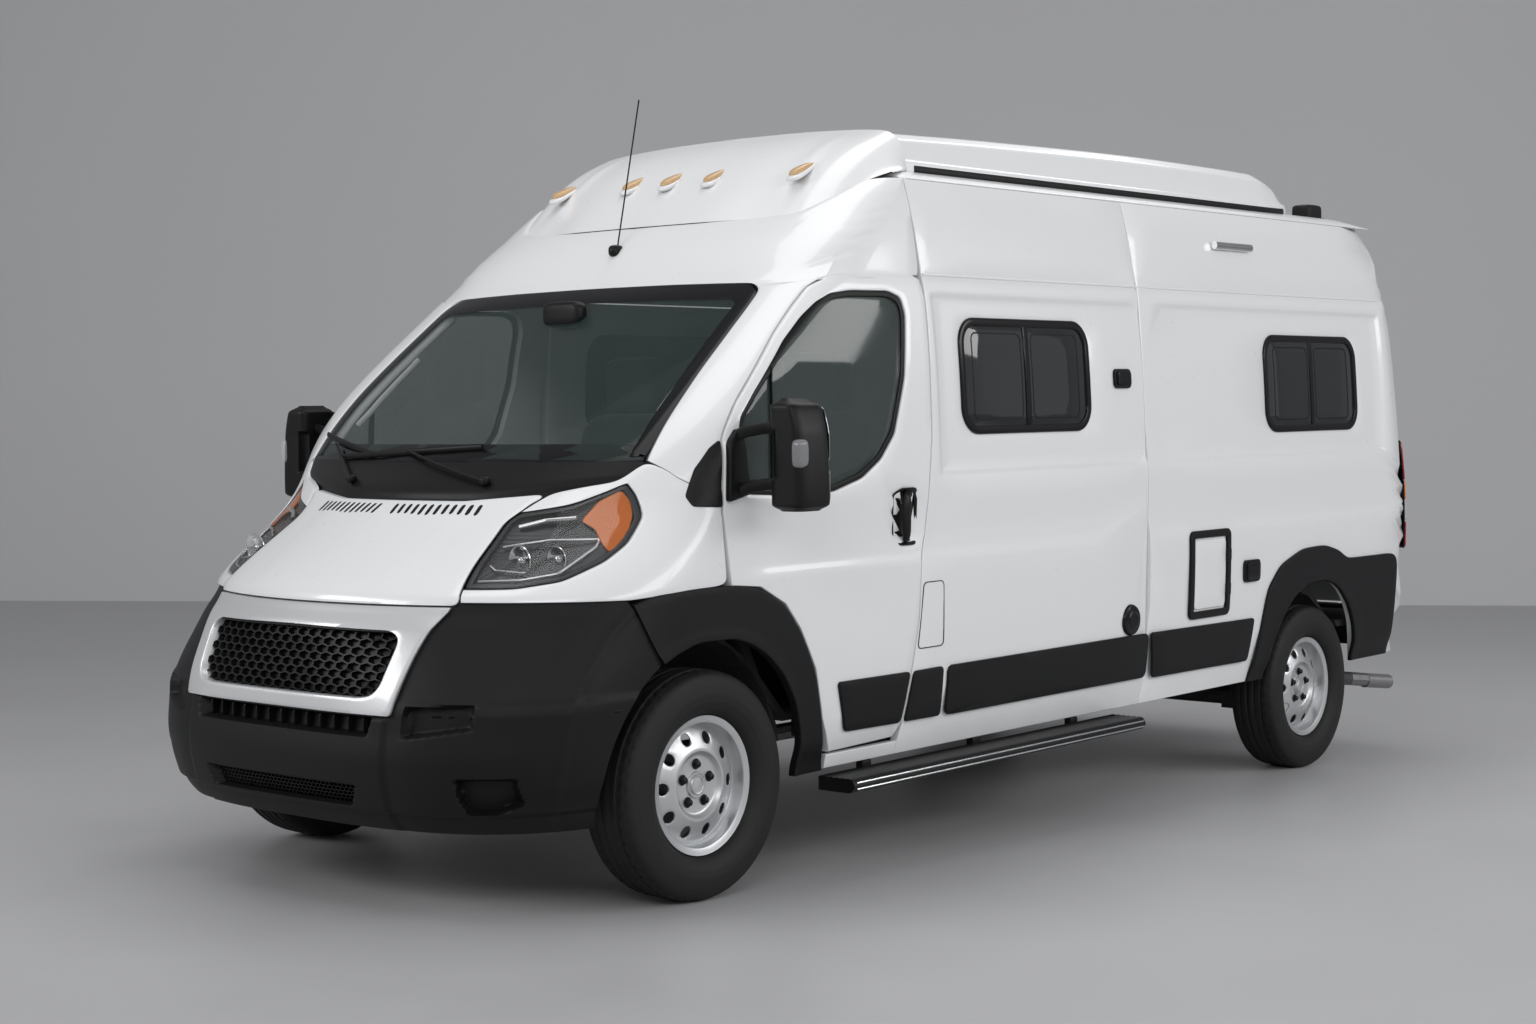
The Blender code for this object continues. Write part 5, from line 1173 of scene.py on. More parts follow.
@dataclass
class FrontBody:
    """Panels of the front: pillars and header, windscreen, bonnet, wings and the black cowl."""

    sheet: float = 0.02
    edge: float = 0.004

    def build(self) -> None:
        """Makes every panel."""
        self.frame()
        self.windscreen()
        self.bonnet()
        self.cowl()
        for sign, name in SIDES:
            self.wing(sign, name)

    def frame(self) -> None:
        """Pillars and header: a strip from the windscreen's edge out to the doors, the roof and the cap."""
        door = grown(DOOR_OUTLINE, SHUT_GAP)
        glass = [(0.836, 1.388), (0.8345, 1.4), (0.833, 1.43), (0.832, 1.46), (0.83, 1.5), (0.828, 1.56),
                 (0.825, 1.6), (0.821, 1.64), (0.815, 1.7), (0.801, 1.82), (0.791, 1.9), (0.784, 1.935),
                 (0.776, 1.946), (0.765, 1.954), (0.753, 1.96), (0.742, 1.964), (0.73, 1.967),
                 (0.72, 1.968), (0.69, 1.9695), (0.66, 1.97), (0.62, 1.971), (0.58, 1.972), (0.52, 1.973),
                 (0.4, 1.9755), (0.2, 1.977), (0.0, 1.978)]
        seam = front_places([(0.836, 1.387), (0.899, 1.358), (0.943, 1.325)])
        flank = side_places([(-0.0795, 1.262), (-0.086, 1.35), *door[2:12].tolist(), (-1.197, 1.996),
                             (-1.204, 2.28), (-1.204, 2.35)])
        cap = front_places([(0.866, 2.35), (0.815, 2.3415), (0.762, 2.2775), (0.7, 2.2255), (0.65, 2.2155),
                            (0.5, 2.2077), (0.3, 2.2057), (0.0, 2.2057)])
        outside = np.vstack([seam, flank, cap])
        inside = front_places(glass)
        inner, outer = paired(list(zip(inside, outside)), 8)
        part = shell(mirrored_line(outer), mirrored_line(inner), Skin.front, 0.034, Edge.OPEN, self.edge, 9)
        make("pillars_and_header", [part], Look.WHITE, ["front_frame"])

    def windscreen(self) -> None:
        """Curved glass with the black printed border, drawn by its distance from the edge."""
        line = softened(grown(both(WINDSCREEN_HALF), -0.0008), 240, 0.05)
        line = line[line[:, 1] > 1.38]
        outline = np.vstack([line, [(-0.829, 1.3855), (0.829, 1.3855)]])
        outer, inner, _ = rays(outline, None, (0.0, 1.66))
        part = shell(front_places(outer), front_places(inner), lifted(Skin.front, -0.004), 0.007, Edge.FILL,
                     0.002, 12)
        make("windscreen_glass", [part], Look.SCREEN, ["windscreen"])
        rim = grown(outer, -0.055)
        part = shell(front_places(outer), front_places(rim), lifted(Skin.front, -0.0035), 0.0004, Edge.RING,
                     0.0002)
        make("windscreen_border", [part], Look.BORDER)

    def bonnet(self) -> None:
        """Bonnet with a soft raised middle and the two slanted rows of vents."""
        def surface(place: Array, depth: Array) -> Array:
            """Front skin raised a few millimetres between the bonnet's two long creases.

            Args:
                place: surface places, (turn, z) or two coordinates, on the last axis.
                depth: depth inward from the skin.

            Returns:
                Points in the body frame.
            """
            points = Skin.front(place, depth)
            y, z = np.abs(points[..., 1]), points[..., 2]
            crease = 0.335 + 0.1 * (z - 1.0)
            points[..., 0] += 0.004 * step(y, crease + 0.02, crease - 0.02) * band(z, 1.02, 1.235, 0.03)
            return points

        outline = front_places(softened(both(HOOD_HALF), 260, 0.02))
        make("bonnet", [panel(outline, None, (0.0, 1.11), surface, 0.02, self.edge, 18)], Look.WHITE,
             ["hood"], body="hood")
        slots = []
        for sign in (1, -1):
            for k in range(12):
                y, low, high = 0.036 + 0.031 * k, 1.2215 + 0.002 * math.sin(k), 1.2525
                line = [(sign * (y + 0.006), low), (sign * (y + 0.02), low), (sign * (y + 0.012), high),
                        (sign * (y - 0.002), high)]
                slots.append(panel(softened(line, 16, 0.006), None, (sign * (y + 0.009), 1.237),
                                   lifted(surface, 0.0012), 0.0015, 0.0004, 3, front_places))
        make("bonnet_vents", slots, Look.BLACK, body="hood")

    def cowl(self) -> None:
        """Black panel under the glass, dipping under the bonnet, with two wipers and their spindles."""
        edge = Table([(0.0, 1.262), (0.3, 1.262), (0.585, 1.285), (0.85, 1.3)])
        y = np.linspace(-0.826, 0.826, 140)[None, :]
        share = np.linspace(0.0, 1.0, 14)[:, None]
        rise = np.array([-0.012, 0.0, 0.01, 0.022, 0.04])
        low = edge(np.abs(y)) + np.interp(share, np.linspace(0, 1, 5) * 0.5, rise)
        top = 1.3845
        z = np.where(share <= 0.5, low, low + (top - low) * (share - 0.5) * 2)
        z = np.maximum(z, 1.25 + 0 * y)
        sink = np.interp(share, [0.0, 0.125, 0.25, 0.5, 1.0], [0.036, 0.034, 0.026, 0.006, 0.006]) + 0 * y
        outer = Skin.front(join(Skin.turn_at_y(y + 0 * z, z), z), sink)
        inner = Skin.front(join(Skin.turn_at_y(y + 0 * z, z), z), sink + 0.012)
        rows = np.concatenate([outer, inner[::-1]])
        part = grid(rows.transpose(1, 0, 2), False, True, True)
        make("cowl_panel", [part], Look.BLACK, ["cowl"])
        self.wipers()

    def wipers(self) -> None:
        """Two wipers: an arm from its spindle and a blade lying on the glass."""
        def lie(points: Sequence[Sequence[float]], proud: float) -> Array:
            """Body points of (y, z) places, held proud of the glass."""
            return Skin.front(front_places(points), -proud)

        parts = []
        for spindle, tip, blade in (((0.33, 1.325), (-0.135, 1.42), ((-0.52, 1.395), (0.2, 1.432))),
                                    ((-0.33, 1.325), (-0.64, 1.44), ((-0.79, 1.47), (-0.33, 1.405)))):
            arm = lie(sampled([spindle, tip], 16), 0.02)
            parts.append(swept(arm, lambda s, a: (np.cos(a) * (0.01 - 0.005 * s), np.sin(a) * 0.005), 12))
            parts.append(oval(lie(sampled(blade, 28), 0.01), 0.006, 0.011))
            parts.append(box_form(lie([spindle], 0.014)[0], (0.017, 0.017, 0.014), 3.0, 12, 20))
        make("wipers", parts, Look.BLACK)

    def wing(self, sign: int, name: str) -> None:
        """Front wing: a strip round the lamp, from its inner top to its inner foot.

        Args:
            sign: 1 for the left side, -1 for the right.
            name: the side's name, left or right.
        """
        lamp = [(0.5385, 1.2305), (0.57, 1.2345), (0.6, 1.2395), (0.678, 1.2535), (0.757, 1.2925),
                (0.785, 1.3085), (0.806, 1.3195), (0.826, 1.302), (0.846, 1.2825), (0.871, 1.25),
                (0.894, 1.217), (0.901, 1.177), (0.907, 1.137), (0.8985, 1.109), (0.889, 1.0835),
                (0.859, 1.055), (0.828, 1.029), (0.776, 1.019), (0.724, 1.009), (0.65, 1.0075),
                (0.583, 1.007)]
        top = front_places([(0.54, 1.2318), (0.562, 1.258), (0.5975, 1.2885), (0.7, 1.3095),
                            (0.778, 1.3225), (0.831, 1.3835), (0.8985, 1.3575), (0.9425, 1.3245)])
        back = side_places([(-0.0785, 1.25), (-0.08, 1.17), (-0.09, 1.08), (-0.1005, 0.991)])
        foot = side_places([(0.083, 0.9895), (0.292, WING_FOOT_Z)])
        front = front_places([(y, WING_FOOT_Z) for y in (0.968, 0.935, 0.89, 0.81, 0.73, 0.66, 0.5975)])
        outside = np.vstack([top, back, foot, front])
        inner, outer = paired(list(zip(front_places(lamp), outside)), 8)
        part = shell(outer, inner, Skin.front, self.sheet, Edge.OPEN, self.edge, 8)
        make(f"wing_{name}", [part], Look.WHITE, [f"front_wing_{name}"], side=sign)


@dataclass
class Nose:
    """Bumper with its slot, mouth and lamp pockets, the painted surround and the honeycomb."""

    low_z: float = 0.285
    crease: Table = Table([(0.304, 0.881), (0.453, 0.926), (0.578, 0.945), (0.717, 0.958), (0.857, 0.968),
                           (0.941, 0.987)])
    seam_top: tuple[float, float] = (0.292, 0.943)

    def build(self) -> None:
        """Makes each piece."""
        self.bumper()
        self.surround()
        self.honeycomb()

    def limit(self, z: Array) -> Array:
        """Turn of the bumper's outer edge: the seam with the flare above, the arch's lip below.

        Args:
            z: height in the body frame.

        Returns:
            The largest turn of the bumper at that height.
        """
        x0, z0, radius = FRONT_ARCH
        lip = x0 + np.sqrt(np.maximum(radius ** 2 - (z - z0) ** 2, 0.02))
        foot_x, foot_z = 0.2072, 0.7743
        seam = foot_x + (z - foot_z) * (self.seam_top[0] - foot_x) / (self.seam_top[1] - foot_z)
        x = np.where(z > foot_z, seam, np.maximum(lip, foot_x))
        return Skin.turn_at_x(np.minimum(x, 0.42), z)

    def pockets(self, y: Array, z: Array) -> Array:
        """Depth of the recesses: slot, mouth, and an upper and a lower pocket on each side.

        Args:
            y: distance from the middle plane.
            z: height.

        Returns:
            Depths of the pockets.
        """
        y = np.abs(y)
        slot = step(y, 0.43 - (0.634 - z) * 0.28 + 0.006, 0.43 - (0.634 - z) * 0.28 - 0.006)
        slot = slot * band(z, 0.583, 0.63, 0.006) * 0.045
        mouth = step(y, 0.366 - (0.424 - z) * 0.42 + 0.006, 0.366 - (0.424 - z) * 0.42 - 0.006)
        mouth = mouth * band(z, 0.367, 0.42, 0.006) * 0.05
        upper_low = 0.574 + (y - 0.56) * 0.15
        upper_high = 0.672 + (y - 0.57) * 0.06
        upper = band(y, 0.562, 0.752, 0.012) * step(z, upper_low, upper_low + 0.012)
        upper = upper * step(z, upper_high, upper_high - 0.012) * 0.03
        reach = 0.347 + np.maximum(0.733 - y, 0.0) * 3.6 + np.maximum(y - 0.79, 0.0) * 0.45
        lower = band(y, 0.722, 0.85, 0.008) * step(z, reach, reach + 0.012) * step(z, 0.464, 0.452) * 0.045
        return np.maximum(np.maximum(slot, mouth), np.maximum(upper, lower))

    def surface(self, place: Array, depth: Array | float) -> Array:
        """Front skin with the bumper's step, chin and pockets.

        Args:
            place: surface places, (turn, z) or two coordinates, on the last axis.
            depth: depth inward from the skin.

        Returns:
            Points in the body frame.
        """
        points = Skin.front(place, 0.0)
        y, z = points[..., 1], points[..., 2]
        ledge = 0.012 * step(z, 0.7, 0.672) * step(np.abs(y), 0.45, 0.58)
        chin = 0.014 * step(z, 0.352, 0.34)
        fold = Skin.turn_at_y(self.crease(z), z) - np.abs(place[..., 0])
        ridge = 0.006 * np.exp(-(fold / 0.02) ** 2) + 0.004 * step(fold, -0.01, -0.05)
        centre = 0.008 * step(np.abs(y), 0.5, 0.47) * step(z, 0.64, 0.625)
        return Skin.front(place, depth + self.pockets(y, z) * np.where(np.asarray(depth) > 0.02, 0.0, 1.0)
                          + 0.01 - ledge * 0.5 + chin - ridge - centre)

    def bumper(self) -> None:
        """Skin from the chin to the wings' foot, in halves that meet on the middle plane."""
        side = Table([(z, y) for y, z in ((0.506, 0.64), (0.521, 0.728), (0.532, 0.809), (0.549, 0.889),
                                          (0.5765, 0.957), (0.5965, 0.971))])
        parts = []
        for low, high, rows, inner in ((self.low_z, 0.64, 72, None),
                                       (0.64, WING_FOOT_Z - 0.0005, 40, side)):
            z = np.linspace(low, high, rows)[:, None]
            first = Skin.turn_at_y(side(z), z)
            last = self.limit(z)
            outer_part = first + (last - first) * np.linspace(0.0, 1.0, 70)[None, :]
            if inner is None:
                inner_part = first * np.linspace(0.0, 1.0, 52)[None, :-1]
                turns = np.concatenate([inner_part, outer_part], axis=1)
            else:
                turns = outer_part
            place = join(turns, z)
            front = self.surface(place, 0.0)
            back = Skin.front(place, 0.062)
            section = np.concatenate([front, back[::-1]], axis=0)
            parts.append(grid(section, True, False))
        pieces = [on_side(part, sign) for part in parts for sign in (1, -1)]
        make("bumper", pieces, Look.DARK, ["front_bumper"], sharp=50.0)
        fins = []
        for y in np.linspace(-0.396, 0.396, 13):
            spot = Skin.front(front_places([(float(y), 0.6065)]), 0.04)[0]
            fins.append(box_form(spot, (0.018, 0.0035, 0.0245), 5.0, 10, 16))
        fins += self.cells(-0.352, 0.352, 0.366, 0.424, 0.0075, 0.0016, 1.5, 0.03)
        make("bumper_mesh", fins, Look.BLACK, sharp=30.0)

    def surround(self) -> None:
        """Painted ring round the grille, with a soft crown across its width."""
        outer, inner = softened(both(SURROUND_HALF), 360, 0.02), softened(both(GRILLE_HALF), 360, 0.035)
        part = panel(outer, inner, (0.0, 0.795), lifted(Skin.front, 0.005), 0.036, 0.007, 6, front_places)
        make("grille_frame", [part], Look.SILVER, ["grille_surround"])

    def honeycomb(self) -> None:
        """Backing panel, a sheet of six-sided cells that stand forward of it, and a lip along the top."""
        outline = front_places(softened(grown(both(GRILLE_HALF), -0.001), 240, 0.03))
        lip = front_places(sampled([(-0.44, 0.884), (0.0, 0.8885), (0.44, 0.884)], 60))
        parts = [panel(outline, None, (0.0, 0.795), lifted(Skin.front, -0.028), 0.004, 0.001, 5),
                 *self.cells(-0.45, 0.45, 0.7, 0.885, 0.0155, 0.003, 1.9, 0.012),
                 oval(Skin.front(lip, 0.006), 0.006, 0.004, 10)]
        make("honeycomb", parts, Look.BLACK, ["grille"], sharp=30.0)

    def cells(self, left: float, right: float, low: float, high: float, size: float, wall: float,
              stretch: float, sink: float) -> list[Part]:
        """Six-sided rings whose centres lie on a staggered grid, each with a front and a back ring.

        Args:
            left: first limit of y.
            right: second limit of y.
            low: lower height.
            high: upper height.
            size: distance of neighbouring cells.
            wall: thickness of the walls.
            stretch: a cell's width over its height.
            sink: depth behind the skin.

        Returns:
            Its parts.
        """
        pitch_y, pitch_z = size * math.sqrt(3.0) * stretch, size * 1.5
        rows, columns = int((high - low) / pitch_z) + 1, int((right - left) / pitch_y) + 1
        r, c = np.meshgrid(np.arange(rows), np.arange(columns), indexing="ij")
        y = left + (c + 0.5 * (r % 2)) * pitch_y + pitch_y / 2
        z = low + r * pitch_z + size / 2
        keep = (np.abs(y) < 0.446 - (0.885 - z) * 0.1) & (z < high - size * 0.4) & (y < right)
        y, z = y[keep], z[keep]
        angle = np.radians(30 + 60 * np.arange(6))[None, :]
        rings = []
        for radius, deep in ((size, 0.0), (size - wall, 0.0), (size - wall, 0.017), (size, 0.017)):
            ry = y[:, None] + (radius * stretch + (size - radius) * (stretch - 1.0)) * np.cos(angle)
            rz = z[:, None] + radius * np.sin(angle)
            rings.append(Skin.front(join(Skin.turn_at_y(ry, rz), rz), sink + deep))
        return [repeated(np.stack(rings, axis=1), weave(4, 6, True, True))]


def rounded_box(x0: float, x1: float, z0: float, z1: float, radius: float, count: int = 10) -> Array:
    """Rectangle with its corners turned to arcs.

    Args:
        x0: first limit of the first coordinate.
        x1: second limit of the first coordinate.
        z0: first limit of the second coordinate.
        z1: second limit of the second coordinate.
        radius: radius of the corners.
        count: points in each corner.

    Returns:
        The closed line.
    """
    x0, x1 = sorted((x0, x1))
    turn = np.radians(np.linspace(0.0, 90.0, count))
    lines = []
    for k, (cx, cz) in enumerate(((x1 - radius, z1 - radius), (x0 + radius, z1 - radius),
                                  (x0 + radius, z0 + radius), (x1 - radius, z0 + radius))):
        angle = turn + k * math.pi / 2
        lines.append(join(cx + radius * np.cos(angle), cz + radius * np.sin(angle)))
    return np.concatenate(lines)


def box_centre(box: Sequence[float]) -> tuple[float, float]:
    """Middle of a box given by its four limits."""
    return (box[0] + box[1]) / 2, (box[2] + box[3]) / 2


def plain_box(x0: float, x1: float, z0: float, z1: float) -> Array:
    """Rectangle by its four corners."""
    return np.array([(x0, z0), (x1, z0), (x1, z1), (x0, z1)], float)


SLIDING = (-2.6, -1.25, 0.385, 1.985)
CAMPER_WINDOWS = {"front_left": (1, -1.39, -2.24, 1.441, 1.862),
                  "rear_left": (1, -3.63, -4.5, 1.408, 1.833),
                  "door_right": (-1, -1.45, -2.3, 1.441, 1.862),
                  "rear_right": (-1, -3.63, -4.5, 1.408, 1.833)}
CREASES = [plain_box(-9.0, 4.0, 0.995, 2.016), plain_box(-9.0, 4.0, 1.055, 2.0),
           plain_box(-4.775, -1.235, 1.295, 1.948), plain_box(-4.745, -1.265, 1.32, 1.923)]


@dataclass
class Sides:
    """Side walls with their pressed recess, the sliding door, camper windows and what is fixed to them."""

    sheet: float = 0.03
    edge: float = 0.004
    front_edge: tuple = ((-1.2105, 2.35), (-1.2105, 1.93), (-1.1975, 1.431), (-1.1495, 1.102),
                         (-1.1175, 1.01), (-1.1025, 0.812), (-1.0705, 0.636), (-1.0325, 0.446),
                         (-1.027, 0.3815), (-1.022, 0.335))

    def build(self) -> None:
        """Makes both walls, the door and the fittings."""
        for sign, name in SIDES:
            parts = [self.fore(sign), self.aft(), self.tongue()]
            make(f"wall_{name}", parts, Look.WHITE, [f"side_wall_{name}"], side=sign)
            self.strips(sign, name)
        self.sliding_door()
        for name, (sign, x0, x1, z0, z1) in CAMPER_WINDOWS.items():
            self.window(name, sign, x0, x1, z0, z1)
        self.fittings()

    @staticmethod
    def opening(name: str) -> Array:
        """Hole of a camper window in its wall."""
        _, front, back, low, high = CAMPER_WINDOWS[name]
        return rounded_box(back + 0.004, front - 0.004, low + 0.004, high - 0.004, 0.096)

    def panel(self, outer: Array, hole: Array, centre: tuple[float, float], creases: int = 4) -> Part:
        """Wall panel round a hole, its rows run along the creases."""
        outer, inner, between = rays(outer, hole, centre, CREASES[:creases], 13)
        return shell(outer, inner, Skin.flank, self.sheet, Edge.RING, self.edge, 4, between)

    def fore(self, sign: int) -> Part:
        """Panel from the cab door back to the first seam, round its window or the sliding door.

        Args:
            sign: 1 for the left side, -1 for the right.

        Returns:
            Points and faces.
        """
        outer = np.array([*self.front_edge, (-2.6375, 0.335), (-2.6375, 2.35)])
        if sign > 0:
            return self.panel(outer, self.opening("front_left"), (-1.815, 1.65))
        hole = rounded_box(SLIDING[0] - SHUT_GAP, SLIDING[1] + SHUT_GAP, SLIDING[2] - SHUT_GAP,
                           SLIDING[3] + SHUT_GAP, 0.055)
        return self.panel(outer, hole, (-1.92, 1.19), 2)

    def aft(self) -> Part:
        """Panel from the seam round the rear corner to the doorway, round its window and over the arch.

        Returns:
            Points and faces.
        """
        z = np.linspace(2.35, 0.335, 24)
        corner = join(Skin.corner_run(z, 0.8055), z)
        arch = arc((REAR_ARCH[0], REAR_ARCH[1], REAR_ARCH[2] + 0.016), 162, 18, 25)
        outer = np.vstack([[(-2.6405, 0.335), (-2.6405, 2.35)], corner, [(-4.545, 0.335)], arch,
                           [(-3.585, 0.335)]])
        return self.panel(outer, self.opening("rear_left"), (-4.065, 1.62))

    def tongue(self) -> Part:
        """Sill strip that runs on under the cab door.

        Returns:
            Points and faces.
        """
        x = np.linspace(-0.635, -1.0235, 12)
        rows = [join(x, z) for z in (0.3815, 0.335)]
        return shell(rows[1], rows[0], Skin.flank, self.sheet, Edge.OPEN, 0.003)

    def sliding_door(self) -> None:
        """Sliding door on the right, round its window, with its handle."""
        part = self.panel(rounded_box(*SLIDING, 0.05), self.opening("door_right"), (-1.875, 1.65))
        make("sliding_door", [part], Look.WHITE, ["sliding_door_right"], side=-1)
        make("sliding_door_handle", handle((-1.335, 1.165), Skin.flank), Look.BLACK, side=-1)

    @staticmethod
    def recessed(place: Array, depth: Array | float) -> Array:
        """The bottom of the window recess: the plain side, sunk by the recess."""
        return Skin.side(place, depth + Relief.recess_depth)

    def window(self, name: str, sign: int, x0: float, x1: float, z0: float, z1: float) -> None:
        """Framed window of two panes: a black frame, tinted glass and the bar between the panes.

        Args:
            name: the window's name.
            sign: 1 for the left side, -1 for the right.
            x0: front edge.
            x1: rear edge.
            z0: lower edge.
            z1: upper edge.
        """
        x0, x1 = sorted((x0, x1))
        outer = rounded_box(x0, x1, z0, z1, 0.1)
        inner = rounded_box(x0 + 0.03, x1 - 0.03, z0 + 0.03, z1 - 0.03, 0.072)
        centre = ((x0 + x1) / 2, (z0 + z1) / 2)
        a, b, _ = rays(outer, inner, centre)

        def crowned(lift: float) -> Callable[[Array, Array], Array]:
            """Surface held proud of the recess."""
            return lambda place, depth: self.recessed(place, depth - lift)

        frame = shell(a, b, crowned(0.0085), 0.032, Edge.RING, 0.005)
        bar = rounded_box(centre[0] - 0.016, centre[0] + 0.016, z0 + 0.012, z1 - 0.012, 0.008, 4)
        middle = panel(bar, None, centre, crowned(0.0065), 0.01, 0.003)
        make(f"window_frame_{name}", (frame, middle), Look.GLOSS, [f"camper_window_{name}"], side=sign)
        glass = grown(inner, 0.004)
        pane = panel(glass, None, centre, crowned(0.003), 0.006, 0.001, 4)
        make(f"window_glass_{name}", [pane], Look.TINTED, side=sign)
        lines = []
        for shift in (-0.19, 0.19):
            inset = rounded_box(centre[0] + shift - 0.158, centre[0] + shift + 0.158, z0 + 0.052,
                                z1 - 0.052, 0.03)
            thin = grown(inset, -0.006)
            lines.append(panel(inset, thin, (centre[0] + shift, centre[1]), crowned(0.0042), 0.003, 0.001))
        make(f"window_lines_{name}", lines, Look.BLACK, side=sign)

    def strips(self, sign: int, name: str) -> None:
        """Black cladding strips along the sill and the gutter line above the doors.

        Args:
            sign: 1 for the left side, -1 for the right.
            name: the side's name, left or right.
        """
        fore = [[(-1.073, 0.624), (-1.244, 0.626), (-1.244, 0.447), (-1.036, 0.449)],
                [(-2.651, 0.624), (-3.5, 0.616), (-3.47, 0.431), (-2.686, 0.437)]]
        if sign > 0:
            fore.append([(-1.273, 0.625), (-2.632, 0.625), (-2.632, 0.445), (-1.273, 0.445)])
        parts = [self.strip(line) for line in fore]
        if sign < 0:
            door = self.strip([(-1.262, 0.625), (-2.59, 0.625), (-2.59, 0.445), (-1.262, 0.445)])
            make("cladding_door", [door], Look.DARK, side=-1)
        make(f"cladding_{name}", parts, Look.DARK, side=sign)
        x = np.linspace(-1.215, -4.786, 160)
        path = Skin.side(join(x, Relief.gutter_z), 0.001)
        bar = oval(path, 0.0035, 0.0045, 10)
        make(f"gutter_{name}", [bar], Look.WHITE, side=sign)

    @staticmethod
    def strip(corners: Sequence[tuple[float, float]]) -> Part:
        """Four-cornered moulding, 9 mm proud with soft edges.

        Args:
            corners: the strip's corners, (x, z).

        Returns:
            Points and faces.
        """
        line = softened(corners, 140, 0.03)
        centre = line.mean(axis=0)
        return panel(line, None, centre, lifted(Skin.side, 0.01), 0.0095, 0.006, 4)

    def fittings(self) -> None:
        """What is fixed to the left wall: hatches, filler, socket, porch and awning lights."""
        def plate(box: tuple[float, ...], radius: float, lift: float, thick: float) -> Part:
            """Rounded plate held proud of the wall."""
            return panel(rounded_box(*box, radius), None, box_centre(box), lifted(Skin.side, lift), thick,
                         0.002)

        def rim(box: tuple[float, ...], radius: float, wide: float, lift: float, thick: float) -> Part:
            """Rounded frame held proud of the wall."""
            line = rounded_box(*box, radius)
            return panel(line, grown(line, -wide), box_centre(box), lifted(Skin.side, lift), thick, 0.002)

        hatch, socket, porch = (-3.27, -2.94, 0.65, 1.015), (-3.52, -3.39, 0.775, 0.87), (-2.53, -2.412,
                1.604, 1.68)
        make("hatch_frame", [rim(hatch, 0.03, 0.036, 0.011, 0.0105)], Look.BLACK)
        make("hatch_door", [plate((hatch[0] + 0.04, hatch[1] - 0.04, hatch[2] + 0.04, hatch[3] - 0.04),
                                  0.02, 0.007, 0.0068)], Look.WHITE)
        latches = [plate((-3.262, -3.228, z - 0.03, z + 0.03), 0.012, 0.017, 0.01) for z in (0.76, 0.905)]
        make("hatch_latches", latches, Look.BLACK)
        make("socket_cover", [rim(socket, 0.02, 0.012, 0.014, 0.0135),
                              plate((socket[0] + 0.01, socket[1] - 0.01, socket[2] + 0.01,
                                     socket[3] - 0.01), 0.014, 0.02, 0.0195)], Look.GLOSS)
        cap = revolved([(0.0, 0.018), (0.03, 0.018), (0.036, 0.014), (0.048, 0.013), (0.058, 0.01),
                        (0.062, 0.002), (0.062, -0.004), (0.0, -0.004)],
                       (-2.497, float(Skin.width(0.688)), 0.688), 64, False, 60)
        make("water_filler", [cap], Look.GLOSS)
        flap = softened([(-1.124, 0.93), (-1.24, 0.93), (-1.244, 0.7), (-1.094, 0.7)], 90, 0.03)
        make("fuel_flap_line", [panel(grown(flap, 0.002), grown(flap, -0.0015), flap.mean(axis=0),
                                      lifted(Skin.side, 0.0008), 0.0012, 0.0004)], Look.BLACK)
        make("porch_base", [rim(porch, 0.02, 0.012, 0.012 - Relief.recess_depth, 0.012)], Look.BLACK)
        x0, x1, z0, z1 = porch
        make("porch_lens", [plate((x0 + 0.011, x1 - 0.011, z0 + 0.011, z1 - 0.011), 0.012, 0.008, 0.0175)],
             Look.GLOSS)
        line = join(np.linspace(-3.3, -3.61, 24), 2.204)
        path = Skin.side(line, -0.016)
        make("awning_light", [oval(path, 0.014, 0.017, 20)], Look.CHROME)


def handle(place: tuple[float, float], surface: Surface) -> list[Part]:
    """Door handle: a black rounded cup drawn on the skin and a grip standing in front of it.

    Args:
        place: middle of the handle, (x, z).
        surface: gives points from places and depths.

    Returns:
        Its parts.
    """
    x, z = place
    line = rounded_box(x - 0.072, x + 0.072, z - 0.1, z + 0.1, 0.045)
    inside = grown(line, -0.012)
    rim = panel(line, inside, (x, z), lifted(surface, 0.006), 0.006, 0.003)
    a, b, _ = rays(inside, None, (x, z))

    def bowl(p: Array, d: Array | float) -> Array:
        """Cup: nearly flush with the skin at its rim, a little behind the rim's top in the middle."""
        return surface(p, d - 0.0012)

    cup = shell(a, b, bowl, 0.001, Edge.FILL, 0.0004)
    t = np.linspace(-1.0, 1.0, 30)
    path = surface(join(x + 0.01 * (1 - t ** 2), z + 0.088 * t), -0.012 - 0.016 * (1 - t ** 4))
    grip = swept(path, lambda s, u: (np.cos(u) * 0.009, np.sin(u) * (0.022 - 0.008 * (2 * s - 1) ** 2)), 20,
                 False, (1.0, 0.0, 0.0))
    return [rim, cup, grip]


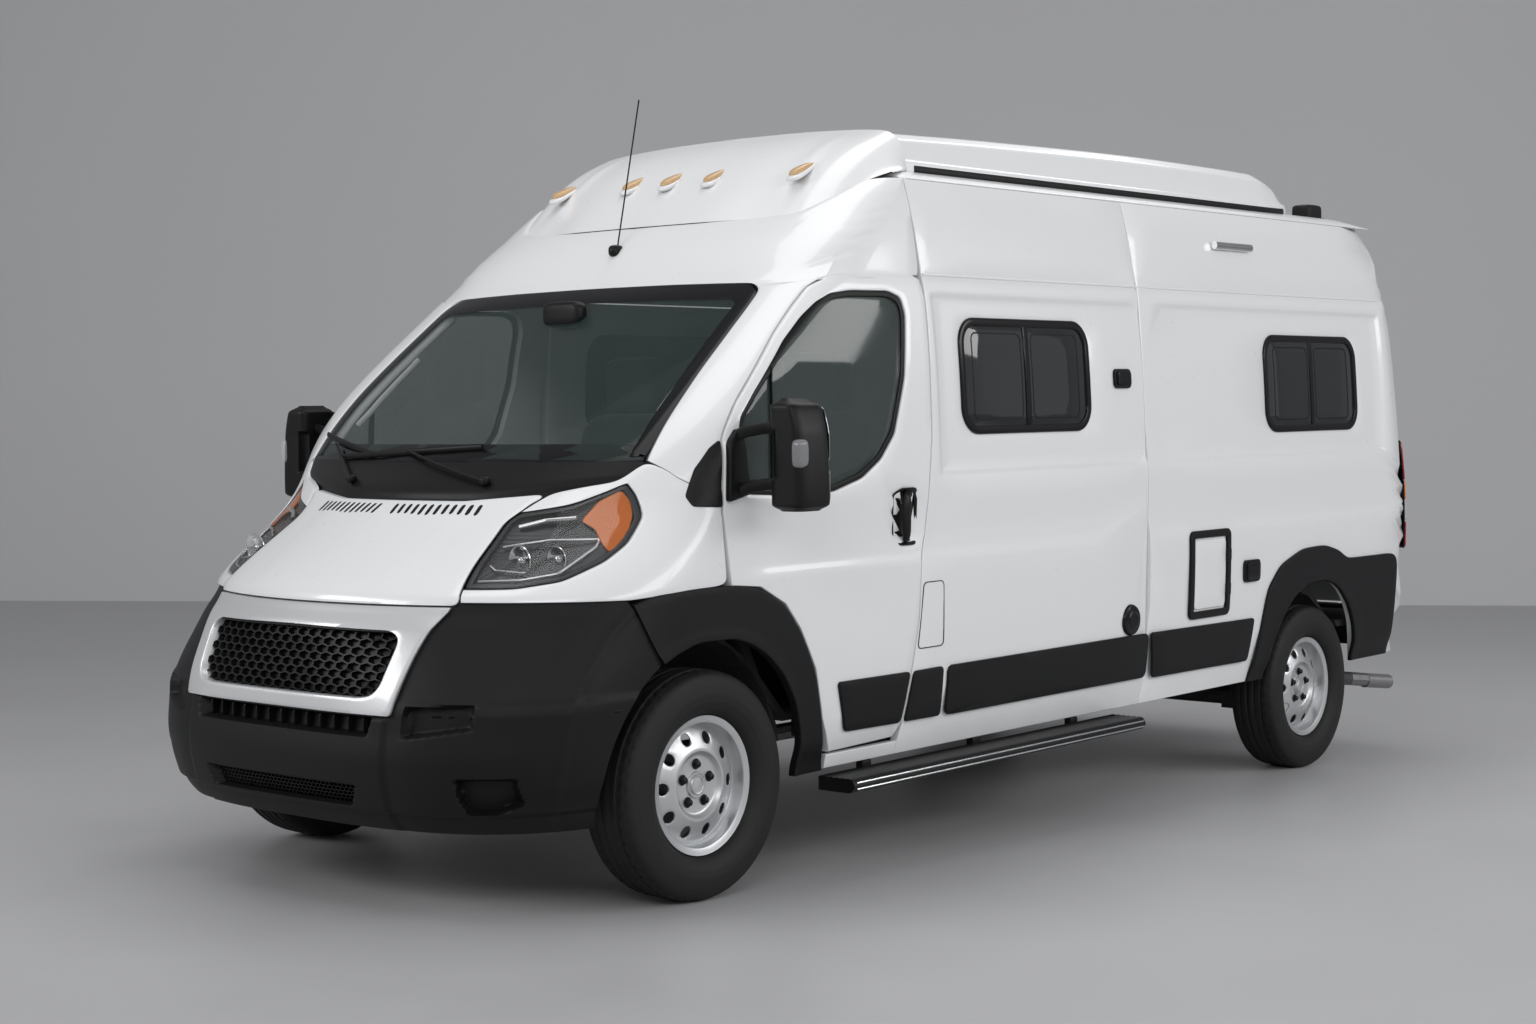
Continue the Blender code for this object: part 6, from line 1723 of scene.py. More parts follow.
@dataclass
class FrontDoors:
    """Cab doors round their windows, the panes with their black edges, handles, strips and mirrors."""

    centre: tuple[float, float] = (-0.66, 1.6)

    def build(self) -> None:
        """Makes both doors."""
        for sign, name in SIDES:
            self.door(sign, name)
            self.pane(sign, name)
            self.trim(sign, name)
            Mirror(sign, name).build()

    @staticmethod
    def surface(place: Array, depth: Array | float) -> Array:
        """The cab's side with the door's pressed forms.

        Args:
            place: surface places, (turn, z) or two coordinates, on the last axis.
            depth: depth inward from the skin.

        Returns:
            Points in the body frame.
        """
        points = Skin.side(place, depth)
        points[..., 1] -= Relief.door(place[..., 0], place[..., 1])
        return points

    def door(self, sign: int, name: str) -> None:
        """Door skin: a ring from the shut line in to the window.

        Args:
            sign: 1 for the left side, -1 for the right.
            name: the side's name, left or right.
        """
        line = [(x - 0.0065, z + 0.0035) if k >= 21 or k == 0 else (x, z) for k,
                (x, z) in enumerate(DOOR_OUTLINE)]
        outline = np.array(line)
        creases = [plain_box(-9.0, 4.0, 0.995, 9.0), plain_box(-9.0, 4.0, 1.055, 9.0)]
        outer, inner, between = rays(outline, softened(DOOR_WINDOW, 200, 0.03), self.centre, creases)
        part = shell(outer, inner, self.surface, 0.045, Edge.RING, 0.0045, 6, between)
        make(f"cab_door_{name}", [part], Look.WHITE, [f"front_door_{name}"], body=f"front_door_{name}",
             side=sign)

    def pane(self, sign: int, name: str) -> None:
        """Side glass, its black edge and the dark bar that carries the quarter pane.

        Args:
            sign: 1 for the left side, -1 for the right.
            name: the side's name, left or right.
        """
        body = f"front_door_{name}"
        edge = softened(grown(DOOR_WINDOW, -0.0008), 220, 0.03)
        part = panel(edge, None, self.centre, lifted(Skin.side, -0.013), 0.005, 0.001, 7)
        make(f"side_glass_{name}", [part], Look.DOOR_GLASS, [f"front_door_glass_{name}"], body=body,
             side=sign)
        rim = softened(grown(DOOR_WINDOW, -0.02), 220, 0.05)
        seal = panel(edge, rim, self.centre, lifted(Skin.side, -0.006), 0.006, 0.002)
        bar = sampled([(-0.35, 1.69), (-0.338, 1.27)], 24)
        path = Skin.side(bar, 0.0115)
        post = oval(path, 0.004, 0.011, 12)
        make(f"window_seal_{name}", (seal, post), Look.BLACK, body=body, side=sign)

    def trim(self, sign: int, name: str) -> None:
        """Handle and the black strip low on the door.

        Args:
            sign: 1 for the left side, -1 for the right.
            name: the side's name, left or right.
        """
        body = f"front_door_{name}"
        parts = handle((-1.042, 1.165), self.surface)
        make(f"door_handle_{name}", parts, Look.BLACK, body=body, side=sign)
        strip = Sides.strip([(-0.649, 0.628), (-1.05, 0.625), (-1.013, 0.448), (-0.703, 0.453)])
        make(f"door_strip_{name}", [strip], Look.DARK, body=body, side=sign)


@dataclass
class Mirror:
    """Tall door mirror: a rounded head with a sunk front panel, two flat arms, a foot, glass and a lamp."""

    sign: int
    name: str

    def ring(self, z: Array, shrink: float) -> tuple[Array, Array, Array, Array]:
        """Bounds of the head at heights: rear and front x, inner and outer y.

        Args:
            z: height in the body frame.
            shrink: how far it is drawn in.

        Returns:
            Rear x, front x, inner y and outer y.
        """
        taper = 0.03 * step(z, 1.545, 1.577) ** 2 + 0.026 * step(z, 1.25, 1.224) ** 2
        outer = Table([(1.224, 1.292), (1.27, 1.295), (1.46, 1.284), (1.53, 1.268), (1.577, 1.248)])(z)
        return -0.298 + taper + shrink, -0.14 - taper - shrink, 1.152 + taper + shrink, outer - taper - shrink

    def head(self) -> Part:
        """Head: rounded rings stacked in z, the front sunk between the arms.

        Returns:
            Points and faces.
        """
        z = np.linspace(1.2241, 1.5769, 60)[:, None]
        angle = circle(72)[None, :]
        low_x, high_x, low_y, high_y = self.ring(z, 0.0)
        bent = [np.sign(c) * np.abs(c) ** 0.42 for c in (np.cos(angle), np.sin(angle))]
        x = (low_x + high_x) / 2 + (high_x - low_x) / 2 * bent[0]
        y = (low_y + high_y) / 2 + (high_y - low_y) / 2 * bent[1]
        front = step(bent[0], 0.6, 0.95) * step(bent[1], -0.45, -0.6)
        x = x - front * band(z, 1.33, 1.47, 0.01) * 0.03
        return grid(join(x, y, z), False, True, True)

    def arms(self) -> list[Part]:
        """Two flat arms from the foot to the head's inner face.

        Returns:
            Its parts.
        """
        parts = []
        for z in (1.489, 1.311):
            root = float(Skin.side(np.array([-0.15, z - 0.03]))[1]) + 0.012
            keys = np.array([(-0.15, root, z - 0.026), (-0.162, 1.05, z - 0.014), (-0.19, 1.11, z - 0.004),
                             (-0.205, 1.165, z)])
            t = np.linspace(0.0, 3.0, 28)
            path = np.stack([np.interp(t, range(4), keys[:, k]) for k in range(3)], -1)
            parts.append(oval(path, 0.011, 0.019, 24))
        return parts

    def foot(self) -> Part:
        """Three-cornered foot on the door at the window's front corner."""
        line = softened([(-0.0945, 1.252), (-0.1075, 1.44), (-0.15, 1.488), (-0.18, 1.44), (-0.2, 1.274)],
                        90, 0.02)
        return panel(line, None, (-0.15, 1.36), lifted(Skin.side, 0.019), 0.0185, 0.006, 4)

    def build(self) -> None:
        """Makes the mirror on its door."""
        body = f"front_door_{self.name}"
        parts = [self.head(), *self.arms(), self.foot()]
        make(f"door_mirror_{self.name}", parts, Look.BLACK, [f"mirror_{self.name}"], body=body,
             side=self.sign)
        faces = []
        for z0, z1 in ((1.372, 1.552), (1.246, 1.36)):
            line = rounded_box(1.166, 1.278, z0, z1, 0.022)
            faces.append(panel(line, None, (1.222, (z0 + z1) / 2), lambda p,
                               d: join(-0.2995 + d, p[..., 0] - 0.025 * step(p[..., 1], 1.45, 1.577),
                                       p[..., 1]), 0.004, 0.001))
        make(f"mirror_glass_{self.name}", faces, Look.MIRROR, body=body, side=self.sign)
        lamp = box_form((-0.16, 1.272, 1.405), (0.024, 0.0205, 0.045), 4.0, 20, 32)
        make(f"mirror_lamp_{self.name}", [lamp], Look.LENS, body=body, side=self.sign)
        sail = softened([(0.03, 1.275), (0.02, 1.243), (-0.076, 1.238), (-0.0775, 1.3), (-0.0865, 1.4),
                         (-0.0915, 1.45), (-0.06, 1.425), (-0.01, 1.36)], 90, 0.015)
        corner = panel(sail, None, (-0.045, 1.31), lifted(Skin.side, 0.006), 0.0058, 0.004)
        make(f"pillar_corner_{self.name}", [corner], Look.BLACK, side=self.sign)


@dataclass
class Flares:
    """Wheel arch mouldings with a rolled lip along the opening."""

    def build(self) -> None:
        """Makes all four."""
        for sign, name in SIDES:
            for part, node in ((self.front(), f"front_flare_{name}"), (self.rear(), f"rear_flare_{name}")):
                make(node.replace("flare", "arch"), [part], Look.DARK, [node], side=sign)

    @staticmethod
    def lipped(surface: Surface, circle: tuple[float, float, float], lift: float,
               place_x: Callable[[Array], Array]) -> Callable[[Array, Array], Array]:
        """Surface held proud by a lift and rolled out a little more along the arch's edge.

        Args:
            surface: the skin it lies on.
            circle: centre and radius of the arch.
            lift: how far the lip stands proud.
            place_x: gives x of a place.

        Returns:
            The surface with its lip.
        """
        def lipped_surface(place: Array, depth: Array | float) -> Array:
            """Points of the moulding.

            Args:
                place: surface places, (turn, z) or two coordinates, on the last axis.
                depth: depth inward from the skin.

            Returns:
                Points in the body frame.
            """
            flat = place_x(place)
            away = np.hypot(flat - circle[0], place[..., 1] - circle[1]) - circle[2]
            roll = 0.005 * np.exp(-(np.maximum(away, 0.0) / 0.018) ** 2)
            return surface(place, np.asarray(depth) - lift - np.where(np.asarray(depth) > 0.012, 0.0, roll))
        return lipped_surface

    def front(self) -> Part:
        """Front moulding between the bumper's seam and the sill.

        Returns:
            Points and faces.
        """
        angles = [59.6, 67, 80, 102, 113, 125, 138, 153, 170, 186.5]
        outside = [(0.2915, 0.955), *FLARE_TOP[1:]]
        inside = np.concatenate([arc(FRONT_ARCH, a, a, 1) for a in angles])
        inside[0] = arc(FRONT_ARCH, 59.6, 59.6, 1, 0.001)[0]
        inner, outer = paired(list(zip(inside, outside)), 14)
        outer_p, inner_p = side_places(outer), side_places(inner)
        surface = self.lipped(Skin.front, FRONT_ARCH, 0.004, lambda p: Skin.front(p)[..., 0])
        return shell(outer_p, inner_p, surface, 0.024, Edge.OPEN, 0.005, 9)

    def rear(self) -> Part:
        """Rear moulding with the corner trim behind it.

        Returns:
            Points and faces.
        """
        outside = [(-3.515, 0.336), (-3.56, 0.55), (-3.61, 0.735), (-3.719, 0.831), (-3.918, 0.891),
                   (-4.124, 0.896), (-4.252, 0.867), (-4.35, 0.822), (-4.6, 0.821), (-4.86, 0.82),
                   (-4.86, 0.55), (-4.86, 0.336)]
        angles = [2.2, 25, 45, 60, 77, 97, 110, 120, 136, 152, 165, 177.8]
        inside = np.concatenate([arc(REAR_ARCH, a, a, 1) for a in angles])
        inner, outer = paired(list(zip(inside, outside)), 14)
        surface = self.lipped(Skin.flank, REAR_ARCH, 0.014, lambda p: p[..., 0])
        return shell(outer, inner, surface, 0.0135, Edge.OPEN, 0.006, 9)


@dataclass
class Upper:
    """Roof skin, cab cap, pop-top, marker lamps, aerial and the small box at the back."""

    def build(self) -> None:
        """Makes every piece above the windows."""
        self.roof()
        self.cap()
        self.pop_top()
        self.lamps()
        self.extras()

    def roof(self) -> None:
        """Crowned skin round the pop-top's opening."""
        end = float(Skin.tail(2.35))
        fall = Table([(end, 0.85), (-4.8, 0.25), (-4.7, 0.0), (-1.3, 0.0), (-1.2105, 0.5)])

        def surface(place: Array, depth: Array | float) -> Array:
            """Roof at (x, y), falling to the wall's top at both ends.

            Args:
                place: surface places, (turn, z) or two coordinates, on the last axis.
                depth: depth inward from the skin.

            Returns:
                Points in the body frame.
            """
            x, y = place[..., 0], place[..., 1]
            crown = Skin.roof(np.abs(y)) + 0.0043
            crown = np.maximum(crown - fall(x) * (crown - 2.3503) - depth, 2.3503)
            return join(x, y, crown)

        outline = rounded_box(end + 0.002, -1.2115, -0.888, 0.888, 0.02, 3)
        hole = rounded_box(-3.95, -1.62, -0.6, 0.6, 0.08)
        part = panel(outline, hole, (-2.785, 0.0), surface, 0.03, 0.004, 12)
        make("roof_skin", [part], Look.WHITE, ["roof_shell"])

    def cap(self) -> None:
        """Dome from the header to the pop-top's front: each line across runs from foot to rear rim."""
        edge = [(0.0, -0.765, 2.206), (0.3, -0.775, 2.206), (0.5, -0.822, 2.208), (0.65, -0.862, 2.216),
                (0.7, -0.885, 2.226), (0.762, -0.975, 2.278), (0.815, -1.105, 2.342),
                (0.862, -1.178, 2.372)]
        rear = [(0.0, 2.575), (0.3, 2.571), (0.5, 2.563), (0.62, 2.555), (0.7, 2.545), (0.752, 2.52),
                (0.786, 2.46), (0.802, 2.402)]
        keys = range(8)
        tables = [Table(list(zip(keys, values))) for values in (*zip(*edge), *zip(*rear))]
        s = np.linspace(-7.0, 7.0, 127)[:, None]
        b = np.linspace(0.0, 1.0, 44)[None, :]
        k = np.abs(s)
        edge_y, edge_x, edge_z, rear_y, rear_z = (t(k) for t in tables)
        rise = 0.055 * np.sin(math.pi * b) * (1 - (k / 7) ** 3)
        x = edge_x * (1 - b) - 1.345 * b
        y = edge_y * (1 - b) + rear_y * b
        z = edge_z * (1 - b) + rear_z * b + rise
        ridge = 0.006 * np.exp(-((y - 0.56) / 0.03) ** 2) * np.sin(math.pi * b) ** 2
        outer = join(x, np.sign(s) * y, z + ridge)
        start = np.minimum(1.0, 4 * b)
        low = z - (0.003 + 0.015 * np.sin(math.pi * np.clip(b, 0, 1))) * start - 0.0012
        roof = Skin.roof(y * 0.994)
        low = np.where(x < -1.19, np.maximum(low, np.minimum(roof + 0.006, z - 0.002)), low)
        inner = join(x - 0.012 * (1 - b) * start, np.sign(s) * y * (1 - 0.006 * start), low)
        rows = np.concatenate([outer, inner[:, ::-1]], axis=1)
        seam = oval(outer[:, 0] - (0.0, 0.0, 0.001), 0.0028, 0.0028, 8)
        make("cap_seam", [seam], Look.BLACK)
        make("cab_cap", [grid(rows, False, True, True)], Look.WHITE, ["roof_cap"])

    def section(self, x: Array) -> Array:
        """Half sections of the lid at stations: points from its foot to the middle, (stations, 7, 2).

        Args:
            x: x in the body frame.

        Returns:
            Key points of (y, z) at each x.
        """
        rise = Table([(-4.29, 0.03), (-4.25, 0.075), (-4.16, 0.13), (-4.0, 0.165), (-3.2, 0.17),
                      (-2.0, 0.15), (-1.352, 0.13)])(x)
        narrow = Table([(-4.29, 0.95), (-4.25, 0.965), (-4.16, 0.985), (-4.0, 1.0), (-1.352, 1.0)])(x)
        side = 0.792 * narrow
        foot = Skin.roof(side) + 0.0046
        y = join(side, side, side - 0.012, side - 0.035, side - 0.085, 0.4, 0.0)
        z = join(foot, foot + np.minimum(0.035, rise), foot + np.minimum(0.045, rise + 0.005),
                 foot + rise * 0.82 + 0.01, foot + rise + 0.015,
                 np.maximum(foot + rise + 0.035, Skin.roof(0.4) + 0.03),
                 np.maximum(foot + rise + 0.045, Skin.roof(0.0) + 0.032))
        return join(y, z)

    def pop_top(self) -> None:
        """Lifting lid: its section carried along the roof, creases softened, hollow underneath."""
        x = np.concatenate([np.linspace(-1.352, -4.0, 44), np.linspace(-4.0, -4.29, 26)[1:]])
        keys = self.section(x)
        stops = np.concatenate([k + np.linspace(0, 1, n)[:-1] for k, n in enumerate((8, 8, 12, 12, 16, 14))]
                               + [[6.0]])
        i = np.clip(stops.astype(int), 0, 5)
        t = (stops - i)[None, :, None]
        half = keys[:, i] * (1 - t) + keys[:, i + 1] * t
        soft = half.copy()
        for _ in range(3):
            soft[:, 2:-2] = (soft[:, 1:-3] + 2 * soft[:, 2:-2] + soft[:, 3:-1]) / 4
        lining = soft - join(np.minimum(0.03, soft[..., 0] * 0.3), 0.018)
        floor = Skin.roof(np.abs(lining[..., 0])) + 0.008
        lining[..., 1] = np.maximum(lining[..., 1], floor)
        lining[:, 0, 1] = soft[:, 0, 1]
        ring = np.concatenate([soft * (-1.0, 1.0), soft[:, -2::-1]], axis=1)
        under = np.concatenate([lining * (-1.0, 1.0), lining[:, -2::-1]], axis=1)[:, ::-1]
        loop = np.concatenate([ring, under], axis=1)
        points = np.concatenate([np.broadcast_to(x[:, None, None], (*loop.shape[:2], 1)), loop], -1)
        make("pop_top_lid", [grid(points, False, True, True)], Look.WHITE, ["pop_top"], body="pop_top")
        parts = []
        run = np.linspace(-1.4, -4.24, 90)
        side = self.section(run)
        for sign in (1, -1):
            for height, wide, key in ((0.01, 0.014, 0),):
                path = join(run, sign * (side[:, key, 0] + (0.0 if key == 0 else -0.001)),
                            side[:, key, 1] + height)
                parts.append(swept(path, lambda s, a, w=wide: (0.003 * np.cos(a), w * np.sin(a)), 8))
        make("pop_top_seal", parts, Look.BLACK, body="pop_top")

    def lamps(self) -> None:
        """Five low marker lamps on the cap's brow, pointed to the rear."""
        bases, lenses = [], []
        for x, y, z in ((-1.0, 0.6, 2.383), (-0.985, 0.205, 2.388), (-0.975, 0.0, 2.388),
                        (-0.985, -0.205, 2.388), (-1.0, -0.6, 2.383)):
            for shapes, half, lift in ((bases, (0.082, 0.04, 0.014), -0.004),
                                       (lenses, (0.066, 0.032, 0.024), 0.004)):
                form, faces = box_form((0.0, 0.0, 0.0), half, 2.6, 18, 36)
                along = form[:, 0] / half[0]
                form[:, 1] *= 0.62 + 0.38 * along
                form[:, 2] *= 0.75 + 0.25 * along
                slope = math.radians(24.0)
                turned = join(form[:, 0] * math.cos(slope) + form[:, 2] * math.sin(slope), form[:, 1],
                              -form[:, 0] * math.sin(slope) + form[:, 2] * math.cos(slope))
                shapes.append((turned + (x, y, z + lift), faces))
        make("marker_bases", bases, Look.WHITE)
        make("marker_lenses", lenses, Look.MARKER)

    def extras(self) -> None:
        """Aerial on the header, small box and plinth at the roof's rear corner."""
        mast = round_bar([(-0.668, 0.0, 2.118), (-0.795, 0.0, 2.672)], 0.0028, 10, 30)
        foot = box_form((-0.664, 0.0, 2.118), (0.03, 0.02, 0.022), 3.0, 16, 28)
        make("aerial", [mast, foot], Look.BLACK)
        crate = box_form((-4.775, 0.61, 2.44), (0.075, 0.05, 0.04), 5.0, 20, 40)
        plinth = box_form((-4.775, 0.61, 2.409), (0.085, 0.06, 0.01), 6.0, 12, 40)
        make("roof_box", [crate, plinth], Look.DARK)


@dataclass
class Rear:
    """Rear doors and their glass, header, tail lamps, bumper, lamp and handle."""

    def build(self) -> None:
        """Makes the back of the body."""
        for sign, name in SIDES:
            self.door(sign, name)
            self.tail_lamp(sign, name)
        self.header()
        self.bumper()

    @staticmethod
    def surface(place: Array, depth: Array | float) -> Array:
        """Rear face at (y, z), its panel sunk round the window and below it.

        Args:
            place: surface places, (turn, z) or two coordinates, on the last axis.
            depth: depth inward from the skin.

        Returns:
            Points in the body frame.
        """
        y, z = place[..., 0], place[..., 1]
        panel = band(y, 0.075, 0.725, 0.02) * (band(z, 1.365, 1.935, 0.02) * 0.006
                                               + band(z, 0.64, 1.23, 0.02) * 0.007)
        return join(Skin.tail(z) + depth + panel, y, z)

    def door(self, sign: int, name: str) -> None:
        """One door: a ring round the window, the pane, the hinges' covers and, on the left door, the handle.

        Args:
            sign: 1 for the left side, -1 for the right.
            name: the side's name, left or right.
        """
        body = f"rear_door_{name}"
        outline = rounded_box(0.004, 0.7995, 0.56, 2.17, 0.012, 4)
        window = rounded_box(0.11, 0.69, 1.4, 1.9, 0.07)
        creases = [plain_box(0.055, 0.745, 0.62, 1.955), plain_box(0.075, 0.725, 1.365, 1.935)]
        outer, inner, between = rays(outline, window, (0.4, 1.65), creases)
        part = shell(outer, inner, self.surface, 0.044, Edge.RING, 0.004, 4, between)
        make(f"back_door_{name}", [part], Look.WHITE, [f"rear_door_{name}"], body=body, side=sign)
        pane = panel(grown(window, -0.0008), None, (0.4, 1.65), lambda p,
                     d: join(Skin.tail(p[..., 1]) + d + 0.01, p[..., 0], p[..., 1]), 0.005, 0.001, 5)
        make(f"back_glass_{name}", [pane], Look.TINTED, [f"rear_door_glass_{name}"], body=body, side=sign)
        parts = []
        for z in (0.68, 1.46, 2.06):
            form = box_form((float(Skin.tail(z)) - 0.004, 0.765, z), (0.012, 0.03, 0.022), 4.0, 14, 28)
            parts.append(form)
        if sign > 0:
            parts.append(box_form((float(Skin.tail(1.1)) - 0.005, 0.065, 1.12), (0.016, 0.03, 0.075), 3.5,
                                  20, 32))
        make(f"back_fittings_{name}", parts, Look.BLACK, body=body, side=sign)

    def header(self) -> None:
        """Panel over the rear doors with the brake lamp."""
        y = np.linspace(-0.8055, 0.8055, 60)
        low, high = (join(y, z) for z in (2.1755, 2.35))
        part = shell(high, low, lambda p, d: join(Skin.tail(p[..., 1]) + d, p[..., 0], p[..., 1]), 0.045,
                     Edge.OPEN, 0.004, 4)
        make("back_header", [part], Look.WHITE, ["rear_header"])
        make("brake_lamp", [box_form((float(Skin.tail(2.28)) - 0.004, 0.0, 2.28), (0.012, 0.14, 0.014), 4.0,
                                     14, 40)], Look.RED_LENS)

    def tail_lamp(self, sign: int, name: str) -> None:
        """Tall lamp round the corner in three lenses over a dark backing.

        Args:
            sign: 1 for the left side, -1 for the right.
            name: the side's name, left or right.
        """
        def band_of(low: float, high: float, lift: float, thick: float, inset: float) -> Part:
            """One lens on the corner between two heights.

            Args:
                low: lower height.
                high: upper height.
                lift: how far it stands proud of the skin.
                thick: its thickness.
                inset: how far it is drawn in at its ends.

            Returns:
                Points and faces.
            """
            first = Skin.tail(1.0) + 0.13 - 0.13 * math.pi / 2 * 0.25
            last = Skin.tail(1.0) + 0.13 - 0.13 * math.pi / 2
            line = rounded_box(float(last) + inset, float(first) - inset, low, high, 0.01, 5)
            centre = (float(first + last) / 2, (low + high) / 2)
            return panel(line, None, centre, lifted(Skin.flank, lift), thick, 0.004, 4)
        base = band_of(0.832, 1.348, 0.006, 0.005, 0.0)
        make(f"tail_housing_{name}", [base], Look.GLOSS, side=sign)
        lenses = [band_of(1.16, 1.34, 0.012, 0.005, 0.006), band_of(0.84, 0.96, 0.012, 0.005, 0.006)]
        make(f"tail_lenses_{name}", lenses, Look.RED_LENS, [f"tail_lamp_{name}"], side=sign)
        make(f"tail_amber_{name}", [band_of(1.065, 1.155, 0.012, 0.005, 0.006)], Look.AMBER, side=sign)
        make(f"tail_clear_{name}", [band_of(0.965, 1.06, 0.012, 0.005, 0.006)], Look.LENS, side=sign)

    def bumper(self) -> None:
        """Rear bumper bar with rounded ends and a ribbed step."""
        face = float(Skin.tail(0.5)) - 0.0004
        y = np.linspace(-0.86, 0.86, 120)
        path = join(face - 0.02, y, 0.445)
        close = 1 - step(np.abs(y), 0.84, 0.86) * 0.25

        def outline(s: Array, a: Array) -> tuple[Array, Array]:
            """Rounded upright section, lower at its ends.

            Args:
                s: share along the path.
                a: angle round the section.

            Returns:
                Width and height.
            """
            size = np.interp(s * 119, np.arange(120), close)
            wide = np.sign(np.cos(a)) * np.abs(np.cos(a)) ** 0.4
            return 0.02 * wide * size, 0.0995 * np.sign(np.sin(a)) * np.abs(np.sin(a)) ** 0.35 * size

        bar = swept(path, outline, 32)
        ribs = [round_bar([(face - 0.03 + 0.008 * k, -0.62, 0.5435),
                           (face - 0.03 + 0.008 * k, 0.62, 0.5435)], 0.0022, 8, 20) for k in range(3)]
        make("back_bumper", [bar, *ribs], Look.DARK, ["rear_bumper"])


@dataclass
class Wheel:
    """One wheel: a grooved tyre and a pressed steel disc with ten round holes, bolts and a ringed cap."""

    name: str
    centre: tuple[float, float, float]
    out: int
    holes: int = 10
    per_hole: int = 12
    inner_r: float = 0.126
    outer_r: float = 0.178
    hole_r: float = 0.0195

    def build(self) -> None:
        """Makes the tyre, the rim and the bolts."""
        body = f"wheel_{self.name}"
        self.tyre(body)
        face = Table([(0.0, 0.046), (0.03, 0.046), (0.08, 0.046), (0.108, 0.062), (0.15, 0.05),
                      (0.193, 0.026)])
        parts = [self.disc(face), self.barrel(face), self.hub(face)]
        make(f"steel_wheel_{self.name}", [self.placed(p) for p in parts], Look.WHEEL, [f"rim_{self.name}"],
             body=body, sharp=42.0, level=True)
        make(f"wheel_bolts_{self.name}", [self.placed(p) for p in self.bolts()], Look.GLOSS, body=body,
             sharp=30.0, level=True)

    def placed(self, part: Part) -> Part:
        """Part turned to the wheel's outer side and moved to its centre, in the level frame."""
        points, faces = part if self.out > 0 else flipped(part)
        return points + np.array(self.centre), faces

    def tyre(self, body: str) -> None:
        """Tyre: the section turned about the axle, with four grooves, cross cuts and rings on its side.

        Args:
            body: the wheel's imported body.
        """
        side = [(0.2036, 0.0735), (0.2232, 0.0735), (0.232, 0.09), (0.245, 0.1), (0.268, 0.109),
                (0.29, 0.1122), (0.318, 0.109), (0.338, 0.1035), (0.35, 0.0975), (0.3585, 0.086),
                (0.3625, 0.072), (0.3645, 0.05), (0.365, 0.0)]
        half = sampled(side, 44)
        line = np.vstack([half, half[-2::-1] * (1.0, -1.0)])
        angle = circle(200)[None, :]
        radius, y = line[:, 0, None], line[:, 1, None]
        grooves = sum(np.exp(-((y - at) / 0.0036) ** 4) for at in (-0.048, -0.016, 0.016, 0.048))
        wave = np.sin(50 * angle + 0.9 * np.sign(y) * np.abs(y) / 0.016)
        cuts = step(wave, 0.86, 0.95) * step(np.abs(y), 0.03, 0.036)
        tread = step(radius, 0.3555, 0.361) * (np.minimum(grooves, 1.0) * 0.008 + cuts * 0.005)
        rings = 0.0012 * (np.exp(-((radius - 0.262) / 0.0018) ** 2)
                          + np.exp(-((radius - 0.333) / 0.0016) ** 2))
        radius = radius - tread
        y = y + np.sign(y) * rings
        points = join(radius * np.cos(angle), y, radius * np.sin(angle))
        make(f"tyre_{self.name}_tread", [self.placed(grid(points, True, True))], Look.TYRE,
             [f"tyre_{self.name}"], body=body, sharp=40.0, level=True)

    def disc(self, face: Table) -> Part:
        """Ring of cells round the holes: front, back and each hole's wall, one array for all of them.

        Args:
            face: depth of the disc's front by radius.

        Returns:
            Points and faces.
        """
        cell = 2 * math.pi / self.holes
        n, m = self.per_hole, 4
        along = np.linspace(-0.5, 0.5, n + 1)[:-1]
        up = np.linspace(0.0, 1.0, m + 1)[:-1]
        square = np.concatenate([join(along, 0.0), join(0.5, up), join(-along, 1), join(-0.5, 1 - up)])
        mid_r = (self.inner_r + self.outer_r) / 2
        rim = join(square[:, 0] * cell, self.inner_r + (self.outer_r - self.inner_r) * square[:, 1])
        round_ = join(rim[:, 0] * mid_r, rim[:, 1] - mid_r)
        round_ = round_ / np.linalg.norm(round_, axis=1, keepdims=True)
        hole = join(round_[:, 0] * self.hole_r / mid_r, mid_r + round_[:, 1] * self.hole_r)
        rows = [(rim, 0.0), (hole + (rim - hole) * 0.5, 0.0), (hole + (rim - hole) * 0.12, 0.0),
                (hole, 0.0015), (hole, 0.006), (hole + (rim - hole) * 0.5, 0.006), (rim, 0.006)]
        shift = cell * np.arange(self.holes)[:, None]
        stack = []
        for line, sink in rows:
            angle = line[None, :, 0] + shift
            radius = np.broadcast_to(line[None, :, 1], angle.shape)
            stack.append(join(radius * np.cos(angle), face(radius) - sink, radius * np.sin(angle)))
        points = np.stack(stack, axis=1)
        return repeated(points, weave(*points.shape[1:3], False, True))

    def turned(self, profile: Sequence[tuple[float, float]], closed: bool = False) -> Part:
        """Open profile turned in the same steps as the ring of cells, starting half a cell back.

        Args:
            profile: points of (radius, along y).
            closed: whether the profile is closed.

        Returns:
            Points and faces.
        """
        line = np.asarray(profile, float)
        steps = self.holes * self.per_hole
        angle = (np.arange(steps) * 2 * math.pi / steps - math.pi / self.holes)[None, :]
        radius, y = line[:, 0, None], line[:, 1, None]
        return grid(join(radius * np.cos(angle), y, radius * np.sin(angle)), closed, True)

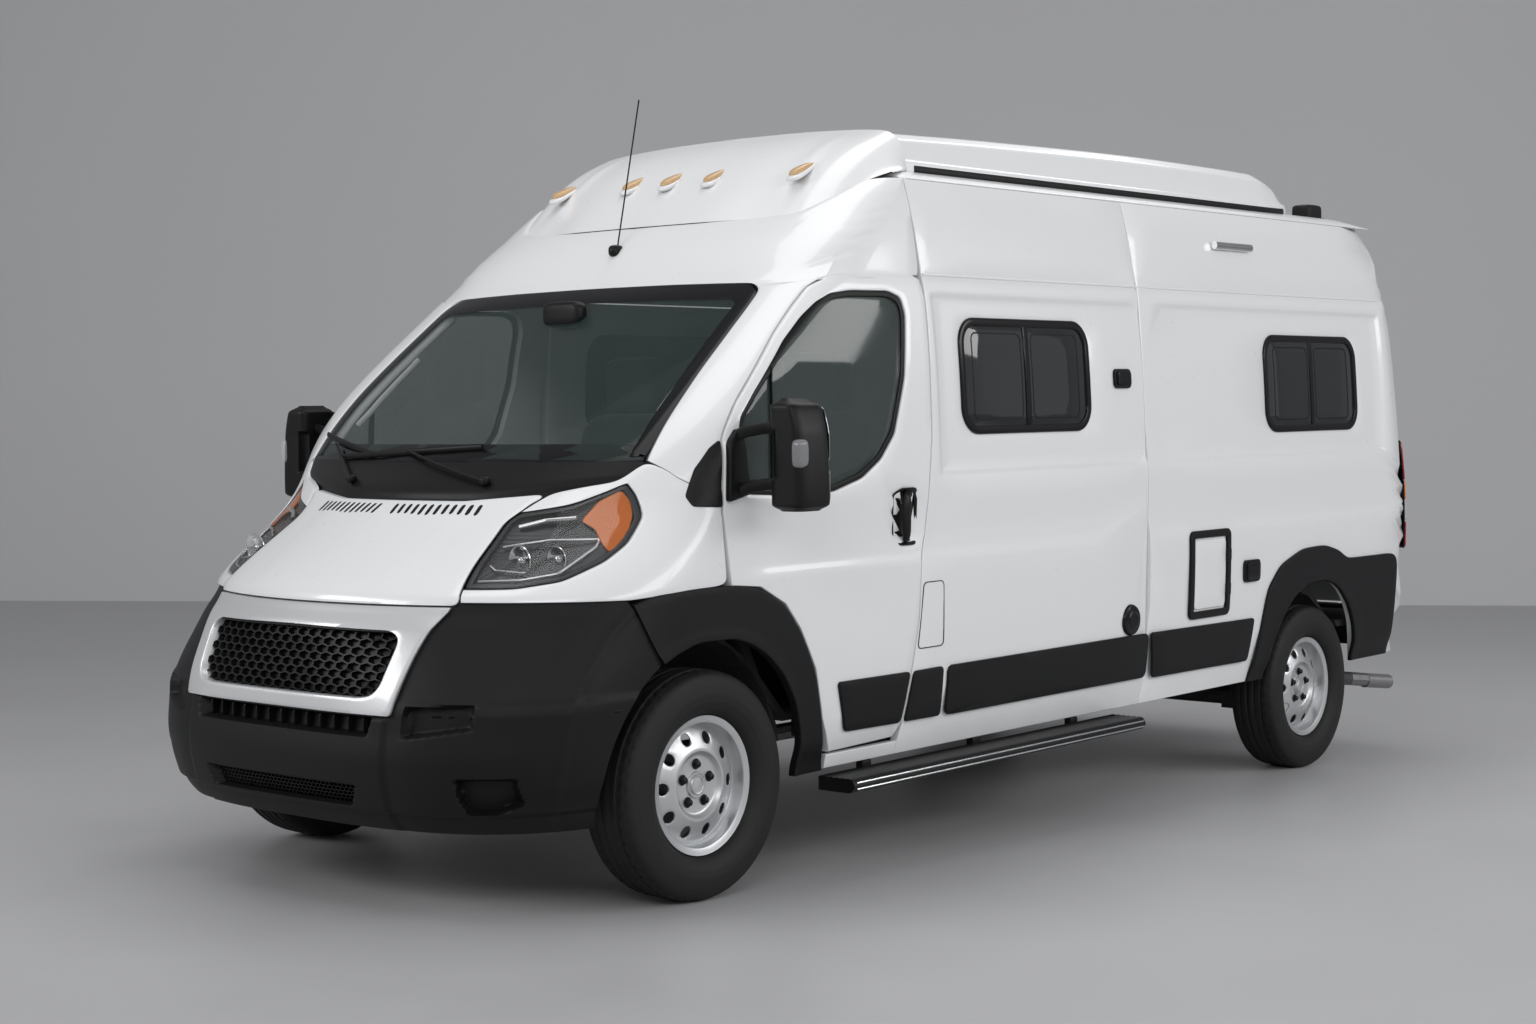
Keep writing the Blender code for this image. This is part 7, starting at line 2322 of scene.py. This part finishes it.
    def barrel(self, face: Table) -> Part:
        """From the disc's front round the outer flange, the barrel and the inner flange to its back.

        Args:
            face: depth of the disc's front by radius.

        Returns:
            Points and faces.
        """
        start = float(face(self.outer_r))
        profile = [(self.outer_r, start), (0.186, float(face(0.186))), (0.19, 0.029), (0.1935, 0.033),
                   (0.1955, 0.052), (0.1965, 0.066), (0.1985, 0.0735), (0.206, 0.0765), (0.215, 0.078),
                   (0.22, 0.0795), (0.2212, 0.078), (0.2209, 0.0758), (0.213, 0.0745), (0.2032, 0.0739),
                   (0.2032, -0.0739), (0.213, -0.0745), (0.2209, -0.0758), (0.2212, -0.078),
                   (0.22, -0.0795), (0.206, -0.077), (0.1985, -0.074), (0.1965, -0.06), (0.193, 0.012),
                   (0.1915, 0.018), (0.187, 0.0215), (self.outer_r, start - 0.006)]
        return self.turned(profile)

    def hub(self, face: Table) -> Part:
        """From the cells in to the hub's bolt face, the ringed cap and back along the inside.

        Args:
            face: depth of the disc's front by radius.

        Returns:
            Points and faces.
        """
        start = float(face(self.inner_r))
        profile = [(self.inner_r, start), (0.12, float(face(0.12)) + 0.0006), (0.114, 0.0635),
                   (0.107, 0.063), (0.102, 0.0575), (0.097, 0.05), (0.092, 0.047), (0.086, 0.046),
                   (0.05, 0.046), (0.0435, 0.0465), (0.043, 0.051), (0.0405, 0.0535), (0.037, 0.053),
                   (0.0355, 0.05), (0.033, 0.05), (0.0315, 0.0555), (0.0285, 0.058), (0.025, 0.057),
                   (0.0235, 0.054), (0.02, 0.0545), (0.01, 0.056), (0.0, 0.0563)]
        back = [(0.0, 0.0303), (0.088, 0.0303), (0.104, 0.048), (0.116, 0.0535),
                (self.inner_r, start - 0.006)]
        return self.turned(profile + back)

    def bolts(self) -> list[Part]:
        """Five domed six-sided bolts with round collars, and the valve.

        Returns:
            Its parts.
        """
        parts = []
        for k in range(5):
            angle = 2 * math.pi * (k + 0.25) / 5
            spot = (0.065 * math.cos(angle), 0.0, 0.065 * math.sin(angle))
            turn = circle(24)[None, :]
            line = np.array([(0.0, 0.045), (0.0175, 0.045), (0.0175, 0.0475), (0.011, 0.049), (0.011, 0.06),
                             (0.0085, 0.0625), (0.004, 0.064), (0.0, 0.0643)])
            hexed = 1.0 - 0.1 * np.abs(np.sin(3
                                              * turn)) * ((line[:, 0] < 0.0111) & (line[:, 1] > 0.0495))[:,
                    None]
            radius = line[:, 0, None] * hexed
            parts.append(grid(join(spot[0] + radius * np.cos(turn), line[:, 1, None],
                                   spot[2] + radius * np.sin(turn)), False, True))
        parts.append(round_bar([(0.186, 0.036, 0.02), (0.18, 0.066, 0.019)], 0.0032, 10, 8))
        return parts


@dataclass
class Lamps:
    """Headlamps: a clear lens over a bright housing with two bowls, an amber section and a dark edge."""

    def build(self) -> None:
        """Makes both lamps."""
        for sign, name in SIDES:
            line = softened(grown(LAMP_OUTLINE, -0.002), 220, 0.022)
            centre = (0.715, 1.15)
            lens = panel(line, None, centre, lifted(Skin.front, -0.001), 0.005, 0.003, 7, front_places)
            make(f"lamp_lens_{name}", [lens], Look.CLEAR, [f"headlamp_{name}"], side=sign)
            shade = grown(line, -0.002)
            edge = panel(shade, grown(line, -0.014), centre, lifted(Skin.front, -0.008), 0.04, 0.001, 3,
                         front_places)
            back = panel(shade, None, centre, self.housing, 0.006, 0.001, 14, front_places)
            make(f"lamp_housing_{name}", (edge, back), Look.LAMP_GREY, side=sign)
            amber = softened([(0.742, 1.205), (0.752, 1.262), (0.8, 1.298), (0.836, 1.268), (0.868, 1.222),
                              (0.89, 1.165), (0.886, 1.11), (0.846, 1.14), (0.8, 1.18)], 90, 0.02)
            glow = panel(amber, None, (0.822, 1.215), lifted(Skin.front, -0.012), 0.01, 0.004, 4,
                         front_places)
            make(f"lamp_amber_{name}", [glow], Look.AMBER, side=sign)
            make(f"lamp_bowls_{name}", self.bowls(), Look.CHROME, side=sign)

    @staticmethod
    def housing(place: Array, depth: Array | float) -> Array:
        """Back of the lamp: under the skin, deepest in the middle, in fine steps.

        Args:
            place: surface places, (turn, z) or two coordinates, on the last axis.
            depth: depth inward from the skin.

        Returns:
            Points in the body frame.
        """
        y, z = Skin.front(place)[..., 1], place[..., 1]
        deep = 0.022 + 0.022 * np.exp(-((y - 0.7) / 0.13) ** 2 - ((z - 1.15) / 0.1) ** 2)
        return Skin.front(place, depth + deep + 0.0012 * np.sin(z * 520.0))

    @staticmethod
    def bowls() -> list[Part]:
        """Two reflectors with their bulbs' shields, opening forward.

        Returns:
            Its parts.
        """
        parts = []
        for y, z, size in ((0.672, 1.088, 0.047), (0.77, 1.092, 0.04)):
            spot = Skin.front(front_places([(y, z)]), 0.018)[0]
            profile = [(size, 0.0), (size * 1.04, -0.002), (size * 0.98, -0.006), (size * 0.72, -0.018),
                       (size * 0.4, -0.026), (0.0, -0.03), (0.0, -0.024), (size * 0.38, -0.02),
                       (size * 0.68, -0.012), (size * 0.92, -0.001)]
            points, faces = revolved(profile, (0.0, 0.0, 0.0), 48, True)
            parts.append((join(points[:, 1] + spot[0], points[:, 0] + spot[1], points[:, 2] + spot[2]),
                          faces))
            parts.append(box_form(spot + (-0.01, 0.0, 0.0), (0.012, 0.014, 0.014), 2.4, 12, 20))
        for line, size in (([(0.585, 1.128), (0.7, 1.148), (0.835, 1.15), (0.842, 1.128), (0.806, 1.052),
                             (0.72, 1.034), (0.605, 1.03)], 0.0045),
                           ([(0.6, 1.075), (0.628, 1.062), (0.72, 1.054)], 0.0035),
                           ([(0.575, 1.185), (0.64, 1.205), (0.725, 1.212)], 0.0085)):
            path = Skin.front(front_places(sampled(line, 60)), 0.015)
            parts.append(swept(path, lambda s, a, r=size: (r * np.cos(a), r * np.sin(a)), 12))
        return parts


@dataclass
class Cabin:
    """What shows through the glass: seats, dashboard, steering wheel, pillar trim, handle, roof lining and
    sensor shroud.
    """

    def build(self) -> None:
        """Makes the cab's inside."""
        for sign, name in SIDES:
            self.seat(sign, name)
        self.dashboard()
        self.wheel()
        self.trim()

    @staticmethod
    def cushion(line: Sequence[tuple[float, float]], y: float, half: float, crown: float) -> Part:
        """Crowned pad: its side outline carried across, shrunk toward both sides, with two seams.

        Args:
            line: the outline seen from the side, (x, z).
            y: its middle across the van.
            half: half of its width.
            crown: share by which it narrows at its sides.

        Returns:
            Points and faces.
        """
        outline = softened(line, 96, 0.06)
        middle = outline.mean(axis=0)
        t = np.linspace(-1.0, 1.0, 60)
        size = (1 - np.abs(t) ** 5) ** 0.35
        seam = 1 - 0.03 * (np.exp(-((t - 0.52) / 0.035) ** 2) + np.exp(-((t + 0.52) / 0.035) ** 2))
        bolster = 1 + 0.05 * np.exp(-((np.abs(t) - 0.74) / 0.16) ** 2) - 0.02
        scale = (np.maximum(size, 0.02) * seam * bolster)[:, None, None]
        flat = middle + (outline - middle)[None] * (1 - crown + crown * scale)
        points = join(flat[..., 0], np.broadcast_to((y + half * t)[:, None], flat.shape[:2]), flat[..., 1])
        return grid(points, False, True, True)

    def seat(self, sign: int, name: str) -> None:
        """Base cushion, back, head restraint, its posts, and the moulded plinth.

        Args:
            sign: 1 for the left side, -1 for the right.
            name: the side's name, left or right.
        """
        y = sign * 0.46
        base = self.cushion([(-0.62, 0.76), (-0.6, 0.865), (-0.66, 0.985), (-1.1, 0.945), (-1.085, 0.76)],
                            y, 0.243, 0.35)
        back = self.cushion([(-1.02, 0.93), (-1.16, 1.52), (-1.27, 1.54), (-1.25, 1.2), (-1.18, 0.9)], y,
                            0.233, 0.3)
        head = self.cushion([(-1.187, 1.535), (-1.182, 1.745), (-1.283, 1.755), (-1.288, 1.535)], y, 0.128,
                            0.3)
        cloth = make(f"seat_pads_{name}", [base, back, head], Look.SEAT, [f"seat_{name}"], sharp=60.0)
        plinth = box_form((-0.85, y, 0.655), (0.215, 0.225, 0.122), 7.0, 20, 48)
        posts = [round_bar([(-1.225, y + at, 1.49), (-1.235, y + at, 1.56)], 0.006, 10, 6)
                 for at in (-0.05, 0.05)]
        make(f"seat_base_{name}", [plinth, *posts], Look.DASH)

    def dashboard(self) -> None:
        """Dashboard: a softened section carried across, a hood over the dials, a centre stack and vents."""
        profile = softened([(-0.245, 1.238), (-0.1, 1.296), (-0.3, 1.342), (-0.52, 1.298), (-0.595, 1.18),
                            (-0.548, 0.985), (-0.42, 0.905), (-0.31, 0.905), (-0.3, 1.0)], 110, 0.05)
        y = np.linspace(-0.893, 0.893, 90)[:, None]
        bulge = 0.012 * (np.exp(-((y - 0.46) / 0.2) ** 2) + np.exp(-(y / 0.17) ** 2))
        x = profile[None, :, 0] - bulge * step(profile[None, :, 0], -0.35, -0.5)
        z = profile[None, :, 1] + bulge * step(profile[None, :, 1], 1.2, 1.28)
        body = grid(join(x, y, z), False, True, True)
        column = round_bar([(-0.5, 0.46, 1.025), (-0.6255, 0.46, 1.116)], 0.036, 20, 8)
        make("dash_body", [body, column], Look.DASH, ["dashboard"])
        parts = [box_form((-0.596, 0.0, 1.155), (0.01, 0.115, 0.075), 7.0, 14, 36)]
        parts += [box_form((-0.58, y, 1.235), (0.012, 0.055, 0.028), 5.0, 12, 28)
                  for y in (-0.78, -0.24, 0.24, 0.78)]
        parts.append(box_form((-0.47, 0.46, 1.325), (0.085, 0.165, 0.03), 4.0, 16, 36))
        make("dash_inserts", parts, Look.GLOSS)

    def wheel(self) -> None:
        """Steering wheel: a round rim, padded hub and three flat spokes."""
        centre, lean = np.array((-0.73, 0.46, 1.19)), math.radians(35)
        normal = np.array((-math.cos(lean), 0.0, math.sin(lean)))
        side, up = np.array((0.0, 1.0, 0.0)), np.cross((-math.cos(lean), 0.0, math.sin(lean)),
                                                       (0.0, 1.0, 0.0))
        turn = circle(96)
        path = centre + 0.185 * (np.cos(turn)[:, None] * side + np.sin(turn)[:, None] * up)
        rim = oval(path, 0.0135, 0.0135, 20, True, tuple(normal))
        parts = [rim]
        for degrees in (0, 180, 270):
            out = side * math.cos(math.radians(degrees)) + up * math.sin(math.radians(degrees))
            line = np.stack([centre + out * reach - normal * 0.012
                             for reach in np.linspace(0.04, 0.182, 16)])
            parts.append(swept(line, lambda s, a: (np.cos(a) * (0.021 - 0.007 * s), np.sin(a) * 0.006), 16,
                               False, tuple(normal)))
        form, faces = box_form((0.0, 0.0, 0.0), (0.07, 0.062, 0.024), 3.2, 18, 40)
        hub = centre + form[:, 0, None] * side + form[:, 1, None] * up + (form[:, 2, None] - 0.018) * normal
        parts.append((hub, faces))
        shaft = round_bar([tuple(centre - normal * 0.122), tuple(centre - normal * 0.02)], 0.03, 20, 8)
        make("wheel_of_steering", [*parts, shaft], Look.BLACK, ["steering_wheel"], body="steering_wheel")

    def trim(self) -> None:
        """Grey pillar trim with a grab handle, the grey lining over the cab and a black sensor shroud."""
        parts = []
        for sign in (1, -1):
            line = Skin.front(front_places(sampled([(0.835, 1.42), (0.82, 1.64), (0.785, 1.9)], 30)), 0.052)
            bar = oval(line, 0.026, 0.018, 20)
            grab = Skin.front(front_places(sampled([(0.812, 1.5), (0.795, 1.54), (0.79, 1.7),
                                                    (0.795, 1.74)], 24)), 0.085)
            hold = oval(grab, 0.009, 0.011, 16)
            parts += [on_side(bar, sign), on_side(hold, sign)]
        make("pillar_trim", parts, Look.TRIM)
        y = np.linspace(-0.7, 0.7, 30)[:, None]
        z = np.linspace(0.0, 1.0, 24)[None, :]
        lining = join(-0.62 - 0.52 * z, y, 1.985 + 0.16 * z)
        below = lining - (0.0, 0.0, 0.012)
        make("cab_lining", [grid(np.concatenate([lining, below[:, ::-1]], 1), False, True, True)],
             Look.TRIM)
        shroud = box_form((-0.4, 0.0, 1.885), (0.03, 0.095, 0.045), 4.0, 16, 32)
        make("sensor_shroud", [shroud], Look.BLACK)


@dataclass
class Underneath:
    """Running boards with bright strips and the exhaust's tip."""

    def build(self) -> None:
        """Makes the boards and the tip."""
        x = np.linspace(-2.465, -0.625, 60)
        profile = softened([(0.946, 0.263), (1.084, 0.263), (1.104, 0.285), (1.089, 0.311), (0.946, 0.311)],
                           72, 0.012)
        for sign, name in SIDES:
            ribs = 0.0012 * np.sin(profile[:, 0] * 900.0) * step(profile[:, 1], 0.306, 0.311)
            points = join(np.broadcast_to(x[:, None], (60, 72)), np.broadcast_to(profile[:, 0], (60, 72)),
                          np.broadcast_to(profile[:, 1] + ribs, (60, 72)))
            parts = [grid(points, False, True, True)]
            for at in (-2.175, -1.525, -0.875):
                parts.append(box_form((at, 0.9425, 0.317), (0.025, 0.0175, 0.0172), 6.0, 12, 28))
            make(f"step_board_{name}", parts, Look.BLACK, [f"running_board_{name}"], side=sign)
            strips = [round_bar([(-2.45, y, z), (-0.64, y, z)], 0.0035, 8, 24) for y,
                      z in ((1.0985, 0.298), (1.0995, 0.277))]
            make(f"step_strips_{name}", strips, Look.CHROME, side=sign)
        tip = [(-4.86, 0.862, 0.1985), (-5.03, 0.902, 0.1785)]
        line = sampled(tip, 12)
        part = oval(line, 0.0345, 0.0345, 32)
        make("exhaust_tip", [part], Look.BOLT)


@dataclass
class Studio:
    """Camera at the photograph's view, plain pale floor and soft light."""

    lens: float = 53.15
    sensor: float = 36.0
    eye: tuple[float, float, float] = (5.2611 + FRONT_AXLE_X, 5.7559, 1.4228)
    yaw: float = math.radians(220.593)
    pitch: float = math.radians(-1.5913)
    roll: float = math.radians(0.19)
    wall_distance: float = 20.9

    def camera(self) -> None:
        """Places the camera from its eye point, yaw, pitch and roll."""
        ahead = Vector((math.cos(self.yaw) * math.cos(self.pitch),
                        math.sin(self.yaw) * math.cos(self.pitch), math.sin(self.pitch)))
        turn = ahead.to_track_quat("-Z", "Y").to_matrix() @ Matrix.Rotation(self.roll, 3, "Z")
        data = bpy.data.cameras.new("camera")
        data.lens, data.sensor_width, data.sensor_fit = self.lens, self.sensor, "HORIZONTAL"
        data.clip_end = 100.0
        camera = bpy.data.objects.new("camera", data)
        camera.matrix_world = Matrix.Translation(self.eye) @ turn.to_4x4()
        bpy.context.scene.collection.objects.link(camera)
        bpy.context.scene.camera = camera

    def floor(self) -> None:
        """Large pale floor and a pale backdrop wall."""
        s = Shader("floor_look")
        tone = s.noise(0.9, 6.0, 0.6)
        s.feed(Base_Color=s.blend(tone, (0.4, 0.4, 0.41), (0.47, 0.47, 0.475)), Roughness=tone * 0.2 + 0.35)
        size = 60.0
        mesh = bpy.data.meshes.new("floor")
        mesh.from_pydata([(-size, -size, 0), (size, -size, 0), (size, size, 0), (-size, size, 0)], [],
                         [(0, 1, 2, 3)])
        mesh.materials.append(s.material)
        floor = bpy.data.objects.new("floor", mesh)
        bpy.context.scene.collection.objects.link(floor)
        wall_mesh = bpy.data.meshes.new("backdrop")
        ahead = np.array((math.cos(self.yaw), math.sin(self.yaw)))
        across = np.array((-ahead[1], ahead[0]))
        foot = np.array(self.eye[:2]) + ahead * self.wall_distance
        corners = [(*(foot + across * side * 40.0), height) for side,
                   height in ((-1, 0), (1, 0), (1, 30), (-1, 30))]
        wall_mesh.from_pydata(corners, [], [(0, 1, 2, 3)])
        w = Shader("backdrop_look")
        w.feed(Base_Color=w.blend(w.noise(0.12, 3.0), (0.62, 0.62, 0.63), (0.72, 0.72, 0.73)),
               Roughness=0.8)
        wall_mesh.materials.append(w.material)
        wall = bpy.data.objects.new("backdrop", wall_mesh)
        bpy.context.scene.collection.objects.link(wall)

    def lights(self) -> None:
        """Soft overhead panels in rows, and an even grey world."""
        world = bpy.data.worlds.new("studio")
        world.use_nodes = True
        background = world.node_tree.nodes["Background"]
        background.inputs["Color"].default_value = (0.42, 0.425, 0.435, 1.0)
        background.inputs["Strength"].default_value = 0.95
        bpy.context.scene.world = world
        for x, y, z, wide, deep, power, tilt, turn in ((2.0, 0.0, 5.4, 6.0, 1.6, 60.0, 0.0, 0.0),
                                                       (-2.5, 0.0, 5.4, 6.0, 1.6, 70.0, 0.0, 0.0),
                                                       (8.5, 5.0, 4.8, 4.0, 2.5, 130.0, 55.0, 122.0),
                                                       (-4.0, 8.0, 4.2, 7.0, 2.5, 230.0, 60.0, 190.0),
                                                       (2.5, 9.0, 4.0, 6.0, 2.0, 140.0, 62.0, 172.0),
                                                       (8.5, -4.0, 4.0, 4.0, 2.5, 190.0, 58.0, 60.0)):
            data = bpy.data.lights.new("panel", "AREA")
            data.shape, data.size, data.size_y, data.energy = "RECTANGLE", wide, deep, power
            lamp = bpy.data.objects.new("panel", data)
            lamp.location = (x, y, z)
            lamp.rotation_euler = (math.radians(tilt), 0.0, math.radians(turn))
            bpy.context.scene.collection.objects.link(lamp)

    def build(self) -> None:
        """Camera, floor, lights and plain view transform."""
        self.camera()
        self.floor()
        self.lights()
        bpy.context.scene.view_settings.view_transform = "Standard"


@dataclass
class Dressing:
    """Gives every CAD node its finish."""

    frame: dict[str, Any]
    special: dict[str, Look] = field(default_factory=lambda: {"front_door_glass_left": Look.DOOR_GLASS,
                                                              "front_door_glass_right": Look.DOOR_GLASS})

    def build(self) -> None:
        """Replaces each node's materials with its slot's finish."""
        for row in self.frame["record"]["subparts"]:
            node, slot = row["node"], row["material_slot"]
            look = self.special.get(node, SLOT_LOOKS[slot])
            mesh = self.frame["nodes"][node].data
            mesh.materials.clear()
            mesh.materials.append(look.material())
            LOG.info("node %s dressed as %s", node, look.name)


def main() -> None:
    """Builds the scene in order."""
    logging.basicConfig(level=logging.INFO, format="%(message)s")
    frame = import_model()
    Studio().build()
    Dressing(frame).build()
    FrontBody().build()
    Nose().build()
    Sides().build()
    FrontDoors().build()
    Flares().build()
    Upper().build()
    Rear().build()
    Lamps().build()
    Cabin().build()
    Underneath().build()
    for name, x, y in (("front_left", 0.0, FRONT_TRACK_Y), ("front_right", 0.0, -FRONT_TRACK_Y),
                       ("rear_left", -WHEELBASE, REAR_TRACK_Y), ("rear_right", -WHEELBASE, -REAR_TRACK_Y)):
        Wheel(name, (FRONT_AXLE_X + x, y, AXLE_Z), 1 if y > 0 else -1).build()


if __name__ == "__main__":
    main()
